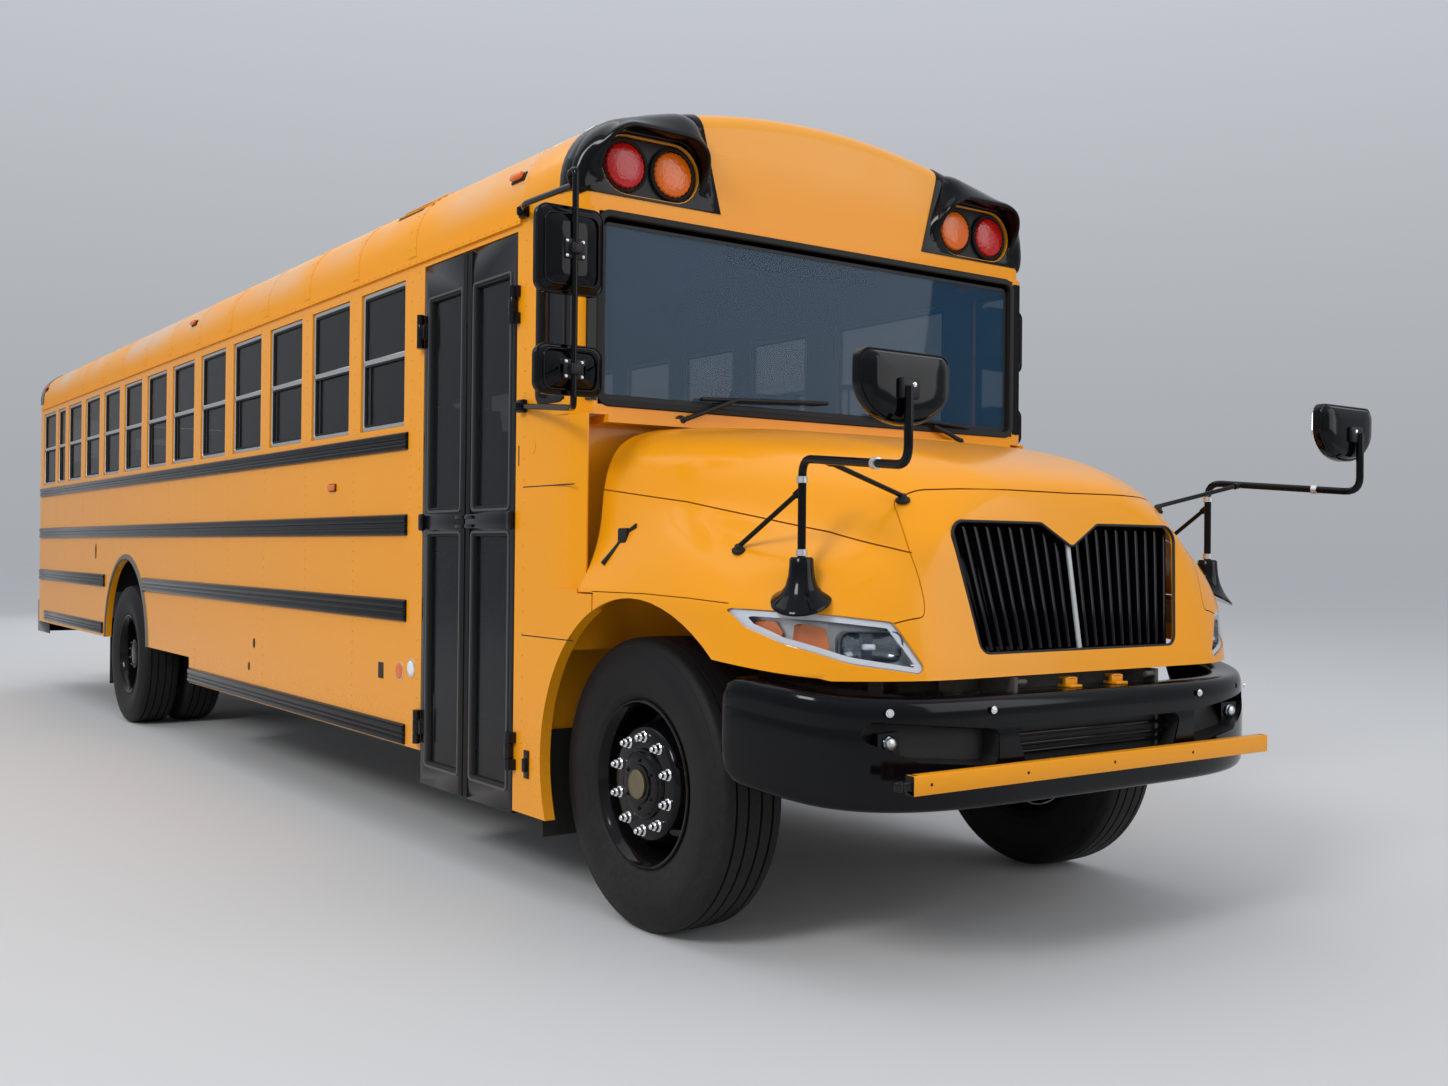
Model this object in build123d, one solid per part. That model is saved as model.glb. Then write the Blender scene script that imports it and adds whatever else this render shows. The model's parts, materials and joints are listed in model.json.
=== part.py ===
import os
from math import atan2, cos, radians, sin, sqrt
from build123d import *

os.makedirs("parts", exist_ok=True)

# Frame: +X forward, +Y to the left, +Z up, origin on the ground under the middle. Millimetres.

# Wheels and reach of the whole bus
wheelbase = 7180
front_reach = 1420
rear_reach = 3570
tyre_radius = 525
tyre_width = 280
rim_radius = 286
rim_flange_radius = 301
front_track_face = 1129
rear_track_face = 1213
tyre_sides = 40
twin_pitch = 322
arch_front_radius = 636
arch_front_lead = 90
arch_front_height = 557
arch_rear_radius = 660
arch_rear_height = 592
arch_lip_wide = 40
arch_lip_proud = 12

# Body shell
body_width = 2438
wall = 45
roof_rise = 517
roof_radius = 3400
eave_radius = 280
eave_height = 2648
skirt_front_height = 452
skirt_rear_height = 620
floor_height = 1020
floor_thick = 40
body_front_lead = -300
body_rear_overhang = 3460
cap_length = 420
corner_radius = 75
cap_edge_radius = 45
drip_rail_proud = 12
drip_rail_tall = 26
shut_gap = 6
seat_gap = 0.3
fit_gap = 0.05

# Side windows, all on one sill line
window_sill = 1925
window_head_room = 48
window_count = 11
window_pitch = 695.5
window_width = 540
first_window_lead = -2152
sash_width = 24
sash_depth = 26
pane_thick = 5
driver_window_front = -800
driver_window_rear = -1640

# Entrance door
door_front = -775
door_rear = -1659
door_bottom = 308
door_head_room = 30
door_meeting_gap = 14
door_thick = 38
door_frame = 52
door_belt_height = 1475
door_belt = 100
header_height = 150

# Windshield and corner windows
windshield_bottom = 1908
windshield_head_room = 12
windshield_half = 1125
corner_window_front = -385
corner_window_rear = -600
cap_band = 58

# Hood, drawn by half sections from the middle outward and down to the lower edge
hood_rear_lead = -270
hood_shell = 14
hood_pivot_lead = 1085
hood_pivot_height = 940
fascia_bottom = 962
nose_lean = 0.16
grille_top = 1466
grille_bottom = 1037
grille_top_half = 583
grille_bottom_half = 498
notch_half = 144
notch_depth = 80
slat_count = 21
slat_thick = 9
slat_depth = 46
grille_rim = 14
grille_corner = 34
notch_tip_radius = 22
headlight_corner = 24

# Bumpers and arms
bumper_nose_lead = 1158
bumper_bottom = 560
bumper_top = 915
bumper_end_lead = 566
bumper_half = 1192
bumper_skin = 55
mirror_root_lead = -700
mirror_root_size = 52
rear_bumper_height = 300
rear_bumper_bottom = 520
arm_height = 675
arm_bar = 60
arm_hinge_side = 990
arm_reach = 1820

# Steering and chassis
kingpin_side = 900
kingpin_radius = 22
steer_arm = 150
tie_rod_height = 420
tie_rod_radius = 17
rail_side = 430
rail_height = 250
rail_width = 75
rail_bottom = 610
tow_eye_radius = 22
tow_eye_thick = 24
tow_eye_height = 470
spring_side = 480
spring_half = 38
leaf_thick = 18
leaf_count = 4

# Worked out from the sizes above
roof_crown = eave_height + roof_rise
window_top = eave_height - window_head_room
sash_bar_height = (window_sill + window_top) / 2 - sash_width / 2
door_top = eave_height - door_head_room
windshield_top = eave_height - windshield_head_room
cap_band_bottom = eave_height + cap_band
cowl_top_height = windshield_bottom - 38
overall_length = front_reach + wheelbase + rear_reach
front_axle = overall_length / 2 - front_reach
rear_axle = front_axle - wheelbase
half = body_width / 2
inner = half - wall
body_front = front_axle + body_front_lead
body_rear = rear_axle - body_rear_overhang
rear_face = -overall_length / 2
front_wheel_side = front_track_face - tyre_width / 2
rear_outer_side = rear_track_face - tyre_width / 2
rear_inner_side = rear_outer_side - twin_pitch


def span(x0, x1, y0, y1, z0, z1):
    """A box between two opposite corners."""
    size = (abs(x1 - x0), abs(y1 - y0), abs(z1 - z0))
    middle = ((x0 + x1) / 2, (y0 + y1) / 2, (z0 + z1) / 2)
    return Pos(*middle) * Box(*size)


def plate_along_y(points, y0, y1):
    """Extrude a closed outline of (x, z) points from y0 to y1."""
    outline = Polyline([(x, y0, z) for x, z in points], close=True)
    return extrude(make_face(outline), amount=abs(y1 - y0), dir=(0, 1 if y1 > y0 else -1, 0))


def plate_along_x(points, x0, x1):
    """Extrude a closed outline of (y, z) points from x0 to x1."""
    outline = Polyline([(x0, y, z) for y, z in points], close=True)
    return extrude(make_face(outline), amount=abs(x1 - x0), dir=(1 if x1 > x0 else -1, 0, 0))


def plate_along_z(points, z0, z1):
    """Extrude a closed outline of (x, y) points from z0 to z1."""
    outline = Polyline([(x, y, z0) for x, y in points], close=True)
    return extrude(make_face(outline), amount=abs(z1 - z0), dir=(0, 0, 1 if z1 > z0 else -1))


def rod_x(x0, x1, y, z, radius):
    """A round bar along X."""
    return Pos((x0 + x1) / 2, y, z) * Rot(0, 90, 0) * Cylinder(radius, abs(x1 - x0))


def rod_y(y0, y1, x, z, radius):
    """A round bar along Y."""
    return Pos(x, (y0 + y1) / 2, z) * Rot(90, 0, 0) * Cylinder(radius, abs(y1 - y0))


def rod_z(z0, z1, x, y, radius):
    """A round bar along Z."""
    return Pos(x, y, (z0 + z1) / 2) * Cylinder(radius, abs(z1 - z0))


def bar(start, end, radius):
    """A round bar between two points."""
    a = Vector(*start)
    b = Vector(*end)
    circle = Plane(origin=a, z_dir=b - a) * Circle(radius)
    return extrude(circle, amount=(b - a).length)


def tube_path(points, radius, bend):
    """An eight-sided bar along straight runs joined by tangent bends."""
    path = FilletPolyline(*points, radius=bend)
    section = Plane(origin=path @ 0, z_dir=path % 0) * RegularPolygon(radius, 8)
    return sweep(section, path=path)


def eased_outline(points, radii, flats=3):
    """The same closed outline of (y, z) points, each corner eased by short flats where its radius is above 0."""
    eased = []
    for index, (corner, radius) in enumerate(zip(points, radii)):
        here = Vector(0, *corner)
        back = (Vector(0, *points[index - 1]) - here).normalized()
        on = (Vector(0, *points[(index + 1) % len(points)]) - here).normalized()
        if radius <= 0:
            eased.append(corner)
            continue
        half_turn = radians(back.get_angle(on)) / 2
        centre = here + (back + on).normalized() * (radius / sin(half_turn))
        start = here + back * (radius * cos(half_turn) / sin(half_turn)) - centre
        end = here + on * (radius * cos(half_turn) / sin(half_turn)) - centre
        for step in range(flats + 1):
            spoke = (start * (1 - step / flats) + end * (step / flats)).normalized() * radius
            eased.append((centre.Y + spoke.Y, centre.Z + spoke.Z))
    return eased


def faceted_ring(profile, sides):
    """A ring about the Y axis with flat facets, from a closed profile of (radius, y) points."""
    faces = []
    loop = profile + profile[:1]
    for index in range(sides):
        turns = [radians(360 / sides * step) for step in (index, index + 1)]
        for near, far in zip(loop, loop[1:]):
            corners = [(near[0] * cos(turns[0]), near[1], near[0] * sin(turns[0])),
                       (near[0] * cos(turns[1]), near[1], near[0] * sin(turns[1])),
                       (far[0] * cos(turns[1]), far[1], far[0] * sin(turns[1])),
                       (far[0] * cos(turns[0]), far[1], far[0] * sin(turns[0]))]
            faces.append(make_face(Polyline(corners, close=True)))
    return Solid(Shell(faces))


def mirrored(shape):
    """The same shape on the other side of the bus."""
    return mirror(shape, about=Plane.XZ)


def save(node, shapes):
    """Write one node, made of one or more solids."""
    solids = []
    for shape in shapes:
        solids += shape.solids()
    export_step(Compound(solids), f"parts/{node}.step")


def shell_outline(side, top_lift):
    """Body section from eave to eave: crown arc, two eave arcs, straight walls. Returns a face at x=0."""
    crown = roof_crown - top_lift
    big = roof_radius - top_lift
    small = eave_radius - side
    reach = half - side
    corner_y = reach - small
    corner_z = roof_crown - roof_radius + sqrt((big - small) ** 2 - corner_y ** 2)
    lean = atan2(corner_z - roof_crown + roof_radius, corner_y)
    join = (0, corner_y + small * cos(lean), corner_z + small * sin(lean))
    knee = (0, corner_y + small * cos(lean / 2), corner_z + small * sin(lean / 2))
    edge = [
        Line((0, reach, eave_height), (0, reach, corner_z)),
        ThreePointArc((0, reach, corner_z), knee, join),
        ThreePointArc(join, (0, 0, crown), (0, -join[1], join[2])),
        ThreePointArc((0, -join[1], join[2]), (0, -knee[1], knee[2]), (0, -reach, corner_z)),
        Line((0, -reach, corner_z), (0, -reach, eave_height)),
        Line((0, -reach, eave_height), (0, reach, eave_height)),
    ]
    return make_face(edge)


def arch_cut(lead_x, height, radius, y0, y1):
    """The round tool that opens a wheel arch."""
    return rod_y(y0, y1, lead_x, height, radius)


# Windows: one row for each opening: centre x and width
window_rows = []
for index in range(window_count):
    window_rows.append((front_axle + first_window_lead - index * window_pitch, window_width))
exit_window_width = 325
last_window_width = 560
exit_window_x = front_axle - 9668
last_window_x = front_axle - 10219
window_rows.append((exit_window_x, exit_window_width))
window_rows.append((last_window_x, last_window_width))
driver_window_row = (front_axle + (driver_window_front + driver_window_rear) / 2,
                     driver_window_front - driver_window_rear)


def side_wall(rows, front_x, skirt_step_x):
    """Right-hand side wall outline from skirt to eave, with window openings and arch."""
    outline = [
        (front_x, skirt_front_height),
        (front_x, eave_height),
        (body_rear + wall, eave_height),
        (body_rear + wall, skirt_rear_height),
        (skirt_step_x, skirt_rear_height),
        (skirt_step_x, skirt_front_height),
    ]
    panel = plate_along_y(outline, -half, -inner)
    for centre, width in rows:
        opening = span(centre - width / 2, centre + width / 2, -half - 1, -inner + 1,
                       window_sill, window_top)
        panel -= opening
    panel -= arch_cut(rear_axle, arch_rear_height, arch_rear_radius, -half - 1, -inner + 1)
    return panel


def wall_pair(panel):
    """Split a wall above the rear axle, where two body panels meet."""
    ahead = span(rear_axle, overall_length, -half - 5, -inner + 5, 0, 4000)
    front = panel & ahead
    rear = panel - ahead
    return front, rear


skirt_step = front_axle - 5410
door_post_rear = front_axle + door_rear - shut_gap
door_post_front = front_axle + door_front + shut_gap
column_front = front_axle - 640

right_wall = side_wall(window_rows, door_post_rear, skirt_step)
front, rear = wall_pair(right_wall)
save("side_wall_right_front", [front])
save("side_wall_right_rear", [rear])

front, rear = wall_pair(side_wall(window_rows + [driver_window_row], column_front, skirt_step))
save("side_wall_left_front", [mirrored(front)])
save("side_wall_left_rear", [mirrored(rear)])


def sash(centre, width):
    """Aluminium window frame with its middle bar, seated in a right-hand opening."""
    y0 = -half + 8
    y1 = y0 + sash_depth
    x0 = centre - width / 2
    x1 = centre + width / 2
    ring = span(x0, x1, y0, y1, window_sill, window_top)
    ring -= span(x0 + sash_width, x1 - sash_width, y0 - 1, y1 + 1,
                 window_sill + sash_width, window_top - sash_width)
    ring += span(x0 + sash_width / 2, x1 - sash_width / 2, y0, y0 + sash_depth / 2,
                 sash_bar_height - sash_width / 2, sash_bar_height + sash_width / 2)
    return ring


def side_pane(centre, width):
    """One glass pane behind the middle bar of its sash."""
    y0 = -half + 8 + sash_depth / 2
    x0 = centre - width / 2 + sash_width
    x1 = centre + width / 2 - sash_width
    return span(x0, x1, y0, y0 + pane_thick, window_sill + sash_width, window_top - sash_width)


sashes = [sash(*row) for row in window_rows]
sashes += [mirrored(sash(*row)) for row in window_rows + [driver_window_row]]
save("window_sashes", sashes)

# Rear wall, with the emergency door opening and three kinds of window
rear_door_half = 480
rear_door_bottom = 1010
rear_door_top = eave_height - 88
rear_sill = window_sill + 65
rear_window_inner = 620
rear_window_outer = 1090
rear_outline = shell_outline(0, 0)
rear_plate = extrude(Pos(body_rear, 0, 0) * rear_outline, amount=wall, dir=(1, 0, 0))
rear_plate += span(body_rear, body_rear + wall, -half, half, skirt_rear_height, eave_height)
door_hole = span(body_rear - 1, body_rear + wall + 1, -rear_door_half, rear_door_half,
                 rear_door_bottom, rear_door_top)
rear_plate -= door_hole
rear_panes = []
for side in (-1, 1):
    y0 = side * rear_window_inner
    y1 = side * rear_window_outer
    rear_plate -= span(body_rear - 1, body_rear + wall + 1, y0, y1, rear_sill, window_top)
    rear_panes.append(span(body_rear + 20, body_rear + 20 + pane_thick, y0, y1, rear_sill, window_top))
save("rear_wall", [rear_plate])

panes = [side_pane(*row) for row in window_rows]
panes += [mirrored(side_pane(*row)) for row in window_rows + [driver_window_row]]
save("window_glass", panes + rear_panes)

# Roof shell between the front cap and the rear wall, with two hatch openings on raised curbs
roof_front = body_front - cap_length
hatch_size = 600
hatch_curb = 35
hatch_rise = 60
hatch_rows = [front_axle - 3550, front_axle - 8400]
roof_outer = shell_outline(0, 0)
roof_inner = shell_outline(wall, wall)
roof_span = roof_front - body_rear - wall
roof = extrude(Pos(body_rear + wall, 0, 0) * roof_outer, amount=roof_span, dir=(1, 0, 0))
roof -= extrude(Pos(body_rear + wall - 1, 0, 0) * roof_inner, amount=roof_span + 2, dir=(1, 0, 0))
curb_top = roof_crown + hatch_rise - 25
drip_rail_front = front_axle + mirror_root_lead - mirror_root_size / 2 - shut_gap
for hatch_x in hatch_rows:
    reach = hatch_size / 2
    curb = span(hatch_x - reach, hatch_x + reach, -reach, reach, roof_crown - wall, curb_top)
    hole = span(hatch_x - reach + hatch_curb, hatch_x + reach - hatch_curb,
                -reach + hatch_curb, reach - hatch_curb, roof_crown - 200, curb_top + 1)
    roof += curb
    roof -= hole
    for side in (-1, 1):
        lug = span(hatch_x + reach + 10, hatch_x + reach + 44, side * 200 - 15, side * 200 + 15,
                   roof_crown - 30, curb_top + 12)
        roof += lug
        roof += rod_y(side * 200 - 15, side * 200 + 45, hatch_x + reach + 30, curb_top + 2, 6)
for side in (-1, 1):
    roof += span(body_rear + wall, drip_rail_front, side * (half - 2), side * (half + drip_rail_proud),
                 eave_height + seat_gap, eave_height + drip_rail_tall)
save("roof", [roof])


def hatch_lid(hatch_x):
    """Raised lid over its curb, with two hinge eyes at its front edge."""
    reach = hatch_size / 2 + 8
    lid = span(hatch_x - reach, hatch_x + reach - 4, -reach, reach, curb_top + seat_gap, curb_top + 40)
    lid -= span(hatch_x - reach + 60, hatch_x + reach - 64, -reach + 60, reach - 60,
                curb_top - 1, curb_top + 18)
    for side in (-1, 1):
        y0 = side * 200 + 18
        y1 = side * 200 + 42
        eye_x = hatch_x + hatch_size / 2 + 30
        ear = span(hatch_x + reach - 30, eye_x, y0, y1, curb_top + 4, curb_top + 30)
        ear += rod_y(y0, y1, eye_x, curb_top + 2, 13)
        ear -= rod_y(y0 - 1, y1 + 1, eye_x, curb_top + 2, 6 + fit_gap)
        lid += ear
    return lid


for name, hatch_x in zip(("roof_hatch_front", "roof_hatch_rear"), hatch_rows):
    save(name, [hatch_lid(hatch_x)])

# Front cap: roof end with a closed front above the windshield, and the black lamp hoods on it
cap_front = body_front - 20
cap = extrude(Pos(roof_front, 0, 0) * roof_outer, amount=cap_front - roof_front, dir=(1, 0, 0))
cap_room = extrude(Pos(roof_front - 1, 0, 0) * roof_inner, amount=cap_front - wall - roof_front, dir=(1, 0, 0))
cap -= cap_room
cap_rim = cap.edges().filter_by_position(Axis.X, cap_front - 1, cap_front + 1)
cap_rim = [edge for edge in cap_rim if edge.center().Z > eave_height + 5]
cap = fillet(cap_rim, cap_edge_radius)
save("front_cap", [cap])

lamp_height = roof_crown - 334
lamp_radius = 90
lamp_sides = [774, 994]
visor_reach = 105
visor_wrap = 110


def visor(facing, face_x):
    """Black lamp hood over two warning lamps, on one side of an end cap."""
    outline = shell_outline(-4, -4)
    start = face_x - facing * visor_wrap
    block = extrude(Pos(start, 0, 0) * outline, amount=visor_wrap + visor_reach, dir=(facing, 0, 0))
    block -= extrude(Pos(start, 0, 0) * shell_outline(0, 0), amount=visor_wrap, dir=(facing, 0, 0))
    above = roof_crown + 235
    edge = plate_along_x([(552, cap_band_bottom), (663, roof_crown - 45), (663, above), (1500, above),
                          (1500, cap_band_bottom)],
                         face_x - 200, face_x + 200)
    block = block & edge
    low = eave_height - 8
    high = roof_crown - 145
    slope = plate_along_y([(face_x + facing * 22, low), (face_x + facing * 200, low),
                           (face_x + facing * 200, high), (face_x + facing * visor_reach, high),
                           (face_x + facing * 22, low + 100)], -2000, 2000)
    block -= slope
    for side in lamp_sides:
        block -= rod_x(face_x + facing * 8, face_x + facing * 300, side, lamp_height, lamp_radius + 22)
    pocket = span(face_x + facing * 8, face_x + facing * 300, lamp_sides[0], lamp_sides[1],
                  lamp_height - lamp_radius - 22, lamp_height + lamp_radius + 22)
    block -= pocket
    return block


visors = []
lamps = []
for facing, face_x in ((1, cap_front), (-1, body_rear)):
    hood_piece = visor(facing, face_x)
    visors += [hood_piece, mirrored(hood_piece)]
    for side in lamp_sides:
        lamp = rod_x(face_x + facing * 8, face_x + facing * 30, side, lamp_height, lamp_radius)
        lamp += Pos(face_x + facing * 30, side, lamp_height) * Rot(0, facing * 90, 0) * Cone(
            lamp_radius - 2, lamp_radius - 34, 14, align=(Align.CENTER, Align.CENTER, Align.MIN))
        lamps += [lamp, mirrored(lamp)]
save("lamp_visors", visors)

# Tail lamps: one row for each lamp: distance out, height, radius
tail_rows = [(930, 1560, 92), (930, 1330, 60), (760, 1560, 60)]
for side, height, radius in tail_rows:
    lamp = rod_x(body_rear, body_rear - 22, side, height, radius)
    lamps += [lamp, mirrored(lamp)]
save("signal_lamps", lamps)

# Front wall: corner columns, windshield opening and the two corner windows
wall_top = eave_height
plan = [
    (column_front, half),
    (body_front - corner_radius, half),
    (body_front - corner_radius * 0.29, half - corner_radius * 0.29),
    (body_front, half - corner_radius),
]
plan_closed = plan + [(x, -y) for x, y in reversed(plan)]
inner_plan = [
    (column_front - 1, inner),
    (body_front - wall - corner_radius * 0.4, inner),
    (body_front - wall, inner - corner_radius * 0.4),
]
inner_closed = inner_plan + [(x, -y) for x, y in reversed(inner_plan)]
front_wall = plate_along_z(plan_closed, cowl_top_height, wall_top)
front_wall -= plate_along_z(inner_closed, cowl_top_height - 1, wall_top + 1)
post = span(door_post_front, column_front, -half, -inner, door_bottom + 15, eave_height)
front_wall -= span(body_front - 200, body_front + 1, -windshield_half, windshield_half,
                   windshield_bottom, windshield_top)
front_wall -= span(front_axle + corner_window_rear, front_axle + corner_window_front, -half - 1, half + 1,
                   window_sill, window_top)
front_wall += post
header_room = span(door_post_rear, door_post_front, -half, -inner, door_top + shut_gap, eave_height)
front_wall += header_room
save("front_wall", [front_wall])

windshield = span(body_front - 26, body_front - 18, -windshield_half, windshield_half,
                  windshield_bottom, windshield_top)
corner_panes = []
for side in (-1, 1):
    corner_panes.append(span(front_axle + corner_window_rear, front_axle + corner_window_front,
                             side * (half - 20), side * (half - 26), window_sill, window_top))
save("windshield", [windshield] + corner_panes)

# Cowl: firewall, ledge under the windshield, and side panels round the rear of the front arches
cowl_front = front_axle + hood_rear_lead - shut_gap
cowl = span(cowl_front - 160, cowl_front - 130, -inner, inner, floor_height - floor_thick, cowl_top_height)
cowl += span(cowl_front - 160, cowl_front, -1090, 1090, cowl_top_height - 30, cowl_top_height)
arch_x = front_axle + arch_front_lead
flange_lead = -170
flange_top = 1199
liner_lead = -612
side_outline = [
    (column_front, door_bottom + 15),
    (front_axle - 540, door_bottom + 15),
    (front_axle + flange_lead, door_bottom + 15),
    (front_axle + flange_lead, flange_top),
    (cowl_front, flange_top),
    (cowl_front, cowl_top_height),
    (column_front, cowl_top_height),
]
for side in (-1, 1):
    panel = plate_along_y(side_outline, side * half, side * (half - wall))
    nose = plate_along_z([(body_front - 190, side * (half + 1)), (cowl_front + 1, side * (half + 1)),
                          (cowl_front + 1, side * (half - wall + 6)), (body_front - 60, side * (half - 8))],
                         1215, cowl_top_height + 1)
    panel -= nose
    panel -= arch_cut(arch_x, arch_front_height, arch_front_radius, -half - 1, half + 1)
    cowl += panel
    cowl += span(front_axle + liner_lead - 28, front_axle + liner_lead, side * 640, side * (half - wall),
                 560, floor_height - floor_thick)
save("cowl", [cowl])

# Floor with its two wheel wells, and the stepwell behind the entrance door
step_rear = front_axle + door_rear + 30
step_front = front_axle + door_front - 30
step_depth = 205
step_count = 3
step_inner = -half + wall + step_depth * step_count
step_rise = (floor_height - door_bottom - 50) / step_count
well_half = arch_rear_radius + 30
well_inner = 590
well_top = arch_rear_height + arch_rear_radius + 40
floor = span(body_rear + wall, cowl_front - 160, -inner, inner, floor_height - floor_thick, floor_height)
floor -= span(step_rear, step_front, -inner - 1, step_inner, 0, floor_height + 1)
for side in (-1, 1):
    well = span(rear_axle - well_half, rear_axle + well_half, side * well_inner, side * inner,
                floor_height - floor_thick, well_top)
    room = span(rear_axle - well_half + 25, rear_axle + well_half - 25, side * (well_inner + 25),
                side * (inner + 1), 0, well_top - 25)
    floor += well
    floor -= room
save("floor", [floor])

tread = 22
steps = span(step_rear, step_rear + 15, -inner + 5, step_inner, door_bottom + 30, floor_height)
steps += span(step_front - 15, step_front, -inner + 5, step_inner, door_bottom + 30, floor_height)
for index in range(step_count):
    y0 = -inner + 5 + index * step_depth
    y1 = -inner + (index + 1) * step_depth
    z1 = door_bottom + 50 + index * step_rise
    steps += span(step_rear, step_front, y0, y1, z1 - tread, z1)
    steps += span(step_rear, step_front, y1 - tread, y1, z1 - tread, z1 + step_rise)
save("stepwell", [steps])

# Rub rails: one row for each rail: rear and front x from the front axle, low and high edge
rail_proud = 17
rail_rows_right = [
    (-10600, -1830, 1810, 1895),
    (-10600, -1830, 1415, 1516),
    (-6660, -1830, 1019, 1123),
    (-10600, -7880, 1019, 1123),
    (-5400, -1830, 456, 552),
    (-10350, -7930, 640, 735),
]
rail_rows_left = [(a, min(b + 1080, -700) if b == -1830 else b, c, d) for a, b, c, d in rail_rows_right]


def rub_rail(rear_lead, front_lead, low, high):
    """Black rail with two raised beads, on the right-hand wall."""
    x0 = front_axle + rear_lead
    x1 = front_axle + front_lead
    mid = (low + high) / 2
    crown = (high - low) / 5
    profile = [
        (-half, low),
        (-half - rail_proud, low + 6),
        (-half - rail_proud, low + crown * 1.5),
        (-half - rail_proud + 7, low + crown * 2),
        (-half - rail_proud + 7, mid + crown * 0.5),
        (-half - rail_proud, mid + crown),
        (-half - rail_proud, high - 6),
        (-half, high),
    ]
    return plate_along_x(profile, x0, x1)


def arch_lip():
    """Rubber lip round the right-hand rear arch, cut off where the skirts end."""
    y0 = -half - arch_lip_proud
    lip = rod_y(y0, -half, rear_axle, arch_rear_height, arch_rear_radius + arch_lip_wide)
    lip -= rod_y(y0 - 1, -half + 1, rear_axle, arch_rear_height, arch_rear_radius)
    reach = arch_rear_radius + arch_lip_wide + 1
    return lip - span(rear_axle - reach, rear_axle + reach, y0 - 1, -half + 1, -reach, skirt_rear_height)


rails = [rub_rail(*row) for row in rail_rows_right]
rails += [mirrored(rub_rail(*row)) for row in rail_rows_left]
for lip in (arch_lip(), mirrored(arch_lip())):
    rails.append(lip)
save("rub_rails", rails)

# Entrance door: two leaves that part in the middle and swing out on their outer edges
door_mid = front_axle + (door_front + door_rear) / 2
pivot_out = 20
pivot_y = -half - pivot_out
door_pivots = {"front": front_axle + door_front + 4, "rear": front_axle + door_rear - 4}
pivot_pin = 8
knuckle_rows = [door_bottom + 252, door_top - 288]


def door_leaf(edge, way):
    """Door leaf with an upper and a lower window; way is +1 where its hinge is at its front."""
    x0 = min(edge, door_mid) + (0 if way < 0 else door_meeting_gap / 2)
    x1 = max(edge, door_mid) - (door_meeting_gap / 2 if way < 0 else 0)
    y0 = -half
    y1 = -half + door_thick
    leaf = span(x0, x1, y0, y1, door_bottom, door_top)
    low_top = door_belt_height - door_belt / 2
    high_low = door_belt_height + door_belt / 2
    for z0, z1 in ((door_bottom + 90, low_top), (high_low, door_top - header_height)):
        leaf -= span(x0 + door_frame, x1 - door_frame, y0 - 1, y1 + 1, z0, z1)
    leaf += span(x0, x1, y0 - 8, y0, low_top + 20, high_low - 20)
    return leaf


def door_panes(edge, way):
    """The two panes of a door leaf."""
    x0 = min(edge, door_mid) + (0 if way < 0 else door_meeting_gap / 2) + door_frame
    x1 = max(edge, door_mid) - (door_meeting_gap / 2 if way < 0 else 0) - door_frame
    y0 = -half + door_thick / 2
    low = span(x0, x1, y0, y0 + pane_thick, door_bottom + 90, door_belt_height - door_belt / 2)
    high = span(x0, x1, y0, y0 + pane_thick, door_belt_height + door_belt / 2, door_top - header_height)
    return [low, high]


def knuckle(x, y, z, pin, reach, toward):
    """Hinge eye on a vertical pin, with a tab that runs back into its panel."""
    eye = rod_z(z - 30, z + 30, x, y, pin + 8)
    eye += span(x, x + reach[0], min(y, y + toward), max(y, y + toward), z - 30, z + 30)
    return eye - rod_z(z - 31, z + 31, x, y, pin + fit_gap)


for name, way in (("front", 1), ("rear", -1)):
    edge = front_axle + (door_front if way > 0 else door_rear)
    pivot_x = door_pivots[name]
    leaf = door_leaf(edge, way)
    for z in knuckle_rows:
        leaf += knuckle(pivot_x, pivot_y, z, pivot_pin, (-way * 40,), pivot_out)
    for z in knuckle_rows:
        leaf -= rod_z(z - 31, z + 31, pivot_x, pivot_y, pivot_pin + fit_gap)
    save(f"door_leaf_{name}", [leaf])
    save(f"door_glass_{name}", door_panes(edge, way))

# Hinge posts for the entrance door, with pins that the leaves turn on
posts = []
for name, way in (("front", 1), ("rear", -1)):
    pivot_x = door_pivots[name]
    for z in knuckle_rows:
        pin = rod_z(z - 75, z + 75, pivot_x, pivot_y, pivot_pin)
        for z0 in (z - 75, z + 32):
            pin += span(pivot_x, pivot_x + way * 30, -half - pivot_out, -half, z0, z0 + 43)
            pin += rod_z(z0, z0 + 43, pivot_x, pivot_y, pivot_pin + 8)
        posts.append(pin)

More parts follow.
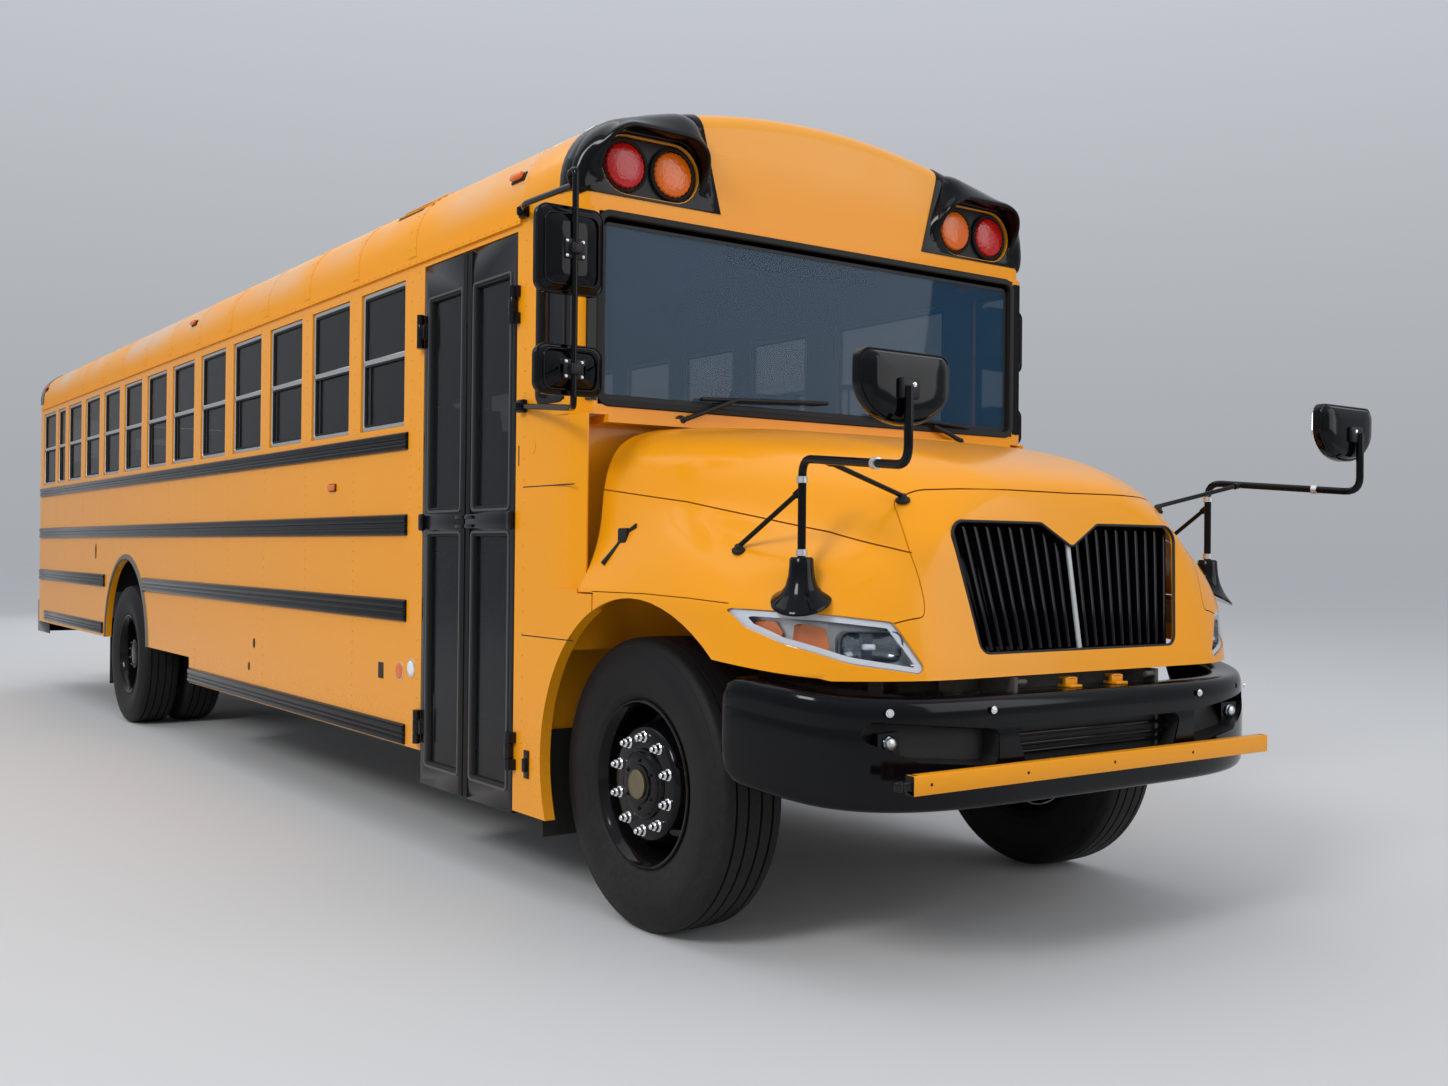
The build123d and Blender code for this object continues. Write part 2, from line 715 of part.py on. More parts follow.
# Rear emergency door, hinged on the right
rear_pivot_y = -rear_door_half - 6
rear_pivot_x = body_rear - 20
leaf = span(body_rear, body_rear + wall - 5, -rear_door_half + shut_gap, rear_door_half - shut_gap,
            rear_door_bottom + shut_gap, rear_door_top - shut_gap)
rear_door_windows = [(rear_sill - 60, rear_door_top - 110), (rear_door_bottom + 130, rear_sill - 260)]
rear_door_panes = []
for z0, z1 in rear_door_windows:
    leaf -= span(body_rear - 1, body_rear + wall + 1, -rear_door_half + 110, rear_door_half - 110, z0, z1)
    rear_door_panes.append(span(body_rear + 15, body_rear + 15 + pane_thick,
                                -rear_door_half + 110, rear_door_half - 110, z0, z1))
rear_hinge_rows = [1250, 2300]
for z in rear_hinge_rows:
    eye = rod_z(z - 30, z + 30, rear_pivot_x, rear_pivot_y, 16)
    eye += span(rear_pivot_x, body_rear, rear_pivot_y, rear_pivot_y + 50, z - 30, z + 30)
    eye -= rod_z(z - 31, z + 31, rear_pivot_x, rear_pivot_y, 8 + fit_gap)
    leaf += eye
    pin = rod_z(z - 72, z + 72, rear_pivot_x, rear_pivot_y, 8)
    for z0 in (z - 72, z + 32):
        pin += rod_z(z0, z0 + 40, rear_pivot_x, rear_pivot_y, 16)
        pin += span(rear_pivot_x - 6, body_rear, rear_pivot_y - 50, rear_pivot_y, z0, z0 + 40)
    posts.append(pin)
handle = rod_y(200, 380, body_rear - 34, 1700, 9)
handle += rod_x(body_rear - 34, body_rear + 2, 205, 1700, 9)
handle += rod_x(body_rear - 34, body_rear + 2, 375, 1700, 9)
leaf += handle
save("rear_door", [leaf])
save("rear_door_glass", rear_door_panes)

# Hood: one row for each section: lead of its foot ahead of the axle, then (y, z) pairs
hood_rows = [
    (-270, [(0, 1850), (600, 1846), (930, 1822), (1060, 1745), (1108, 1583), (1118, 1420), (1160, 1290), (1215, 1205), (1215, 962)]),
    (180, [(0, 1815), (560, 1806), (870, 1768), (985, 1680), (1045, 1535), (1128, 1440), (1188, 1320), (1215, 1195), (1210, 962)]),
    (550, [(0, 1757), (490, 1745), (745, 1702), (850, 1620), (932, 1473), (1060, 1400), (1150, 1290), (1195, 1185), (1192, 962)]),
    (830, [(0, 1680), (390, 1665), (600, 1612), (715, 1530), (845, 1405), (935, 1350), (1020, 1270), (1088, 1170), (1120, 962)]),
    (970, [(0, 1610), (310, 1592), (480, 1540), (590, 1465), (735, 1360), (800, 1310), (865, 1245), (925, 1150), (965, 962)]),
    (1105, [(0, 1490), (285, 1485), (430, 1470), (560, 1440), (610, 1360), (630, 1290), (655, 1215), (680, 1120), (700, 962)]),
]
nose_lead = hood_rows[-1][0]


def hood_wire(lead, points, lean, inset):
    """Closed section of the hood; a lean tips it back as it rises."""
    centre = (0, fascia_bottom)
    ring = []
    for y, z in points:
        drop = inset * min(1, max(0, (z - fascia_bottom) / 120))
        ring.append((max(0, y - inset) if y > 0 else 0, z - drop))
    full = ring + [(-y, z) for y, z in reversed(ring) if y > 0]
    return Polyline([(front_axle + lead - lean * (z - centre[1]), y, z) for y, z in full], close=True)


def hood_body(inset):
    """Solid hood form, smaller all round by the inset."""
    faces = []
    for lead, points in hood_rows:
        lean = nose_lean if lead == nose_lead else 0
        ahead = lead - (inset if lead == nose_lead else 0)
        faces.append(make_face(hood_wire(ahead, points, lean, inset)))
    return loft(faces, ruled=True)


hood_outer = hood_body(0)
hood_inner = hood_body(hood_shell)
hood_inner += extrude(hood_inner.faces().sort_by(Axis.X)[0], amount=5)
hood_inner += span(front_axle - 400, front_axle + 1050, -600, 600, 900, 1000)
shell = hood_outer - hood_inner
shell -= span(front_axle - 400, front_axle + bumper_end_lead - 60, -1195, 1195, 900, 1150)
shell -= arch_cut(front_axle + arch_front_lead, arch_front_height, arch_front_radius, -half - 20, half + 20)
shell -= span(front_axle - 400, front_axle + flange_lead + shut_gap, -half - 20, half + 20,
              900, flange_top + shut_gap)
shell -= plate_along_y([(front_axle + 400, 900), (front_axle + 400, 1024), (front_axle + 620, 1000),
                        (front_axle + 900, 968), (front_axle + 1000, 940), (front_axle + 1000, 900)], -1300, 1300)

# Outlines seen from the front, (y, z): grille opening and headlight
grille_outline = [
    (grille_bottom_half, grille_bottom),
    (grille_top_half, grille_top),
    (notch_half, grille_top),
    (0, grille_top - notch_depth),
    (-notch_half, grille_top),
    (-grille_top_half, grille_top),
    (-grille_bottom_half, grille_bottom),
]
grille_radii = [grille_corner, grille_corner, grille_corner, notch_tip_radius, grille_corner, grille_corner, grille_corner]
headlight_outline = [(720, 976), (827, 1145), (1010, 1168), (1172, 1178), (1150, 1120), (1100, 1074), (960, 1015)]
headlight_radii = [headlight_corner, headlight_corner, 0, 0, 0, 0, 0]
opening = plate_along_x(eased_outline(grille_outline, grille_radii), front_axle + 800, front_axle + 1300)
shell -= opening
lamp_tool = plate_along_x(eased_outline(headlight_outline, headlight_radii), front_axle + 590, front_axle + 1300)
lamp_block = (hood_body(2) - hood_body(70)) & lamp_tool
shell -= lamp_tool
shell -= mirrored(lamp_tool)
shell = Compound(sorted(shell.solids(), key=lambda s: s.volume)[-1:])
seam = plate_along_x([(-806, 1600), (-748, 1355), (-686, 1200), (-824, 1151), (-824, 900),
                      (824, 900), (824, 1151), (686, 1200), (748, 1355), (806, 1600)],
                     front_axle + 935, front_axle + 1300)
fascia = shell & seam
hood = shell - seam
fascia_main = Compound(sorted(fascia.solids(), key=lambda s: s.volume)[-1:])
eye_side = 330
eye_wide = 40
eye_radius = 20
pin_radius = 10
pivot_x = front_axle + hood_pivot_lead
ears = []
for side in (-1, 1):
    y0 = side * eye_side - eye_wide / 2
    y1 = side * eye_side + eye_wide / 2
    ear = rod_y(y0, y1, pivot_x, hood_pivot_height, eye_radius)
    ear += span(pivot_x - eye_radius, front_axle + nose_lead - 4, y0, y1,
                hood_pivot_height, hood_pivot_height + 45)
    ear -= rod_y(y0 - 1, y1 + 1, pivot_x, hood_pivot_height, pin_radius + fit_gap)
    fascia_main += ear
save("fascia", [fascia_main])
save("hood", [hood])
save("headlights", [lamp_block, mirrored(lamp_block)])

grille_front = front_axle + nose_lead - 12


def lean_box(y_low, y_high, x_back, x_front, width):
    """A slat that leans with the side of the grille and with the nose."""
    base = fascia_bottom
    points = []
    for z, y in ((grille_bottom, y_low), (grille_top, y_high)):
        shift = nose_lean * (z - base)
        points.append([(x_back - shift, y - width / 2, z), (x_front - shift, y - width / 2, z),
                       (x_front - shift, y + width / 2, z), (x_back - shift, y + width / 2, z)])
    return loft([make_face(Polyline(ring, close=True)) for ring in points], ruled=True)


grille_zone = opening
core_outline = [(y * (1 - grille_rim / grille_top_half), z + (grille_rim if z == grille_bottom else -grille_rim))
                for y, z in grille_outline]
core_radii = [radius - grille_rim / 2 for radius in grille_radii]
grille_core = plate_along_x(eased_outline(core_outline, core_radii), front_axle + 790, front_axle + 1310)
slope_zone = plate_along_y([
    (grille_front - slat_depth - nose_lean * (900 - fascia_bottom), 900),
    (grille_front - nose_lean * (900 - fascia_bottom), 900),
    (grille_front - nose_lean * (1600 - fascia_bottom), 1600),
    (grille_front - slat_depth - nose_lean * (1600 - fascia_bottom), 1600)], -700, 700)
grille = (grille_zone - grille_core) & slope_zone
for index in range(slat_count):
    share = (index + 0.5) / slat_count * 2 - 1
    slat = lean_box(share * grille_bottom_half, share * grille_top_half,
                    grille_front - slat_depth, grille_front - 6, slat_thick)
    grille += slat & grille_zone
save("grille", [grille])

# Cross-view mirrors on the fenders: flared base, bent post, two stays and a D-shaped head
post_foot = (front_axle + 829, 1045)
post_top_z = 1655
head = (front_axle + front_reach - 60, 1136, 1815)


def crossview():
    """Right-hand mirror, drawn on the positive side and mirrored later."""
    x, y = post_foot
    foot_low = 1215
    bell = [(foot_low, 96), (1262, 66), (1300, 40), (1345, 34)]
    base = loft([Plane(origin=(x, y, z)) * RegularPolygon(r, 8) for z, r in bell], ruled=True)
    arm_end = (head[0] - 60, head[1] - 10, 1640)
    path = [(x, y, 1340), (x, y, post_top_z), (arm_end[0] - 60, arm_end[1], arm_end[2]),
            (head[0] - 40, head[1], 1700), (head[0] - 40, head[1], 1815)]
    tube = tube_path(path, 12, 45)
    stay = tube_path([(x - 200, y + 25, 1400), (x - 100, y + 12.5, 1481), (x, y, 1560)], 8, 20)
    second = tube_path([(x + 30, 780, 1535), (x + 15, 912, 1588), (x, y, 1640)], 8, 20)
    foot = rod_z(1370, 1405, x - 200, y + 25, 14)
    second_foot = rod_z(1490, 1540, x + 30, 780, 14)
    profile = [(-150, 95), (150, 95), (155, 20), (90, -95), (0, -125), (-90, -95), (-155, 20)]
    back = Plane(origin=(head[0], head[1], head[2]), x_dir=(0, 1, 0), z_dir=(1, 0, 0))
    outline = make_face(Polyline([back.from_local_coords((a, b, 0)) for a, b in profile], close=True))
    inset = make_face(Polyline([back.from_local_coords((a * 0.8, b * 0.8, 60)) for a, b in profile], close=True))
    rear = make_face(Polyline([back.from_local_coords((a * 0.85, b * 0.85, -70)) for a, b in profile], close=True))
    shell_front = loft([outline, inset], ruled=True)
    shell_rear = loft([rear, outline], ruled=True)
    return base + tube + stay + second + foot + second_foot + shell_front + shell_rear


pair = crossview() - hood_body(-seat_gap)
save("crossview_mirrors", [pair, mirrored(pair)])

# Door-side mirrors: two heads on a bent tube, held by arms at the front door post
mirror_lead_right = -120
mirror_lead_left = -600
mirror_side = 1362
mirror_wide = 272


def side_mirror(lead):
    """Mirror set on the left, mirrored for the other side."""
    x = front_axle + lead
    y = mirror_side
    root_x = front_axle + mirror_root_lead
    root = mirror_root_size / 2
    top = eave_height + 42
    foot = window_sill - 3
    path = [(root_x, half + 14, top), (x - 30, y, top - 30), (x, y, top - 90), (x, y, foot - 17),
            (x - 40, y, foot - 60), (root_x, half + 14, foot)]
    tube = tube_path(path, 12, 26)
    for z in (top, foot):
        tube += span(root_x - root, root_x + root, half, half + root, z - root, z + root)
    for low, tall in ((top - 428, 310), (foot - 17, 177)):
        head_box = span(x + 10, x + 70, y - mirror_wide / 2, y + mirror_wide / 2, low, low + tall)
        head_box = chamfer(head_box.faces().sort_by(Axis.X)[-1].edges(), 28)
        tube += head_box
    return tube


save("side_mirrors", [mirrored(side_mirror(mirror_lead_right)), side_mirror(mirror_lead_left)])

# Front bumper: a curved skin with a centre intake and two lamp recesses
bumper_path = [
    (front_axle + bumper_end_lead, bumper_half),
    (front_axle + 900, 1135),
    (front_axle + bumper_nose_lead, 640),
    (front_axle + bumper_nose_lead, -640),
    (front_axle + 900, -1135),
    (front_axle + bumper_end_lead, -bumper_half),
]


def offset_plan(points, depth):
    """The same run moved inward, toward the middle of the bus."""
    moved = []
    for x, y in points:
        way = 1 if y > 0 else -1
        nose = 1 if abs(y) < 1000 else 0.35
        end = 1 if abs(y) > 1000 else 0.55
        moved.append((x - depth * nose, y - way * depth * end))
    moved[0] = (points[0][0], points[0][1] - depth)
    moved[-1] = (points[-1][0], points[-1][1] + depth)
    return moved


outer_run = FilletPolyline(*[(x, y, bumper_bottom) for x, y in bumper_path], radius=260)
inner_points = offset_plan(bumper_path, bumper_skin)
inner_run = FilletPolyline(*[(x, y, bumper_bottom) for x, y in reversed(inner_points)], radius=230)
closing = [Line(outer_run @ 1, inner_run @ 0), Line(inner_run @ 1, outer_run @ 0)]
bumper = extrude(make_face([outer_run, inner_run] + closing), amount=430, dir=(0, 0, 1))
lid_cut = plate_along_y([(front_axle + 400, 978), (front_axle + 560, 978), (front_axle + 900, 950),
                         (front_axle + 1060, bumper_top), (front_axle + 1300, bumper_top),
                         (front_axle + 1300, 1100), (front_axle + 400, 1100)], -1400, 1400)
bumper -= lid_cut
foot_cut = plate_along_y([(front_axle + 400, 640), (front_axle + 600, 640), (front_axle + 1000, bumper_bottom),
                          (front_axle + 1000, 400), (front_axle + 400, 400)], -1400, 1400)
bumper -= foot_cut
bumper -= plate_along_x([(-370, 689), (370, 689), (416, 803), (-416, 803)], front_axle + 1000, front_axle + 1300)
for side in (-1, 1):
    recess = [(side * 510, 690), (side * 880, 745), (side * 985, 800), (side * 960, 850), (side * 500, 812)]
    bumper -= plate_along_x(recess, front_axle + 850, front_axle + 1300)
bumper += span(front_axle + 1112, front_axle + 1128, -420, 420, 742, 752)
arm_x = front_axle + bumper_nose_lead + 55
for z in (arm_height - 26, arm_height + 14):
    bumper += span(front_axle + 930, arm_x, -arm_hinge_side - 26, -arm_hinge_side + 10, z, z + 12)
    bumper += rod_z(z, z + 12, arm_x, -arm_hinge_side, 18)
bumper += rod_z(arm_height - 26, arm_height + 26, arm_x, -arm_hinge_side, 6)
save("front_bumper", [bumper])

# Crossing arm: a yellow channel on a vertical pin at the door side of the bumper
arm = rod_z(arm_height - 13.7, arm_height + 13.7, arm_x, -arm_hinge_side, 16)
arm += span(arm_x - 12, arm_x + 12, -arm_hinge_side, -arm_hinge_side + 60, arm_height - 13.7, arm_height + 13.7)
channel = span(arm_x - 16, arm_x + 22, -arm_hinge_side + 40, -arm_hinge_side + arm_reach,
               arm_height - arm_bar / 2, arm_height + arm_bar / 2)
channel -= span(arm_x - 17, arm_x + 14, -arm_hinge_side + 100, -arm_hinge_side + arm_reach + 1,
                arm_height - arm_bar / 2 + 9, arm_height + arm_bar / 2 - 9)
arm += channel
arm -= rod_z(arm_height - 40, arm_height + 40, arm_x, -arm_hinge_side, 6 + fit_gap)
save("crossing_arm", [arm])

# Stop arm: a bare eight-sided blade folded against the left side
stop_x = front_axle - 2020
stop_z = 1660
stop_size = 457
stop_gap = 24
blade_y = half + stop_gap
stop_mid = stop_x - 40 - stop_size / 2
octagon = []
for index in range(8):
    angle = radians(22.5 + 45 * index)
    reach = stop_size / 2 / cos(radians(22.5))
    octagon.append((stop_mid + reach * cos(angle), stop_z + reach * sin(angle)))
blade = plate_along_y(octagon, blade_y, blade_y + 6)
blade += span(stop_x - 60, stop_x, blade_y, blade_y + 6, stop_z - 60, stop_z + 60)
blade += rod_z(stop_z - 60, stop_z + 60, stop_x, blade_y + 3, 11)
blade -= rod_z(stop_z - 61, stop_z + 61, stop_x, blade_y + 3, 6 + fit_gap)
save("stop_arm", [blade])
mount_block = span(stop_x - 30, stop_x + 60, half, half + 14, stop_z - 95, stop_z + 95)
for z0 in (stop_z - 90, stop_z + 62):
    mount_block += span(stop_x - 12, stop_x + 12, half + 10, blade_y + 16, z0, z0 + 28)
mount_block += rod_z(stop_z - 90, stop_z + 90, stop_x, blade_y + 3, 6)
posts.append(mount_block)
save("hinge_posts", posts)

# Rear bumper, a folded steel channel right across
rear_bumper = span(rear_face, body_rear, -half + 10, half - 10, rear_bumper_bottom,
                   rear_bumper_bottom + rear_bumper_height)
rear_bumper -= span(rear_face + 8, body_rear + 1, -half + 30, half - 30, rear_bumper_bottom + 10,
                    rear_bumper_bottom + rear_bumper_height - 10)
for side in (-1, 1):
    rear_bumper += span(body_rear - 1, body_rear + 450, side * (half - 10), side * (half - 18),
                        rear_bumper_bottom, rear_bumper_bottom + 95)
save("rear_bumper", [rear_bumper])

# Springs: one row for each axle: centre x, half length, height of the axle's spring seat
axle_z = tyre_radius
beam_top = axle_z + 5
rear_tube_radius = 66
rear_seat = axle_z + rear_tube_radius + 9
spring_stack = leaf_count * leaf_thick
spring_rows = [(front_axle, 640, beam_top), (rear_axle, 740, rear_seat)]

# Chassis: two channel rails, cross members and rear tow eyes
rail_front = front_axle + bumper_nose_lead - bumper_skin
rail_rear = body_rear + wall + 5
cross_low = rail_bottom + 160
frame = None
for side in (-1, 1):
    y0 = side * rail_side
    y1 = side * (rail_side - rail_width)
    rail = span(rail_rear, rail_front, y0, y1, rail_bottom, rail_bottom + rail_height)
    rail -= span(rail_rear - 1, rail_front + 1, side * (rail_side - 9), side * (rail_side - rail_width - 1),
                 rail_bottom + 9, rail_bottom + rail_height - 9)
    frame = rail if frame is None else frame + rail
cross_rows = [1040, 700, -700, -2300, -4200, -6300, -8050, -8750, -9500, -10500]
for lead in cross_rows:
    x = front_axle + lead
    frame += span(x - 30, x + 30, -rail_side + 9, rail_side - 9, cross_low, cross_low + 80)
for lead in range(-10300, -700, 1200):
    x = front_axle + lead
    if abs(x - rear_axle) > 700:
        frame += span(x - 25, x + 25, -rail_side + 1, rail_side - 1, rail_bottom + rail_height - 9,
                      floor_height - floor_thick)
for side in (-1, 1):
    frame += span(rail_front - 160, pivot_x + 11, side * (eye_side + 26), side * (eye_side + 42),
                  rail_bottom + 60, hood_pivot_height + 18)
    frame += rod_y(side * (eye_side - 20), side * (eye_side + 30), pivot_x, hood_pivot_height, pin_radius)
    for centre, reach, low in spring_rows:
        for end in (-1, 1):
            x = centre + end * (reach - 40)
            frame += span(x - 35, x + 35, side * (rail_side - 5), side * (spring_side + spring_half),
                          low + spring_stack, low + spring_stack + 100)
save("chassis_frame", [frame])

# Rear tow eyes, plates bolted under the ends of the rails
eyes = []
tow_eye_x = rail_rear + 110
for side in (-1, 1):
    y0 = side * (rail_side - 8)
    y1 = side * (rail_side - 8 - tow_eye_thick)
    eye = span(tow_eye_x - 90, tow_eye_x + 90, y0, y1, tow_eye_height, rail_bottom)
    eye += rod_y(y0, y1, tow_eye_x, tow_eye_height, 55)
    eye -= rod_y(y0 + side, y1 - side, tow_eye_x, tow_eye_height, tow_eye_radius)
    eyes.append(eye)
save("tow_eyes", eyes)

# Engine with its gearbox on the rails, and the radiator behind the grille
rail_top = rail_bottom + rail_height
gearbox_z = 680
gearbox_rear = front_axle - 1050
engine = span(front_axle - 330, front_axle + 640, -300, 300, rail_top + 40, 1560)
engine += span(front_axle - 330, front_axle + 560, -160, 160, 640, rail_top + 41)
engine += span(gearbox_rear, front_axle - 329, -130, 130, gearbox_z - 85, gearbox_z + 85)
for x in (front_axle - 200, front_axle + 450):
    engine += span(x, x + 80, -rail_side, rail_side, rail_top, rail_top + 41)
radiator = span(front_axle + 860, front_axle + 935, -480, 480, rail_top + 40, 1440)
radiator += span(front_axle + 880, front_axle + 915, -rail_side, rail_side, rail_top, rail_top + 42)
save("engine", [engine, radiator])

# Front axle beam with its kingpins
beam = span(front_axle - 42, front_axle + 42, -530, 530, beam_top - 90, beam_top)
for side in (-1, 1):
    ramp = plate_along_x([(side * 525, beam_top - 90), (side * 525, beam_top), (side * 820, 575), (side * (kingpin_side - 20), 575),
                          (side * (kingpin_side - 20), 485), (side * 820, 485)], front_axle - 42, front_axle + 42)
    beam += ramp
    beam += rod_z(485, 575, front_axle, side * kingpin_side, 46)
    beam += rod_z(425, 635, front_axle, side * kingpin_side, kingpin_radius)
save("front_axle", [beam])

# Leaf springs, longest leaf on top, held by the hangers of the rails
springs = []
for centre, reach, low in spring_rows:
    for side in (-1, 1):
        y0 = side * spring_side - spring_half
        y1 = side * spring_side + spring_half
        pack = span(centre - reach, centre + reach, y0, y1, low + spring_stack - leaf_thick, low + spring_stack)
        for layer in range(1, leaf_count):
            half_leaf = reach * (1 - 0.21 * layer)
            z1 = low + spring_stack - layer * leaf_thick
            pack += span(centre - half_leaf, centre + half_leaf, y0, y1, z1 - leaf_thick, z1)
        springs.append(pack)
save("leaf_springs", springs)

# Rear axle: tube, differential and propeller shaft
rear_spindle = 48
rear_tube = rod_y(-rear_inner_side - 60, rear_inner_side + 60, rear_axle, axle_z, rear_tube_radius)
rear_tube += Pos(rear_axle, 0, axle_z) * Sphere(190)
rear_tube += rod_x(rear_axle + 150, rear_axle + 330, 0, axle_z, 80)
for side in (-1, 1):
    rear_tube += rod_y(side * (rear_inner_side + 50), side * (rear_outer_side + 60), rear_axle, axle_z, rear_spindle)
    rear_tube += span(rear_axle - 60, rear_axle + 60, side * (spring_side - spring_half - 2),
                      side * (spring_side + spring_half + 2), axle_z + 30, rear_seat)
shaft_start = (rear_axle + 320, 0, axle_z)
shaft_end = (gearbox_rear - 12, 0, gearbox_z)
rear_tube += bar(shaft_start, shaft_end, 48)
rear_tube += rod_x(gearbox_rear - 70, gearbox_rear - seat_gap, 0, gearbox_z, 62)
save("rear_axle", [rear_tube])

# Fuel tank between the rails and exhaust on the left
tank = span(rear_axle - 2550, rear_axle - 1350, -340, 340, 400, cross_low - 20)
tank = fillet(tank.edges().filter_by(Axis.X), 60)
for lead in (-8750, -9500):
    tank += span(front_axle + lead - 25, front_axle + lead + 25, -250, 250, cross_low - 30, cross_low)
save("fuel_tank", [tank])
exhaust = rod_x(front_axle - 3600, front_axle - 2500, 640, 720, 130)
exhaust += tube_path([(front_axle - 2520, 640, 720), (front_axle - 1200, 640, 720), (front_axle - 900, 500, 760)], 50, 120)
exhaust += rod_x(front_axle - 5900, front_axle - 3590, 640, 720, 50)
exhaust += span(front_axle - 3300, front_axle - 3260, 600, 680, 830, floor_height - floor_thick)
exhaust += span(front_axle - 2800, front_axle - 2760, 600, 680, 830, floor_height - floor_thick)
save("exhaust", [exhaust])

# Knuckles: upper and lower ears on the kingpin, spindle and steering arm
spindle_radius = 38
hub_radius = 110
hand_holes = 8
hand_hole_circle = 200


def steering_knuckle(side):
    """One knuckle at rest."""
    y = side * kingpin_side
    body = rod_z(579, 632, front_axle, y, 42)
    body += rod_z(428, 481, front_axle, y, 42)
    body += span(front_axle - 38, front_axle + 38, y + side * 50, y + side * 78, 428, 632)
    body += span(front_axle - 38, front_axle + 38, y, y + side * 78, 579, 632)
    body += span(front_axle - 38, front_axle + 38, y, y + side * 78, 428, 481)
    body -= rod_z(400, 660, front_axle, y, kingpin_radius + fit_gap)
    body += rod_y(y + side * 60, side * (front_track_face - 52), front_axle, axle_z, spindle_radius)
    arm_bar_y = span(front_axle - steer_arm, front_axle - 30, y - 18, y + 18, 440, 470)
    body += arm_bar_y
    body += rod_z(434, 470, front_axle - steer_arm, y, 24)
    return body


for name, side in (("right", -1), ("left", 1)):
    solid = steering_knuckle(side)
    pin = rod_z(tie_rod_height - 22, 440, front_axle - steer_arm, side * kingpin_side, 10)
    save(f"knuckle_{name}", [solid + pin])

tie_x = front_axle - steer_arm
tie_rod = rod_y(-kingpin_side + 20, kingpin_side - 20, tie_x, tie_rod_height - 6, tie_rod_radius)
for side, gap in ((-1, fit_gap), (1, 1.5)):
    eye = rod_z(tie_rod_height - 24, tie_rod_height + 12, tie_x, side * kingpin_side, 24)
    eye -= rod_z(tie_rod_height - 30, tie_rod_height + 20, tie_x, side * kingpin_side, 10 + gap)
    tie_rod += eye
    tie_rod -= rod_z(tie_rod_height - 30, tie_rod_height + 20, tie_x, side * kingpin_side, 10 + gap)
save("tie_rod", [tie_rod])


def tyre(x, y):
    """One tyre with rounded shoulders, bead to bead; its flats clear the rim inside."""
    w = tyre_width / 2
    bead = 95
    bore = rim_radius / cos(radians(180 / tyre_sides))
    outer = [(bore, -bead), (bore + 40, -w + 18), (bore + 130, -w), (tyre_radius - 55, -w + 6),
             (tyre_radius - 12, -w + 26), (tyre_radius, -w + 48)]
    profile = outer + [(radius, -place) for radius, place in reversed(outer)]
    return Pos(x, y, axle_z) * faceted_ring(profile, tyre_sides)


def rim(x, y, side, disc):
    """One rim: barrel with two flanges, and a disc with hand holes, set out from the middle."""
    barrel = rod_y(-118, 118, 0, 0, rim_radius - 0.4)
    barrel += rod_y(108, 120, 0, 0, rim_flange_radius)
    barrel += rod_y(-120, -108, 0, 0, rim_flange_radius)
    barrel -= rod_y(-130, 130, 0, 0, rim_radius - 20)
    plate = rod_y(side * disc - 7, side * disc + 7, 0, 0, rim_radius - 10)
    for index in range(hand_holes):
        angle = radians(360 / hand_holes * index)
        plate -= rod_y(-300, 300, hand_hole_circle * cos(angle), hand_hole_circle * sin(angle), 30)
    plate -= rod_y(-300, 300, 0, 0, hub_radius - 5)
    return Pos(x, y, axle_z) * (barrel + plate)


def hub(x, side, start, end, blind, bore):
    """Hub drum from start to end along the axle, bored from inside up to its blind end."""
    drum = rod_y(side * start, side * end, x, axle_z, hub_radius)
    return drum - rod_y(side * (start - 2), side * blind, x, axle_z, bore)


for name, side in (("right", -1), ("left", 1)):
    y = side * front_wheel_side
    save(f"front_tyre_{name}", [tyre(front_axle, y)])
    front_hub = hub(front_axle, side, front_wheel_side - 5, front_wheel_side + 110,
                    front_track_face - 50, spindle_radius + fit_gap)
    save(f"front_rim_{name}", [rim(front_axle, y, side, 20) + front_hub])
    y_in = side * rear_inner_side
    y_out = side * rear_outer_side
    save(f"rear_tyres_{name}", [tyre(rear_axle, y_in), tyre(rear_axle, y_out)])
    rims = rim(rear_axle, y_in, side, 108) + rim(rear_axle, y_out, -side, 108)
    rear_hub = hub(rear_axle, side, rear_inner_side + 80, rear_outer_side + 90,
                   rear_outer_side + 61, rear_spindle + fit_gap)
    save(f"rear_rims_{name}", [rims + rear_hub])

# Seats: high-backed benches in two rows, and the driver's seat
seat_rows = 11
seat_pitch = 695
seat_first = front_axle - 2350
seat_depth = 390
seat_high = 1130
bench_inner = 230
bench_outer = inner - 25
benches = []
for index in range(seat_rows):
    x1 = seat_first - index * seat_pitch
    for side in (-1, 1):
        y0 = side * bench_inner
        y1 = side * bench_outer
        cushion = span(x1 - seat_depth, x1, y0, y1, floor_height + 330, floor_height + 460)
        back = plate_along_y([(x1 - seat_depth + 60, floor_height + 330), (x1 - seat_depth - 60, floor_height + 330),
                              (x1 - seat_depth - 150, floor_height + seat_high),
                              (x1 - seat_depth - 80, floor_height + seat_high)], y0, y1)
        foot_y = side * (bench_inner + 60)
        leg = span(x1 - seat_depth + 20, x1 - 40, foot_y - 15, foot_y + 15, floor_height, floor_height + 331)
        benches.append(cushion + back + leg)
driver_x = front_axle - 1250
driver_y = 620
cushion = span(driver_x - 230, driver_x + 240, driver_y - 240, driver_y + 240, floor_height + 380, floor_height + 500)
back = plate_along_y([(driver_x - 150, floor_height + 380), (driver_x - 260, floor_height + 380),
                      (driver_x - 340, floor_height + 1180), (driver_x - 260, floor_height + 1180)],
                     driver_y - 230, driver_y + 230)
pedestal = span(driver_x - 130, driver_x + 130, driver_y - 130, driver_y + 130, floor_height, floor_height + 381)
benches.append(cushion + back + pedestal)
save("seats", benches)

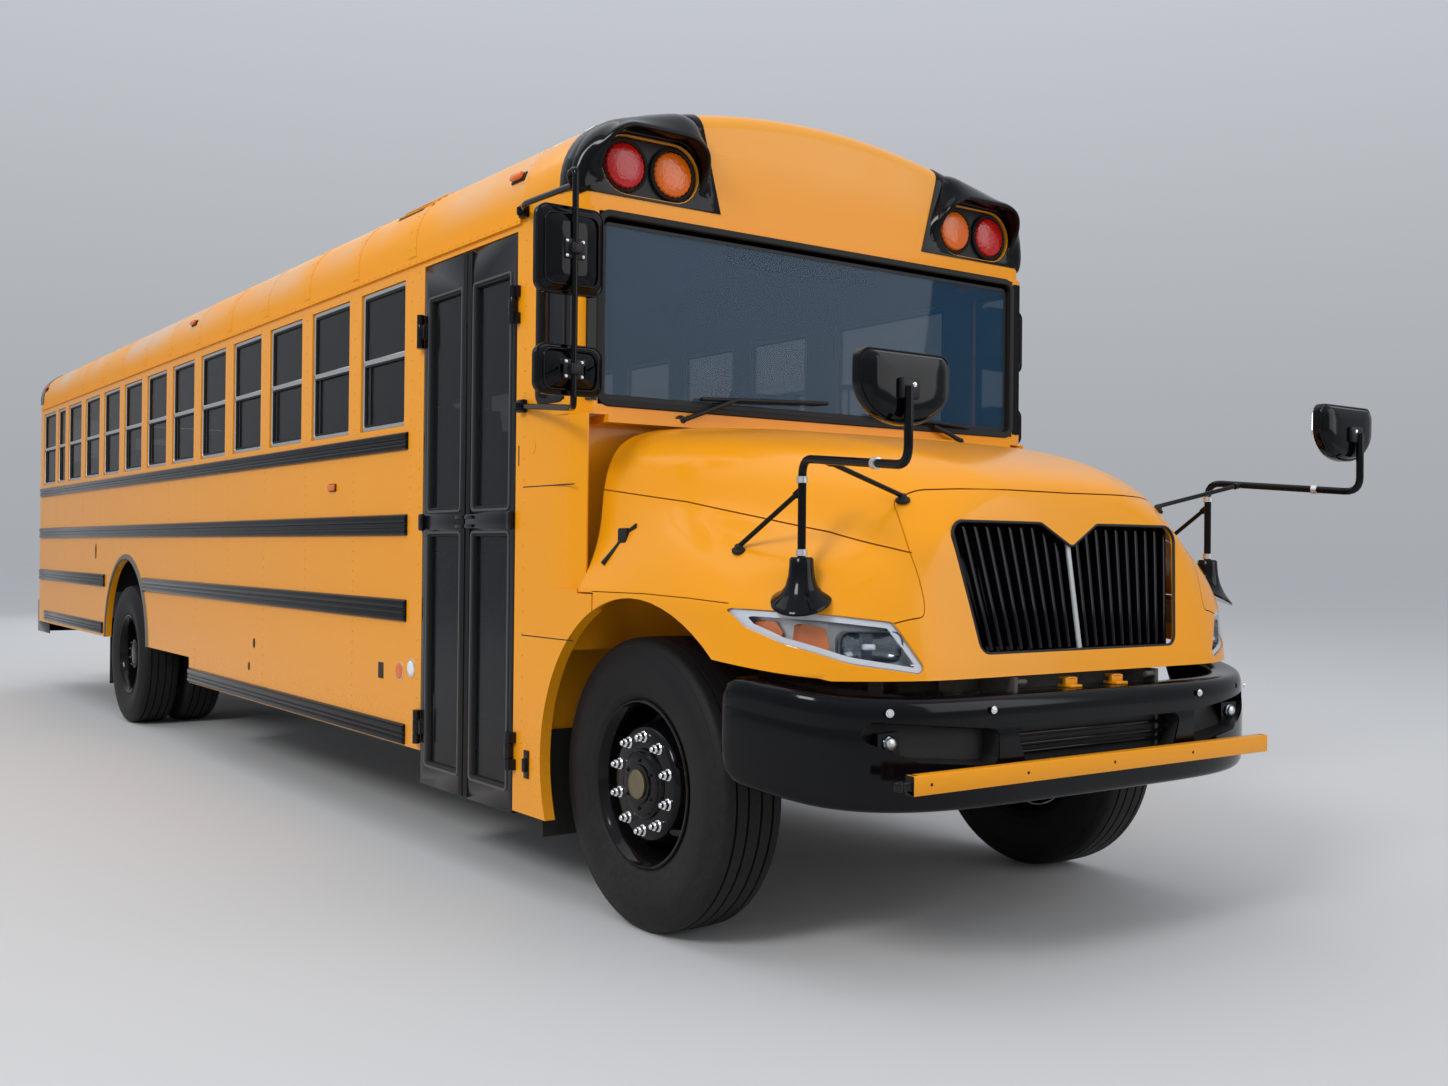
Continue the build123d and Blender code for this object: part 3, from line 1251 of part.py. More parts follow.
# Dashboard with the steering column
dash_low = cowl_top_height - 370
dash_top = cowl_top_height - 30
dash = plate_along_y([(cowl_front - 160, dash_low), (cowl_front - 160, dash_top), (cowl_front - 330, dash_top - 10),
                      (cowl_front - 480, dash_top - 80), (cowl_front - 500, dash_low + 140),
                      (cowl_front - 340, dash_low)], -250, inner - 10)
column_low = (cowl_front - 380, driver_y, dash_low + 100)
column_top = (cowl_front - 500, driver_y, dash_top + 6)
dash += bar(column_low, column_top, 26)
save("dashboard", [dash])

wheel_dir = Vector(*column_top) - Vector(*column_low)
wheel_dir = wheel_dir.normalized()
wheel_at = Vector(*column_top) + wheel_dir * seat_gap
wheel_plane = Plane(origin=wheel_at + wheel_dir * 22, z_dir=wheel_dir)
ring = wheel_plane * revolve(Plane.XZ * Pos(220, 0) * RegularPolygon(14, 8), axis=Axis.Z)
boss = Plane(origin=wheel_at, z_dir=wheel_dir) * Cylinder(38, 34, align=(Align.CENTER, Align.CENTER, Align.MIN))
steering_wheel = ring + boss
for angle in (90, 210, 330):
    tip = wheel_plane.from_local_coords((216 * cos(radians(angle)), 216 * sin(radians(angle)), 0))
    steering_wheel += bar(tuple(wheel_plane.origin), tuple(tip), 10)
save("steering_wheel", [steering_wheel])

# Mud flaps behind all wheels
flaps = []
for side in (-1, 1):
    flaps.append(span(front_axle + liner_lead, front_axle + liner_lead + 12, side * 700, side * inner, 240, 655))
    flaps.append(span(rear_axle - 700, rear_axle - 688, side * 640, side * inner, 240, skirt_rear_height + 150))
save("mud_flaps", flaps)

print("overall length", overall_length, "front axle", front_axle, "rear axle", rear_axle)
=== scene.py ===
import json
from math import atan2, cos, pi, radians, sin, sqrt
import bmesh
import bpy
from mathutils import Matrix, Vector
from mathutils.bvhtree import BVHTree

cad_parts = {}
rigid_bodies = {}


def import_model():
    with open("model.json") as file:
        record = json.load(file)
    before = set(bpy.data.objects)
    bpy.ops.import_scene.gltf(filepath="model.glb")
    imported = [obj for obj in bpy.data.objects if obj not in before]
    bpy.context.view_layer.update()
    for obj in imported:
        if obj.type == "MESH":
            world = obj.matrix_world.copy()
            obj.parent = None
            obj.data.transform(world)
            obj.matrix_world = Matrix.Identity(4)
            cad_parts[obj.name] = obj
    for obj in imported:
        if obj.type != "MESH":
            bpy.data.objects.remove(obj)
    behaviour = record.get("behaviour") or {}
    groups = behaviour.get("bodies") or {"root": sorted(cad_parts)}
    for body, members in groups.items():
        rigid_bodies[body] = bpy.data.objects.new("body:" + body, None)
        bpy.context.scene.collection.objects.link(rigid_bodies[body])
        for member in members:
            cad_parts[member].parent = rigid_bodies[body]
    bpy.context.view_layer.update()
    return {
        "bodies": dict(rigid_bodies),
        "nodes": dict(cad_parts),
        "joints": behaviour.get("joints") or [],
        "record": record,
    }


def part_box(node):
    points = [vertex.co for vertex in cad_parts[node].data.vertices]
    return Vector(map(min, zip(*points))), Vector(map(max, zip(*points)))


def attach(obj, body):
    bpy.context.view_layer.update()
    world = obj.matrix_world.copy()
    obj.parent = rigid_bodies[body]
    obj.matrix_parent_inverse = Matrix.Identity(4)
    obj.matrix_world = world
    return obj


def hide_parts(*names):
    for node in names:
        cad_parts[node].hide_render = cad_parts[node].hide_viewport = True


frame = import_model()
nodes = frame["nodes"]
print("frame loaded", len(nodes), "nodes")


def middle(node):
    low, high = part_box(node)
    return (low + high) / 2


# places taken from the frame
frontAxle = middle("front_tyre_right").x
rearAxle = middle("rear_tyres_right").x
axleHeight = middle("front_tyre_right").z
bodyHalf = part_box("rear_wall")[1].y
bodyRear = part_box("rear_wall")[0].x
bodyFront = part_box("front_wall")[1].x
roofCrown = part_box("front_cap")[1].z

# camera: where the photograph was taken from, solved from the wheels and the body corners
cameraSetup = {"fromAxle": (4.2322, -3.8150, 1.3610), "yaw": 144.0867, "pitch": 0.3213, "roll": 0.5674,
               "focalPixels": 1401.5, "photoWidth": 1448, "sensor": 36.0}


def addCamera():
    data = bpy.data.cameras.new("photoCamera")
    data.sensor_width = cameraSetup["sensor"]
    data.lens = cameraSetup["focalPixels"] / cameraSetup["photoWidth"] * cameraSetup["sensor"]
    data.clip_end = 200
    camera = bpy.data.objects.new("photoCamera", data)
    bpy.context.scene.collection.objects.link(camera)
    yaw, pitch, roll = (radians(cameraSetup[k]) for k in ("yaw", "pitch", "roll"))
    forward = Vector((cos(yaw) * cos(pitch), sin(yaw) * cos(pitch), sin(pitch)))
    right = Vector((sin(yaw), -cos(yaw), 0))
    up = right.cross(forward)
    tiltedRight = cos(roll) * right + sin(roll) * up
    tiltedUp = cos(roll) * up - sin(roll) * right
    place = Vector(cameraSetup["fromAxle"]) + Vector((frontAxle, 0, 0))
    camera.matrix_world = Matrix((
        (tiltedRight.x, tiltedUp.x, -forward.x, place.x),
        (tiltedRight.y, tiltedUp.y, -forward.y, place.y),
        (tiltedRight.z, tiltedUp.z, -forward.z, place.z), (0, 0, 0, 1)))
    bpy.context.scene.camera = camera


# studio: pale floor, soft lamps
studio = {"floorHalf": 90, "floorColor": (0.56, 0.56, 0.56), "floorRough": 0.9,
          "horizonColor": (0.48, 0.50, 0.53), "skyColor": (0.88, 0.93, 1.0), "skyStrength": 0.80,
          "skyRise": (-0.05, 0.75),
          "lamps": {"keyLamp": {"power": 1500, "place": (9, -15, 12), "size": 5},
                    "fillLamp": {"power": 420, "place": (15, 6, 6), "size": 8},
                    "topLamp": {"power": 420, "place": (-2, -3, 13), "size": 12},
                    "rearLamp": {"power": 420, "place": (-17, 7, 7), "size": 9}}}


def addLamp(name, place, size, power, target=(0, 0, 1.2)):
    data = bpy.data.lights.new(name, "AREA")
    data.shape = "SQUARE"
    data.size = size
    data.energy = power
    lamp = bpy.data.objects.new(name, data)
    lamp.location = place
    lamp.rotation_euler = (Vector(target) - Vector(place)).to_track_quat("-Z", "Y").to_euler()
    bpy.context.scene.collection.objects.link(lamp)


def fill(node, inputs):
    # sets the inputs of a node, or links them where the value is another node's socket
    for key, value in inputs.items():
        if isinstance(value, bpy.types.NodeSocket):
            node.id_data.links.new(value, node.inputs[key])
        else:
            node.inputs[key].default_value = value


def nodeTools(tree):
    # two functions for one tree: add makes a node with its settings and inputs, calc works out a number
    def add(kind, inputs=None, **settings):
        node = tree.nodes.new(kind)
        for key, value in settings.items():
            setattr(node, key, value)
        fill(node, inputs or {})
        return node

    def calc(operation, *values, **settings):
        return add("ShaderNodeMath", dict(enumerate(values)), operation=operation, **settings).outputs[0]

    return add, calc


def shadeWorld(tree):
    # plain backdrop that darkens toward the ground
    add = nodeTools(tree)[0]
    split = add("ShaderNodeSeparateXYZ", {0: add("ShaderNodeTexCoord").outputs["Generated"]})
    low, high = studio["skyRise"]
    rise = add("ShaderNodeMapRange", {"From Min": low, "From Max": high, "Value": split.outputs["Z"]},
               interpolation_type="SMOOTHSTEP")
    grade = add("ShaderNodeMix", {"A": (*studio["horizonColor"], 1), "B": (*studio["skyColor"], 1),
                                  "Factor": rise.outputs["Result"]}, data_type="RGBA")
    fill(tree.nodes["Background"], {"Color": grade.outputs["Result"], "Strength": studio["skyStrength"]})


def addStudio():
    scene = bpy.context.scene
    scene.view_settings.view_transform = "Standard"
    world = bpy.data.worlds.new("studioWorld")
    world.use_nodes = True
    shadeWorld(world.node_tree)
    scene.world = world
    for name, lamp in studio["lamps"].items():
        addLamp(name, **lamp)
    half = studio["floorHalf"]
    corners = [(-half, -half, 0), (half, -half, 0), (half, half, 0), (-half, half, 0)]
    mesh = bpy.data.meshes.new("studioFloor")
    mesh.from_pydata(corners, [], [(0, 1, 2, 3)])
    floor = bpy.data.objects.new("studioFloor", mesh)
    scene.collection.objects.link(floor)
    mat = bpy.data.materials.new("paleFloor")
    mat.use_nodes = True
    fill(mat.node_tree.nodes["Principled BSDF"],
         {"Base Color": (*studio["floorColor"], 1), "Roughness": studio["floorRough"]})
    mesh.materials.append(mat)


addCamera()
addStudio()
print("camera and studio set")


def nodeGroup(name, family, inputs, outputs):
    # empty group with its sockets, as rows of a label, a kind of socket and sometimes a value
    tree = bpy.data.node_groups.new(name, family)
    for way, rows in (("INPUT", inputs), ("OUTPUT", outputs)):
        for label, kind, *value in rows:
            socket = tree.interface.new_socket(label, in_out=way, socket_type="NodeSocket" + kind)
            if value:
                socket.default_value = value[0]
    given = tree.nodes.new("NodeGroupInput").outputs
    return *nodeTools(tree), given, tree.nodes.new("NodeGroupOutput")


dustLook = {"color": (0.32, 0.27, 0.21, 1), "fullHeight": 0.25, "patchScale": 3.2, "patchDetail": 6,
            "speckScale": 60, "gain": 4, "roughen": 0.5}


def makeDustGroup():
    d = dustLook
    add, calc, given, out = nodeGroup("roadDust", "ShaderNodeTree", [
        ("Base", "Color"), ("Dust", "Color", d["color"]), ("Clean Height", "Float"), ("Amount", "Float"),
        ("Roughness", "Float")], [("Color", "Color"), ("Roughness", "Float")])
    place = add("ShaderNodeTexCoord").outputs["Object"]
    height = add("ShaderNodeSeparateXYZ", {0: place}).outputs["Z"]
    fall = add("ShaderNodeMapRange", {"Value": height, "From Min": given["Clean Height"],
                                      "From Max": d["fullHeight"]})
    patch = add("ShaderNodeTexNoise", {"Scale": d["patchScale"], "Detail": d["patchDetail"], "Vector": place})
    speck = add("ShaderNodeTexNoise", {"Scale": d["speckScale"], "Vector": place})
    settled = calc("MULTIPLY", fall.outputs["Result"], patch.outputs["Fac"])
    settled = calc("MULTIPLY", settled, speck.outputs["Fac"])
    strength = calc("MULTIPLY", given["Amount"], d["gain"])
    settled = calc("MULTIPLY", settled, strength, use_clamp=True)
    blend = add("ShaderNodeMix", {"Factor": settled, "A": given["Base"], "B": given["Dust"]},
                data_type="RGBA")
    rough = calc("MULTIPLY_ADD", settled, d["roughen"], given["Roughness"], use_clamp=True)
    fill(out, {"Color": blend.outputs["Result"], "Roughness": rough})
    return out.id_data


dustGroup = makeDustGroup()


def makeBumpGroup():
    add, calc, given, out = nodeGroup("surfaceGrain", "ShaderNodeTree", [
        ("Scale", "Float"), ("Depth", "Float"), ("Wave Scale", "Float"), ("Wave Depth", "Float")],
        [("Normal", "Vector")])
    place = add("ShaderNodeTexCoord").outputs["Object"]
    heights = []
    for scale, depth in (("Scale", "Depth"), ("Wave Scale", "Wave Depth")):
        noise = add("ShaderNodeTexNoise", {"Detail": 2, "Vector": place, "Scale": given[scale]})
        heights.append(calc("MULTIPLY", noise.outputs["Fac"], given[depth]))
    bump = add("ShaderNodeBump", {"Distance": 1.0, "Height": calc("ADD", *heights)})
    fill(out, {"Normal": bump.outputs["Normal"]})
    return out.id_data


grainGroup = makeBumpGroup()


def makeFadeGroup():
    add, calc, given, out = nodeGroup("sunFade", "ShaderNodeTree", [
        ("Fresh", "Color"), ("Faded", "Color"), ("Low", "Float"), ("High", "Float"), ("Amount", "Float")],
        [("Color", "Color")])
    place = add("ShaderNodeTexCoord").outputs["Object"]
    height = add("ShaderNodeSeparateXYZ", {0: place}).outputs["Z"]
    rise = add("ShaderNodeMapRange", {"Value": height, "From Min": given["Low"], "From Max": given["High"]},
               interpolation_type="SMOOTHSTEP")
    cloud = add("ShaderNodeTexNoise", {"Scale": 0.9, "Detail": 5, "Vector": place})
    spread = add("ShaderNodeMapRange", {"From Min": 0.32, "From Max": 0.62, "Value": cloud.outputs["Fac"]})
    amount = calc("MULTIPLY", rise.outputs["Result"], spread.outputs["Result"])
    amount = calc("MULTIPLY", amount, given["Amount"])
    blend = add("ShaderNodeMix", {"Factor": amount, "A": given["Fresh"], "B": given["Faded"]},
                data_type="RGBA")
    fill(out, {"Color": blend.outputs["Result"]})
    return out.id_data


fadeGroup = makeFadeGroup()

# finishes: color, roughness, metal, coat, dust (amount, clean height), grain (scale, depth, wave scale,
# wave depth)
finishes = {
    "busYellow": {"color": (0.84, 0.318, 0.005), "rough": 0.26, "shine": 0.22, "coat": 0.14,
                  "dust": (0.06, 0.9),
                  "grain": (420, 0.00001, 1.3, 0.0003), "fade": ((0.86, 0.47, 0.16), 2.78, 3.0, 0.30)},
    "roofYellow": {"color": (0.84, 0.318, 0.005), "rough": 0.48, "shine": 0.22, "dust": (0, 0.9),
                   "grain": (420, 0.00001, 1.3, 0), "fade": ((0.66, 0.45, 0.30), 2.70, 2.90, 1.0)},
    "armYellow": {"color": (0.84, 0.318, 0.005), "rough": 0.34, "shine": 0.22, "dust": (0, 0.9),
                  "grain": (420, 0, 1.3, 0)},
    "blackPaint": {"color": (0.005, 0.005, 0.006), "rough": 0.20, "shine": 0.18, "coat": 0.10,
                   "dust": (0.03, 0.9),
                   "grain": (300, 0.00003, 2, 0.0006)},
    "glossBlack": {"color": (0.002, 0.002, 0.003), "rough": 0.12, "shine": 0.14, "coat": 0.10,
                   "dust": (0.008, 0.8),
                   "grain": (300, 0.00001, 2, 0.0004)},
    "blackPlastic": {"color": (0.009, 0.009, 0.010), "rough": 0.42, "shine": 0.25, "dust": (0.04, 1.0),
                     "grain": (900, 0.00010, 2, 0)},
    # dark grey pane frames, the grey raised to stand in for their glossy sheen: own colour and painted sheen
    "frameGreyAndSheen": {"color": (0.040, 0.043, 0.048), "rough": 0.30, "dust": (0.03, 1.0),
                  "grain": (600, 0.00004, 2, 0)},
    "rubber": {"color": (0.009, 0.009, 0.009), "rough": 0.6, "shine": 0.3, "dust": (0.05, 1.2),
               "grain": (500, 0.0001, 2, 0)},
    "archRubber": {"color": (0.13, 0.115, 0.095), "rough": 0.6, "dust": (0.25, 1.5),
                   "grain": (500, 0.0001, 2, 0)},
    "tyreRubber": {"color": (0.006, 0.006, 0.007), "rough": 0.58, "shine": 0.20, "dust": (0.03, 1.2),
                   "grain": (260, 0.00012, 6, 0.0006)},
    "aluminium": {"color": (0.62, 0.63, 0.64), "rough": 0.35, "metal": 1.0, "dust": (0.1, 1),
                  "grain": (700, 0.00004, 2, 0)},
    "smokedChrome": {"color": (0.20, 0.22, 0.25), "rough": 0.16, "metal": 1.0, "dust": (0.01, 1),
                     "grain": (60, 0.0016, 2, 0)},
    "chrome": {"color": (0.86, 0.87, 0.88), "rough": 0.10, "metal": 1.0, "dust": (0.05, 1),
               "grain": (200, 0.00001, 2, 0)},
    "bronze": {"color": (0.20, 0.17, 0.09), "rough": 0.4, "metal": 0.9, "dust": (0.2, 1.2),
               "grain": (160, 0.0002, 3, 0)},
    "chassisBlack": {"color": (0.014, 0.014, 0.014), "rough": 0.5, "dust": (0.35, 1.3),
                     "grain": (240, 0.0002, 3, 0)},
    "castIron": {"color": (0.05, 0.05, 0.05), "rough": 0.65, "metal": 0.4, "dust": (0.3, 1.5),
                 "grain": (180, 0.0008, 3, 0)},
    "exhaustSteel": {"color": (0.26, 0.21, 0.17), "rough": 0.55, "metal": 0.8, "dust": (0.4, 1.3),
                     "grain": (90, 0.0006, 3, 0)},
    "floorRubber": {"color": (0.030, 0.030, 0.034), "rough": 0.7, "dust": (0.2, 1.2),
                    "grain": (260, 0.0002, 3, 0)},
    "vinyl": {"color": (0.016, 0.022, 0.040), "rough": 0.42, "dust": (0.05, 1),
              "grain": (1500, 0.00012, 5, 0.001)},
    "signRed": {"color": (0.50, 0.012, 0.012), "rough": 0.35, "coat": 0.4, "dust": (0.05, 1),
                "grain": (400, 0.00003, 2, 0)},
    "lensRed": {"color": (0.46, 0.006, 0.005), "rough": 0.16, "shine": 0.4, "coat": 0.15, "dust": (0.02, 1),
                "grain": (70, 0.0022, 2, 0)},
    "lensAmber": {"color": (0.72, 0.135, 0.004), "rough": 0.16, "shine": 0.4, "coat": 0.15, "dust": (0.02, 1),
                  "grain": (70, 0.0022, 2, 0)},
    "lensPeach": {"color": (0.80, 0.235, 0.075), "rough": 0.16, "coat": 0.3, "dust": (0.02, 1),
                  "grain": (70, 0.0022, 2, 0)},
    "lensWhite": {"color": (0.80, 0.80, 0.78), "rough": 0.14, "coat": 0.5, "dust": (0.02, 1),
                  "grain": (90, 0.002, 2, 0)},
    "lampWhite": {"color": (0.80, 0.86, 0.95), "rough": 0.30, "dust": (0.02, 1),
                  "grain": (120, 0.0010, 2, 0)},
    "hatchWhite": {"color": (0.58, 0.59, 0.58), "rough": 0.45, "shine": 0.3, "dust": (0.02, 1),
                   "grain": (300, 0.00005, 2, 0)},
    "liningGrey": {"color": (0.22, 0.23, 0.24), "rough": 0.50, "dust": (0.05, 1), "grain": (300, 0, 2, 0)},
}
glasses = {
    "sideGlass": {"color": (0.010, 0.012, 0.014), "alpha": 0.54, "rough": 0.03, "ior": 1.34},
    "windshieldGlass": {"color": (0.006, 0.052, 0.115), "alpha": 0.44, "rough": 0.02, "ior": 1.40},
    "clearGlass": {"color": (0.02, 0.03, 0.04), "alpha": 0.10, "rough": 0.03, "ior": 1.50},
}
materials = {}


def makeFinish(name):
    f = finishes[name]
    mat = bpy.data.materials.new(name)
    mat.use_nodes = True
    add = nodeTools(mat.node_tree)[0]
    color = (*f["color"], 1)
    amount, cleanHeight = f["dust"]
    dust = add("ShaderNodeGroup", {"Base": color, "Amount": amount, "Clean Height": cleanHeight,
                                   "Roughness": f["rough"]}, node_tree=dustGroup)
    if "fade" in f:
        faded, low, high, share = f["fade"]
        fade = add("ShaderNodeGroup", {"Fresh": color, "Faded": (*faded, 1), "Low": low, "High": high,
                                       "Amount": share}, node_tree=fadeGroup)
        fill(dust, {"Base": fade.outputs["Color"]})
    grain = add("ShaderNodeGroup", dict(zip(("Scale", "Depth", "Wave Scale", "Wave Depth"), f["grain"])),
                node_tree=grainGroup)
    fill(mat.node_tree.nodes["Principled BSDF"], {
        "Metallic": f.get("metal", 0), "Specular IOR Level": f.get("shine", 0.5),
        "Coat Weight": f.get("coat", 0), "Coat Roughness": 0.06, "Base Color": dust.outputs["Color"],
        "Roughness": dust.outputs["Roughness"], "Normal": grain.outputs["Normal"]})
    materials[name] = mat


def makeGlass(name):
    g = glasses[name]
    mat = bpy.data.materials.new(name)
    mat.use_nodes = True
    fill(mat.node_tree.nodes["Principled BSDF"], {"Base Color": (*g["color"], 1), "Roughness": g["rough"],
                                                  "Alpha": g["alpha"], "IOR": g["ior"]})
    materials[name] = mat


for name in finishes:
    makeFinish(name)
for name in glasses:
    makeGlass(name)


# mesh helpers
def ahead(lead):
    return frontAxle + lead


def between(lead0, lead1):
    return ahead(lead0), ahead(lead1)


def linked(name, mesh):
    obj = bpy.data.objects.new(name, mesh)
    bpy.context.scene.collection.objects.link(obj)
    return obj


def makeMesh(name, points, faces, finish=None):
    mesh = bpy.data.meshes.new(name)
    mesh.from_pydata([tuple(p) for p in points], [], faces)
    if finish:
        mesh.materials.append(materials[finish])
    return linked(name, mesh)


def outward(obj):
    work = bmesh.new()
    work.from_mesh(obj.data)
    bmesh.ops.remove_doubles(work, verts=work.verts, dist=0.00002)
    bmesh.ops.recalc_face_normals(work, faces=work.faces)
    work.to_mesh(obj.data)
    work.free()


def settle(obj):
    bpy.context.view_layer.update()
    graph = bpy.context.evaluated_depsgraph_get()
    mesh = bpy.data.meshes.new_from_object(obj.evaluated_get(graph))
    obj.modifiers.clear()
    obj.data = mesh
    mesh.name = obj.name


def carve(obj, cutter, operation="DIFFERENCE"):
    cut = obj.modifiers.new("cut", "BOOLEAN")
    cut.operation = operation
    cut.solver = "EXACT"
    cut.object = cutter
    settle(obj)
    bpy.data.objects.remove(cutter)


def subdivided(obj, levels):
    mod = obj.modifiers.new("smooth", "SUBSURF")
    mod.levels = mod.render_levels = levels
    settle(obj)
    return obj


def walled(obj, thick):
    # gives an open skin a wall on its inner side
    mod = obj.modifiers.new("skin", "SOLIDIFY")
    mod.thickness = thick
    mod.offset = -1
    settle(obj)
    return obj


def smooth(obj, angle=35):
    obj.data.shade_smooth()
    obj.data.set_sharp_from_angle(angle=radians(angle))


def bevelled(obj, width, segments=2, angle=35):
    mod = obj.modifiers.new("edges", "BEVEL")
    mod.width = width
    mod.segments = segments
    mod.limit_method = "ANGLE"
    mod.angle_limit = radians(angle)
    mod.harden_normals = False
    settle(obj)
    smooth(obj, 42)


def joined(name, objs):
    bpy.ops.object.select_all(action="DESELECT")
    for obj in objs:
        obj.select_set(True)
    bpy.context.view_layer.objects.active = objs[0]
    bpy.ops.object.join()
    whole = bpy.context.view_layer.objects.active
    whole.name = name
    whole.data.name = name
    whole.select_set(False)
    return whole


def fitted(obj, body, slot, *replaced):
    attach(obj, body)
    if replaced:
        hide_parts(*replaced)
    return obj


def loftRings(name, rings, finish, closed=True, caps=True, soft=None):
    # skin through rings of points; soft is the angle up to which its edges are shaded smooth
    size = len(rings[0])
    points = [p for ring in rings for p in ring]
    faces = []
    span = size if closed else size - 1
    for row in range(len(rings) - 1):
        for col in range(span):
            a = row * size + col
            b = row * size + (col + 1) % size
            faces.append((a, b, b + size, a + size))
    if caps and closed:
        faces.append(tuple(reversed(range(size))))
        faces.append(tuple(range((len(rings) - 1) * size, len(rings) * size)))
    obj = makeMesh(name, points, faces, finish)
    if closed:
        outward(obj)
    if soft:
        smooth(obj, soft)
    return obj


def turns(count, shift=0.0):
    return [2 * pi * (step + shift) / count for step in range(count)]


def spun(name, profile, finish, sides=64, centre=(0, 0, 0), closed=True, soft=None):
    # profile of (radius, y) points turned about the Y axis
    x, y, z = centre
    rings = [[(x + r * cos(turn), y + out, z + r * sin(turn)) for r, out in profile] for turn in turns(sides)]
    rings.append(rings[0])
    obj = loftRings(name, rings, finish, closed=closed, caps=False)
    outward(obj)
    if soft:
        smooth(obj, soft)
    return obj


def prismX(name, outline, lead0, lead1):
    rings = [[(ahead(lead), y, z) for y, z in outline] for lead in (lead0, lead1)]
    return loftRings(name, rings, None)


def prismY(name, outline, y0, y1, finish=None):
    rings = [[(x, y, z) for x, z in outline] for y in (y0, y1)]
    return loftRings(name, rings, finish)


def slab(name, finish, xs, ys, zs, bevel=0.0, segments=2):
    # box between two limits each way, given in any order, with eased edges where it has a bevel
    (x0, x1), (y0, y1), (z0, z1) = (sorted(pair) for pair in (xs, ys, zs))
    piece = prismY(name, [(x0, z0), (x1, z0), (x1, z1), (x0, z1)], y0, y1, finish)
    if bevel:
        bevelled(piece, bevel, segments)
    return piece


def near(middle, half):
    return middle - half, middle + half


def eased(points, radii, steps=6):
    # outline with each corner turned into an arc
    out = []
    count = len(points)
    for i in range(count):
        here = Vector(points[i])
        back = (Vector(points[i - 1]) - here).normalized()
        on = (Vector(points[(i + 1) % count]) - here).normalized()
        radius = radii[i] if isinstance(radii, (list, tuple)) else radii
        if radius <= 0:
            out.append(tuple(here))
            continue
        halfTurn = back.angle(on) / 2
        centre = here + (back + on).normalized() * radius / sin(halfTurn)
        start = here + back * radius / (sin(halfTurn) / cos(halfTurn)) - centre
        end = here + on * radius / (sin(halfTurn) / cos(halfTurn)) - centre
        for step in range(steps + 1):
            spoke = start.lerp(end, step / steps).normalized() * radius
            out.append(tuple(centre + spoke))
    return out


def roundedRect(a0, b0, a1, b1, radius, steps=6):
    return eased([(a0, b0), (a1, b0), (a1, b1), (a0, b1)], radius, steps)


def thickLine(points, width):
    # closed outline that follows a run of flat points at half the width to each side
    pts = [Vector(p) for p in points]
    left, right = [], []
    for i, p in enumerate(pts):
        back = (p - pts[i - 1]) if i else (pts[1] - p)
        on = (pts[i + 1] - p) if i + 1 < len(pts) else (p - pts[i - 1])
        along = (back.normalized() + on.normalized()).normalized()
        side = Vector((-along.y, along.x)) * width / 2
        left.append(tuple(p + side))
        right.append(tuple(p - side))
    return left + right[::-1]


def tube(name, points, radius, finish, bend=0.04, sides=10, closed=False):
    # round bar through points, corners turned into arcs
    curve = bpy.data.curves.new(name, "CURVE")
    curve.dimensions = "3D"
    run = eased3(points, bend) if not closed else [Vector(p) for p in points]
    spline = curve.splines.new("POLY")
    spline.points.add(len(run) - 1)
    for slot, point in zip(spline.points, run):
        slot.co = (*point, 1)
    spline.use_cyclic_u = closed
    curve.bevel_depth = radius
    curve.bevel_resolution = max(1, sides // 4)
    curve.use_fill_caps = True
    holder = bpy.data.objects.new(name, curve)
    bpy.context.scene.collection.objects.link(holder)
    bpy.context.view_layer.update()
    graph = bpy.context.evaluated_depsgraph_get()
    mesh = bpy.data.meshes.new_from_object(holder.evaluated_get(graph))
    bpy.data.objects.remove(holder)
    mesh.materials.clear()
    mesh.materials.append(materials[finish])
    obj = linked(name, mesh)
    outward(obj)
    smooth(obj, 50)
    return obj


def eased3(points, bend, steps=6):
    pts = [Vector(p) for p in points]
    out = [pts[0]]
    for i in range(1, len(pts) - 1):
        here, back, on = pts[i], pts[i - 1] - pts[i], pts[i + 1] - pts[i]
        reach = min(bend, 0.45 * back.length, 0.45 * on.length)
        start = here + back.normalized() * reach
        end = here + on.normalized() * reach
        for step in range(steps + 1):
            t = step / steps
            out.append(start * (1 - t) ** 2 + here * 2 * t * (1 - t) + end * t * t)
    out.append(pts[-1])
    return out


def lensPiece(name, centre, facing, radius, finish, scallops=0, dome=0.024):
    # domed lens that looks along X, with a scalloped edge where it has one
    rows = [(1.0, 0.0), (1.0, 0.25), (0.94, 0.52), (0.80, 0.70), (0.62, 0.82), (0.40, 0.93), (0.20, 0.98)]
    rings = []
    for share, rise in rows:
        ring = []
        for step, turn in enumerate(turns(max(24, scallops * 3))):
            wave = 1 - (0.035 * (step % 3 == 0) if scallops and share > 0.85 else 0)
            reach = radius * share * wave
            ring.append((centre[0] + facing * rise * dome, centre[1] + reach * cos(turn),
                         centre[2] + reach * sin(turn)))
        rings.append(ring)
    return loftRings(name, rings, finish, soft=30)


def dressed(name, node, finish, bevel=0.0, angle=35):
    # copy of a CAD node with joined corners, for pieces whose edges get rounded
    obj = linked(name, nodes[node].data.copy())
    obj.data.materials.clear()
    obj.data.materials.append(materials[finish])
    work = bmesh.new()
    work.from_mesh(obj.data)
    bmesh.ops.remove_doubles(work, verts=work.verts, dist=0.00005)
    bmesh.ops.dissolve_limit(work, angle_limit=radians(1), verts=work.verts, edges=work.edges)
    work.to_mesh(obj.data)
    work.free()
    if bevel:
        bevelled(obj, bevel, 2, angle)
    else:
        smooth(obj, angle)
    return obj


print("helpers ready")

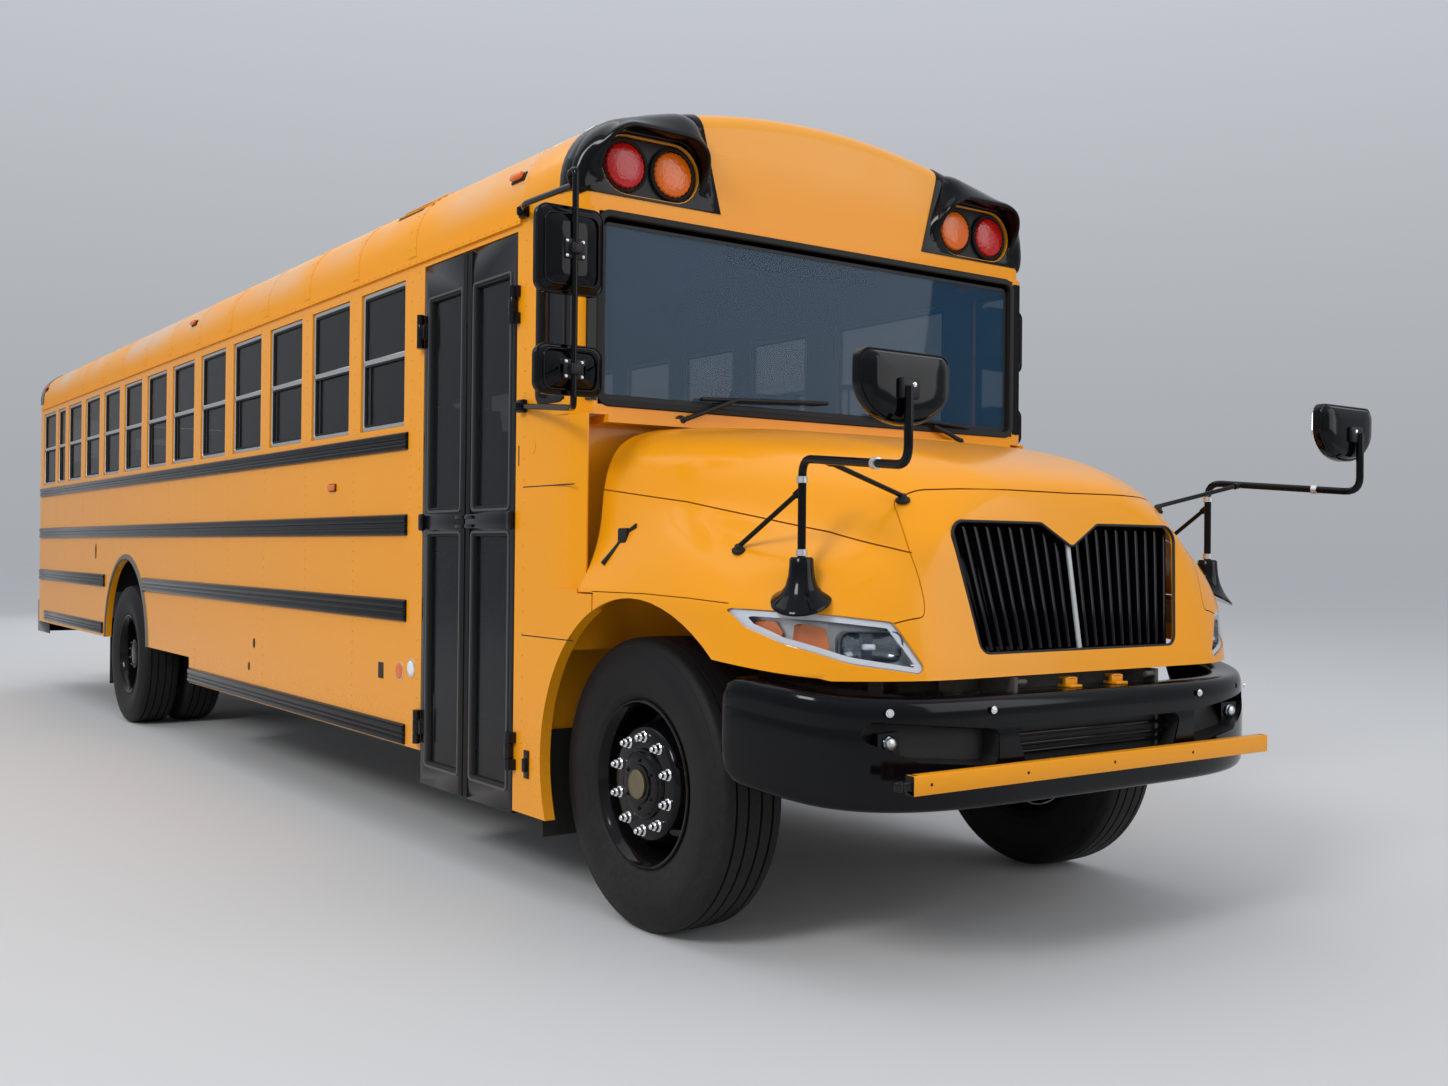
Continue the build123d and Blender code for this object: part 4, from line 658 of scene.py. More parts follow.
# finish of each carried-over CAD node
nodeFinish = {
    "busYellow": ["side_wall_right_front", "side_wall_right_rear", "side_wall_left_front",
                  "side_wall_left_rear",
                  "rear_wall", "front_wall", "cowl", "front_cap", "hood", "fascia", "rear_door",
                  "roof_hatch_front",
                  "roof_hatch_rear"],
    "roofYellow": ["roof"],
    "armYellow": ["crossing_arm"],
    "blackPaint": ["door_leaf_front", "door_leaf_rear", "hinge_posts", "rear_bumper", "front_rim_right",
                   "front_rim_left", "rear_rims_right", "rear_rims_left", "rub_rails"],
    "glossBlack": ["front_bumper", "lamp_visors"],
    "blackPlastic": ["grille", "dashboard", "side_mirrors", "crossview_mirrors", "steering_wheel"],
    "rubber": ["mud_flaps"],
    "tyreRubber": ["front_tyre_right", "front_tyre_left", "rear_tyres_right", "rear_tyres_left"],
    "aluminium": ["window_sashes"],
    "chassisBlack": ["chassis_frame", "tow_eyes", "front_axle", "rear_axle", "leaf_springs", "knuckle_right",
                     "knuckle_left", "tie_rod", "fuel_tank"],
    "castIron": ["engine"],
    "exhaustSteel": ["exhaust"],
    "floorRubber": ["floor", "stepwell"],
    "vinyl": ["seats"],
    "signRed": ["stop_arm", "signal_lamps"],
    "sideGlass": ["window_glass", "door_glass_front", "door_glass_rear", "rear_door_glass"],
    "windshieldGlass": ["windshield"],
    "clearGlass": ["headlights"],
}
for finish, names in nodeFinish.items():
    for name in names:
        mesh = nodes[name].data
        mesh.materials.clear()
        mesh.materials.append(materials[finish])
panes = nodes["windshield"].data
panes.materials.append(materials["sideGlass"])
for pane in panes.polygons:
    if abs(pane.normal.y) > 0.7:
        pane.material_index = 1  # corner panes beside the windshield are smoked, not blue
print("finishes placed on the frame")

# hood, fenders and nose: half sections from the middle outward and down, leads from the front axle
hoodShape = {
    "rows": [
        (-0.270, [(0, 1.850), (0.60, 1.846), (0.93, 1.824), (1.075, 1.748), (1.112, 1.583), (1.120, 1.430),
                  (1.165, 1.300), (1.217, 1.212), (1.219, 0.962)]),
        (-0.050, [(0, 1.838), (0.59, 1.832), (0.91, 1.802), (1.050, 1.720), (1.085, 1.560), (1.124, 1.437),
                  (1.178, 1.315), (1.217, 1.210), (1.218, 0.962)]),
        (0.180, [(0, 1.818), (0.56, 1.812), (0.87, 1.775), (1.000, 1.685), (1.045, 1.535), (1.128, 1.442),
                 (1.190, 1.325), (1.217, 1.206), (1.214, 0.962)]),
        (0.550, [(0, 1.760), (0.49, 1.752), (0.755, 1.708), (0.865, 1.622), (0.935, 1.473), (1.060, 1.405),
                 (1.153, 1.300), (1.197, 1.190), (1.194, 0.962)]),
        (0.830, [(0, 1.685), (0.39, 1.672), (0.610, 1.620), (0.730, 1.535), (0.850, 1.405), (0.940, 1.352),
                 (1.028, 1.270), (1.092, 1.165), (1.122, 0.962)]),
        (0.970, [(0, 1.618), (0.31, 1.600), (0.485, 1.548), (0.600, 1.470), (0.740, 1.360), (0.806, 1.312),
                 (0.872, 1.245), (0.935, 1.150), (0.968, 0.962)]),
        (1.085, [(0, 1.530), (0.285, 1.520), (0.44, 1.492), (0.585, 1.446), (0.628, 1.360), (0.655, 1.290),
                 (0.690, 1.215), (0.715, 1.120), (0.735, 0.962)]),
    ],
    "lean": 0.16, "bottom": 0.962, "skin": 0.012, "smooth": 3,
    "ridgeCrease": 0.65, "sideCrease": 0.30, "archCrease": 0.75, "noseCrease": 0.18,
    "archLead": 0.09, "archHeight": 0.557, "archRadius": 0.636, "seam": 0.0045,
    "seamRear": 0.80, "grilleTop": 1.466, "grilleBottom": 1.037, "grilleTopHalf": 0.583,
    "grilleBottomHalf": 0.498, "notchHalf": 0.144, "notchDepth": 0.080}


def hoodPoint(lead, y, z):
    noseLead = hoodShape["rows"][-1][0]
    back = hoodShape["lean"] * (z - hoodShape["bottom"]) if lead == noseLead else 0
    return (ahead(lead) - back, y, z)


def hoodCage():
    # rings run from the right lower edge over the top to the left lower edge; the nose is a grid across the
    # last ring
    rows = hoodShape["rows"]
    count = len(rows[0][1])
    width = 2 * count - 1
    points, faces, creases = [], [], []
    for lead, half in rows:
        full = [(-y, z) for y, z in reversed(half)] + [(y, z) for y, z in half[1:]]
        points += [hoodPoint(lead, y, z) for y, z in full]
    for row in range(len(rows) - 1):
        for col in range(width - 1):
            a = row * width + col
            faces.append((a, a + 1, a + width + 1, a + width))
        for side in (-1, 1):
            for ring, value in ((1, "ridgeCrease"), (4, "sideCrease"), (7, "archCrease")):
                col = count - 1 + side * ring
                creases.append((row * width + col, (row + 1) * width + col, hoodShape[value]))
    last = (len(rows) - 1) * width
    lead, half = rows[-1]
    top, side = half[:4], half[3:]
    grid = {}
    for sign in (-1, 1):
        for level, (sideY, sideZ) in enumerate(side):
            for step in range(4):
                if level == 0:
                    index = last + count - 1 + sign * step
                elif step == 3:
                    index = last + count - 1 + sign * (3 + level)
                elif step == 0 and (0, level) in grid:
                    index = grid[(0, level)]
                else:
                    share = step / 3
                    index = len(points)
                    points.append(hoodPoint(lead, sign * sideY * share,
                                            sideZ + (0 if level else top[step][1] - sideZ)))
                grid[(sign * step, level)] = index
    for level in range(len(side) - 1):
        for step in range(-3, 3):
            faces.append((grid[(step, level)], grid[(step + 1, level)], grid[(step + 1, level + 1)],
                          grid[(step, level + 1)]))
    for col in range(width - 1):
        creases.append((last + col, last + col + 1, hoodShape["noseCrease"]))
    return points, faces, creases


def creaseEdges(mesh, creases):
    layer = mesh.attributes.new("crease_edge", "FLOAT", "EDGE")
    lookup = {tuple(sorted(edge.vertices)): edge.index for edge in mesh.edges}
    for a, b, value in creases:
        layer.data[lookup[tuple(sorted((a, b)))]].value = value


def hoodSkin(name, depth=0.0, thick=0.012, finish="busYellow", front=None):
    # smooth skin of the hood, its outer side sunk by depth; front keeps only what lies ahead of that lead
    points, faces, creases = hoodCage()
    obj = makeMesh(name, points, faces, finish)
    creaseEdges(obj.data, creases)
    if obj.data.polygons[0].normal.y > 0:
        obj.data.flip_normals()
    subdivided(obj, hoodShape["smooth"])
    work = bmesh.new()
    work.from_mesh(obj.data)
    work.normal_update()
    for vert in work.verts:
        vert.co -= vert.normal * depth
    if front is not None:
        stray = [face for face in work.faces if face.calc_center_median().x < ahead(front)]
        bmesh.ops.delete(work, geom=stray, context="FACES")
    work.to_mesh(obj.data)
    work.free()
    return walled(obj, thick)


grilleOutline = [
    (hoodShape["grilleBottomHalf"], hoodShape["grilleBottom"]),
                 (hoodShape["grilleTopHalf"], hoodShape["grilleTop"]),
    (hoodShape["notchHalf"], hoodShape["grilleTop"]), (0, hoodShape["grilleTop"] - hoodShape["notchDepth"]),
    (-hoodShape["notchHalf"], hoodShape["grilleTop"]), (-hoodShape["grilleTopHalf"], hoodShape["grilleTop"]),
    (-hoodShape["grilleBottomHalf"], hoodShape["grilleBottom"])]
grilleRadii = [0.045, 0.050, 0.045, 0.030, 0.045, 0.050, 0.045]
lampOutline = [(0.720, 0.976), (0.827, 1.145), (1.010, 1.168), (1.172, 1.180), (1.150, 1.118), (1.100, 1.072),
               (0.960, 1.014)]
lampRadii = [0.020, 0.022, 0.4, 0.008, 0.03, 0.06, 0.3]
creasePath = [(-0.29, 1.588), (-0.25, 1.583), (0.18, 1.532), (0.50, 1.474), (0.75, 1.426), (0.93, 1.375),
              (0.974, 1.360)]
lipPath = [(-0.175, 1.209), (0.18, 1.211), (0.42, 1.204), (0.60, 1.193)]
seamPath = [(0.824, 1.140), (0.768, 1.153), (0.722, 1.158), (0.714, 1.205), (0.725, 1.358), (0.700, 1.470),
            (0.686, 1.532), (0.600, 1.568), (0.471, 1.574), (0.275, 1.576), (0.0, 1.574)]


def mirroredOutline(points):
    return [(-y, z) for y, z in reversed(points)]


# cuts through the hood: boxes as leads, half width and heights, and how far the other cuts reach
hoodCuts = {"boxes": {"rearFoot": ((-0.5, 0.450), 1.191, (0.8, 1.15)),
                      "flange": ((-0.5, -0.164), 1.3, (0.8, 1.205))},
            "foot": [(0.40, 0.9), (0.40, 1.024), (0.62, 1.000), (0.90, 0.970), (1.0, 0.94), (1.0, 0.9)],
            "archHalf": 1.4, "footHalf": 1.3, "nose": (0.8, 1.3), "lamp": (0.56, 1.3),
            "crease": (0.62, 1.25), "lip": (1.10, 1.25), "lipSeam": 0.0035}


def onLeads(points):
    return [(ahead(lead), z) for lead, z in points]


def hoodCutters():
    h, c = hoodShape, hoodCuts
    arch = [(ahead(h["archLead"]) + h["archRadius"] * cos(turn),
             h["archHeight"] + h["archRadius"] * sin(turn))
            for turn in turns(64)]
    cutters = [prismY("arch", arch, -c["archHalf"], c["archHalf"])]
    for name, ((rear, front), half, heights) in c["boxes"].items():
        cutters.append(slab(name, None, (ahead(rear), ahead(front)), (-half, half), heights))
    cutters.append(prismY("foot", onLeads(c["foot"]), -c["footHalf"], c["footHalf"]))
    cutters.append(prismX("grilleHole", eased(grilleOutline, grilleRadii), *c["nose"]))
    lamp = eased(lampOutline, lampRadii)
    for outline in (lamp, mirroredOutline(lamp)):
        cutters.append(prismX("lampHole", outline, *c["lamp"]))
    seam = [(p.x, p.y) for p in eased3([(y, z, 0) for y, z in seamPath], 0.03)]
    seam = thickLine(seam + mirroredOutline(seam[:-1]), h["seam"])
    cutters.append(prismX("fasciaSeam", seam, h["seamRear"], c["nose"][1]))
    crease = thickLine(onLeads(creasePath), h["seam"])
    lip = thickLine(onLeads(lipPath), c["lipSeam"])
    for side in (-1, 1):
        cutters.append(prismY("creaseSeam", crease, *(side * reach for reach in c["crease"])))
        cutters.append(prismY("lipSeam", lip, *(side * reach for reach in c["lip"])))
    return cutters


wholeSkin = hoodSkin("wholeSkin")
wholeSkin.data.shade_smooth()
skinTree = BVHTree.FromPolygons([v.co for v in wholeSkin.data.vertices],
                                [p.vertices for p in wholeSkin.data.polygons])
skinNormals = [v.normal.copy() for v in wholeSkin.data.vertices]
skinFaces = [tuple(p.vertices) for p in wholeSkin.data.polygons]
skinPlaces = [v.co.copy() for v in wholeSkin.data.vertices]
bpy.data.objects.remove(wholeSkin)


def skinNormal(place):
    # normal of the uncut skin nearest to a place, blended from the corners of its face
    face = skinTree.find_nearest(place)[2]
    blend = Vector()
    for index in skinFaces[face]:
        blend += skinNormals[index] / ((skinPlaces[index] - place).length + 0.0004)
    return blend.normalized()


def shadeLikeSkin(obj, limit=30):
    # outer faces take the uncut skin's normals, so that the openings leave no dents in the shading
    mesh = obj.data
    normals = [tuple(corner.vector) for corner in mesh.corner_normals]
    edge = cos(radians(limit))
    for face in mesh.polygons:
        for corner in face.loop_indices:
            normal = skinNormal(mesh.vertices[mesh.loops[corner].vertex_index].co)
            if normal.dot(face.normal) > edge:
                normals[corner] = tuple(normal)
    mesh.normals_split_custom_set(normals)


def buildHood():
    hood = hoodSkin("hoodShell")
    for cutter in hoodCutters():
        carve(hood, cutter)
    smooth(hood, 32)
    shadeLikeSkin(hood)
    fitted(hood, "hood", "body_paint", "hood", "fascia")
    return hood


hoodShell = buildHood()
print("hood made", len(hoodShell.data.polygons))


def skinPatch(name, outline, depth, thick, finish):
    # the part of the hood's skin that lies inside an outline seen from the front
    patch = hoodSkin(name, depth, thick, finish, front=0.45)
    carve(patch, prismX(name + "Tool", outline, 0.5, 1.35), "INTERSECT")
    smooth(patch, 32)
    return patch


def inset(points, amount):
    # the same closed outline drawn in by an amount
    out = []
    count = len(points)
    turn = sum(points[i - 1][0] * points[i][1] - points[i][0] * points[i - 1][1] for i in range(count))
    way = 1 if turn > 0 else -1
    for i in range(count):
        here = Vector(points[i])
        back = (here - Vector(points[i - 1])).normalized()
        on = (Vector(points[(i + 1) % count]) - here).normalized()
        normal = Vector((-(back.y + on.y), back.x + on.x)).normalized() * way
        grow = 1 / max(0.5, sqrt(max(0.0, (1 + back.dot(on)) / 2)))
        out.append(tuple(here + normal * amount * grow))
    return out


# headlights: clear lens in the skin's own shape, a bright band, pocket, amber lamps and a smoked bowl with
# its bulb
headlight = {"gap": 0.003, "lens": 0.003, "bands": [(0.019, 0.010, "lampWhite"), (0.030, 0.020, "aluminium")],
             "pocketDepth": 0.062, "through": (0.5, 1.35),
             "ambers": {"amberTall": 0.026, "amberSmall": 0.028},
             "amberTall": [(1.058, 1.050), (1.006, 1.036), (0.988, 1.060), (0.994, 1.122), (1.046, 1.136)],
             "amberSmall": [(1.108, 1.096), (1.086, 1.082), (1.077, 1.104), (1.087, 1.140), (1.106, 1.144)],
             "plate": [(1.125, 1.110), (1.085, 1.064), (0.985, 1.026), (0.972, 1.060), (0.976, 1.148),
                       (1.115, 1.160)],
             "bowl": (0.895, 1.066, 0.100, 0.048), "bowlSink": 0.018,
             "bowlRows": [(1.03, 0.060), (1.03, 0.000), (0.97, 0.000), (0.93, 0.012), (0.78, 0.027),
                          (0.52, 0.038), (0.25, 0.042)],
             "bulbRows": [(0.20, 0.042), (0.20, 0.020), (0.15, 0.012), (0.06, 0.009)]}


def lampRing(amount):
    # the opening's outline drawn in by an amount
    return eased(inset(lampOutline, amount), [max(r - amount, 0.006) for r in lampRadii])


def lampBowl(name, side, rows, finish):
    # rounded reflector let into the pocket, square to the skin in front of it
    y, z, half, tall = headlight["bowl"]
    spot, normal = skinTree.ray_cast(Vector((ahead(1.5), side * y, z)), Vector((-1, 0, 0)))[:2]
    normal = Vector((normal.x, normal.y, normal.z * 0.3)).normalized()
    if normal.x < 0:
        normal = -normal
    across = Vector((0, 0, 1)).cross(normal).normalized()
    rise = normal.cross(across)
    centre = spot - normal * headlight["bowlSink"]
    shape = roundedRect(-half, -tall, half, tall, 0.030)
    rings = [[centre + across * (a * share) + rise * (b * share) - normal * deep for a, b in shape]
             for share, deep in rows]
    return loftRings(name, rings, finish, soft=40)


def buildHeadlight(side):
    h = headlight
    name = "headlightLeft" if side > 0 else "headlightRight"
    place = (lambda pts: pts) if side > 0 else mirroredOutline

    def layer(part, outline, depth, thick, finish, hole=None):
        patch = skinPatch(name + part, place(outline), depth, thick, finish)
        if hole:
            carve(patch, prismX(part + "Tool", place(hole), *h["through"]))
        return patch

    lens = layer("Lens", lampRing(h["gap"]), 0.001, h["lens"], "clearGlass")
    fitted(lens, "hood", "clear_lens", "headlights")
    parts = []
    outer = h["gap"] + 0.001
    for width, depth, finish in h["bands"]:
        parts.append(layer("Band", lampRing(outer), depth, 0.005, finish, lampRing(h["gap"] + width)))
        outer = h["gap"] + width - 0.002
    parts.append(layer("Back", lampRing(0.001), h["pocketDepth"], 0.004, "aluminium"))
    parts.append(layer("Plate", eased(h["plate"], 0.015), 0.044, 0.006, "aluminium"))
    parts.append(layer("Wall", lampRing(0.0005), 0.008, h["pocketDepth"] - 0.006, "chrome", lampRing(0.0025)))
    for key, sink in h["ambers"].items():
        parts.append(layer(key, eased(h[key], 0.010), sink, 0.016, "lensPeach"))
    parts.append(lampBowl(name + "Bowl", side, h["bowlRows"], "smokedChrome"))
    parts.append(lampBowl(name + "Bulb", side, h["bulbRows"], "lampWhite"))
    fitted(joined(name + "Inside", parts), "hood", "clear_lens")


for side in (-1, 1):
    buildHeadlight(side)
print("headlights made")

# grille: fanned slats behind the opening, a bright divider and a thin lip
grille = {"count": 21, "thick": 0.017, "deep": 0.046, "overlap": 0.008, "lip": 0.0055, "sink": 0.024,
          "dividerThick": 0.016}


def grilleFace(z):
    return ahead(hoodShape["rows"][-1][0]) - hoodShape["lean"] * (z - hoodShape["bottom"])


def pieceGroup(name, labels):
    # geometry group that takes loose points, numbers and a finish
    numbers = [(label, "Int" if label == "Count" else "Float") for label in labels]
    return nodeGroup(name, "GeometryNodeTree", [("Geometry", "Geometry"), *numbers, ("Finish", "Material")],
                     [("Geometry", "Geometry")])


def setOut(add, given, out, points, piece, rotation):
    # stands the piece on every point, makes it real and paints it
    many = add("GeometryNodeInstanceOnPoints", {"Points": points, "Instance": piece, "Rotation": rotation})
    real = add("GeometryNodeRealizeInstances", {0: many.outputs[0]})
    paint = add("GeometryNodeSetMaterial", {"Geometry": real.outputs[0], "Material": given["Finish"]})
    fill(out, {0: paint.outputs[0]})


def makeSlatTree():
    add, calc, given, out = pieceGroup("slatFan", ("Count", "Bottom Half", "Top Half", "Bottom", "Top", "Front",
                                                   "Lean", "Thickness", "Depth"))
    line = add("GeometryNodeMeshLine", {"Count": given["Count"]})
    index = add("GeometryNodeInputIndex").outputs[0]
    share = calc("DIVIDE", calc("ADD", index, 0.5), given["Count"])
    share = calc("SUBTRACT", calc("MULTIPLY", share, 2), 1)
    halfMid = calc("MULTIPLY", calc("ADD", given["Bottom Half"], given["Top Half"]), 0.5)
    height = calc("MULTIPLY", calc("ADD", given["Bottom"], given["Top"]), 0.5)
    tall = calc("SUBTRACT", given["Top"], given["Bottom"])
    spread = calc("SUBTRACT", given["Top Half"], given["Bottom Half"])
    place = add("ShaderNodeCombineXYZ", {0: given["Front"], 1: calc("MULTIPLY", share, halfMid), 2: height})
    spots = add("GeometryNodeSetPosition", {"Geometry": line.outputs[0], "Position": place.outputs[0]})
    fan = calc("ARCTANGENT", calc("DIVIDE", calc("MULTIPLY", share, spread), tall))
    turn = add("ShaderNodeCombineXYZ", {0: calc("MULTIPLY", fan, -1),
                                        1: calc("MULTIPLY", calc("ARCTANGENT", given["Lean"]), -1)})
    size = add("ShaderNodeCombineXYZ", {0: given["Depth"], 1: given["Thickness"], 2: tall})
    cube = add("GeometryNodeMeshCube", {"Size": size.outputs[0]})
    setOut(add, given, out, spots.outputs[0], cube.outputs[0], turn.outputs[0])
    return out.id_data


def grown(name, tree, values, points=((0, 0, 0),), attributes=None):
    # runs a node tree on a few loose points and keeps the plain mesh that it makes
    holder = makeMesh(name, points, [])
    for label, vectors in (attributes or {}).items():
        layer = holder.data.attributes.new(label, "FLOAT_VECTOR", "POINT")
        layer.data.foreach_set("vector", [c for v in vectors for c in v])
    mod = holder.modifiers.new("nodes", "NODES")
    mod.node_group = tree
    sockets = {item.name: item.identifier for item in tree.interface.items_tree if item.in_out == "INPUT"}
    for label, value in values.items():
        mod[sockets[label]] = value
    settle(holder)
    return holder


slatTree = makeSlatTree()


def buildGrille():
    g, h = grille, hoodShape
    bottom, top = h["grilleBottom"] - g["overlap"], h["grilleTop"] + g["overlap"]
    front = grilleFace((bottom + top) / 2) - g["sink"] - g["deep"] / 2
    spread = (h["grilleTopHalf"] - h["grilleBottomHalf"]) / (h["grilleTop"] - h["grilleBottom"])
    slats = grown("grilleSlats", slatTree, {
        "Count": g["count"], "Bottom Half": h["grilleBottomHalf"] - spread * g["overlap"],
        "Top Half": h["grilleTopHalf"] + spread * g["overlap"], "Bottom": bottom, "Top": top, "Front": front,
        "Lean": h["lean"], "Thickness": g["thick"], "Depth": g["deep"], "Finish": materials["glossBlack"]})
    bevelled(slats, 0.0035, 2, 40)
    rings = []
    w = g["dividerThick"] / 2
    for z in (h["grilleBottom"] - 0.01, h["grilleTop"] - h["notchDepth"] + 0.01):
        x = grilleFace(z) - 0.010
        rings.append([(x - 0.03, -w, z), (x - 0.008, -w, z), (x, 0, z), (x - 0.008, w, z), (x - 0.03, w, z)])
    divider = loftRings("grilleDivider", rings, "aluminium", soft=60)
    edge = [(grilleFace(z) - 0.004, y, z) for y, z in eased(grilleOutline, grilleRadii)]
    lip = tube("grilleLip", edge, g["lip"], "blackPlastic", closed=True)
    fitted(joined("grilleSlats", [slats, divider, lip]), "hood", "black_plastic", "grille")


buildGrille()
print("grille made")

# wheels: tyre and rim sections as (radius, place across) from the wheel's middle plane, outer side positive
wheelShape = {
    "tyreHalf": [(0.525, 0.0), (0.525, 0.022), (0.512, 0.0235), (0.512, 0.0305), (0.525, 0.032),
                 (0.5245, 0.070),
                 (0.512, 0.0715), (0.512, 0.0785), (0.524, 0.080), (0.521, 0.104), (0.516, 0.114),
                 (0.508, 0.122),
                 (0.497, 0.128), (0.493, 0.1305), (0.489, 0.1305), (0.486, 0.133), (0.455, 0.1385),
                 (0.452, 0.1405),
                 (0.420, 0.1415), (0.380, 0.139), (0.345, 0.131), (0.330, 0.1255), (0.326, 0.1255),
                 (0.318, 0.120),
                 (0.305, 0.113), (0.287, 0.104)],
    "barrel": [(0.301, 0.112), (0.3015, 0.119), (0.297, 0.1225), (0.291, 0.121), (0.284, 0.110),
               (0.272, 0.098),
               (0.267, 0.080), (0.262, 0.050), (0.256, 0.0), (0.262, -0.060), (0.272, -0.098),
               (0.291, -0.121),
               (0.301, -0.119), (0.301, -0.110), (0.288, -0.102), (0.2858, -0.090), (0.2858, 0.090),
               (0.288, 0.102)],
    "frontDisc": [(0.264, -0.004), (0.252, 0.004), (0.236, 0.020), (0.222, 0.048), (0.212, 0.078),
                  (0.206, 0.092),
                  (0.198, 0.100), (0.186, 0.103), (0.112, 0.103)],
    "rearDisc": [(0.264, -0.016), (0.250, -0.024), (0.232, -0.042), (0.218, -0.068), (0.208, -0.088),
                 (0.196, -0.097), (0.184, -0.099), (0.112, -0.099)],
    "discThick": 0.010,
    "frontHub": [(0.128, 0.1035), (0.124, 0.112), (0.116, 0.115), (0.112, 0.121), (0.100, 0.124),
                 (0.072, 0.124),
                 (0.070, 0.130), (0.058, 0.131), (0.001, 0.131)],
    "rearHub": [(0.128, -0.098), (0.124, -0.040), (0.112, -0.030), (0.104, 0.020), (0.102, 0.060),
                (0.110, 0.062),
                (0.110, 0.078), (0.100, 0.084), (0.040, 0.088), (0.001, 0.089)],
    "cap": [(0.052, 0.130), (0.052, 0.138), (0.046, 0.142), (0.030, 0.1405), (0.001, 0.1405)],
    "hubBack": [(0.105, 0.10), (0.105, -0.02), (0.001, -0.02)], "twinEdge": 0.140,
    "lugs": 10, "lugCircle": 0.1675, "holes": 5, "holeCircle": 0.228, "holeRadius": 0.024, "sides": 96}


def setFacing(add, given, out, piece):
    # stands the piece on every given point, turned to the direction that the point keeps in "facing"
    facing = add("GeometryNodeInputNamedAttribute", {"Name": "facing"}, data_type="FLOAT_VECTOR")
    align = add("FunctionNodeAlignRotationToVector", {"Vector": facing.outputs["Attribute"]}, axis="Z")
    setOut(add, given, out, given["Geometry"], piece, align.outputs["Rotation"])


def makeStudTree():
    # a flange, a hexagon and a stud end at every given point
    add, calc, given, out = pieceGroup("studSet", ("Flange", "Hex", "Stud", "Long"))
    parts = add("GeometryNodeJoinGeometry")
    for label, sides, share in (("Flange", 14, 0.28), ("Hex", 6, 0.80), ("Stud", 10, 1.25)):
        deep = calc("MULTIPLY", given["Long"], share)
        post = add("GeometryNodeMeshCylinder", {"Vertices": sides, "Radius": given[label], "Depth": deep})
        lift = add("ShaderNodeCombineXYZ", {2: calc("MULTIPLY", deep, 0.5)})
        moved = add("GeometryNodeTransform", {"Geometry": post.outputs[0], "Translation": lift.outputs[0]})
        fill(parts, {0: moved.outputs[0]})
    setFacing(add, given, out, parts.outputs[0])
    return out.id_data


studTree = makeStudTree()


def studs(name, places, finish, flange=0.022, hexSize=0.018, stud=0.010, long=0.032):
    # places: pairs of a point and the direction its stud looks
    sizes = {"Flange": flange, "Hex": hexSize, "Stud": stud, "Long": long, "Finish": materials[finish]}
    piece = grown(name, studTree, sizes, [p for p, n in places], {"facing": [n for p, n in places]})
    bevelled(piece, 0.0016, 1, 50)
    return piece


def nutRing(name, count, circle, place, side, finish, **sizes):
    x, y, z = place
    places = [((x + circle * cos(turn), y, z + circle * sin(turn)), (0, side, 0))
              for turn in turns(count, 0.5)]
    return studs(name, places, finish, **sizes)


def acrossWheel(profile, side):
    return [(r, side * y) for r, y in profile]


def discRing(profile, thick):
    back = [(r, y - thick) for r, y in reversed(profile)]
    return profile + back


def buildTyre(name, centre):
    outer = wheelShape["tyreHalf"]
    section = [(r, -y) for r, y in reversed(outer)][:-1] + outer
    return spun(name, section, "tyreRubber", wheelShape["sides"], centre, soft=38)


def buildRim(name, centre, side, disc):
    w = wheelShape
    x, y, z = centre
    barrel = spun(name + "Barrel", acrossWheel(w["barrel"], side), "glossBlack", w["sides"], centre)
    plate = spun(name + "Disc", acrossWheel(discRing(w[disc], w["discThick"]), side), "glossBlack",
                 w["sides"], centre)
    for turn in turns(w["holes"], 0.35):
        hole = [(x + w["holeCircle"] * cos(turn) + w["holeRadius"] * cos(part),
                 z + w["holeCircle"] * sin(turn) + w["holeRadius"] * sin(part)) for part in turns(20)]
        carve(plate, prismY("handHole", hole, y - 0.2, y + 0.2))
    smooth(barrel, 40)
    smooth(plate, 32)
    return [barrel, plate]


def frontWheel(side):
    hand = "left" if side > 0 else "right"
    w = wheelShape
    node, body = "front_tyre_" + hand, "front_wheel_" + hand
    centre = tuple(middle(node))
    x, y, z = centre
    fitted(buildTyre("frontTyre" + hand.title(), centre), body, "tyre", node)
    pieces = buildRim("frontRim" + hand.title(), centre, side, "frontDisc")
    for name, profile, finish, sides, soft in (("frontHub", "frontHub", "glossBlack", 48, 30),
                                               ("oilCap", "cap", "bronze", 32, 40)):
        pieces.append(spun(name, acrossWheel(w[profile], side), finish, sides, centre, closed=False,
                           soft=soft))
    pieces.append(nutRing("frontLugs", w["lugs"], w["lugCircle"], (x, y + side * 0.101, z), side, "chrome"))
    pieces.append(nutRing("hubBolts", 6, 0.086, (x, y + side * 0.122, z), side, "glossBlack",
                          flange=0.010, hexSize=0.0085, stud=0.004, long=0.009))
    pieces.append(spun("hubBack", acrossWheel(w["hubBack"], side), "chassisBlack", 40, centre, closed=False))
    fitted(joined("frontRim" + hand.title(), pieces), body, "black_paint", "front_rim_" + hand)


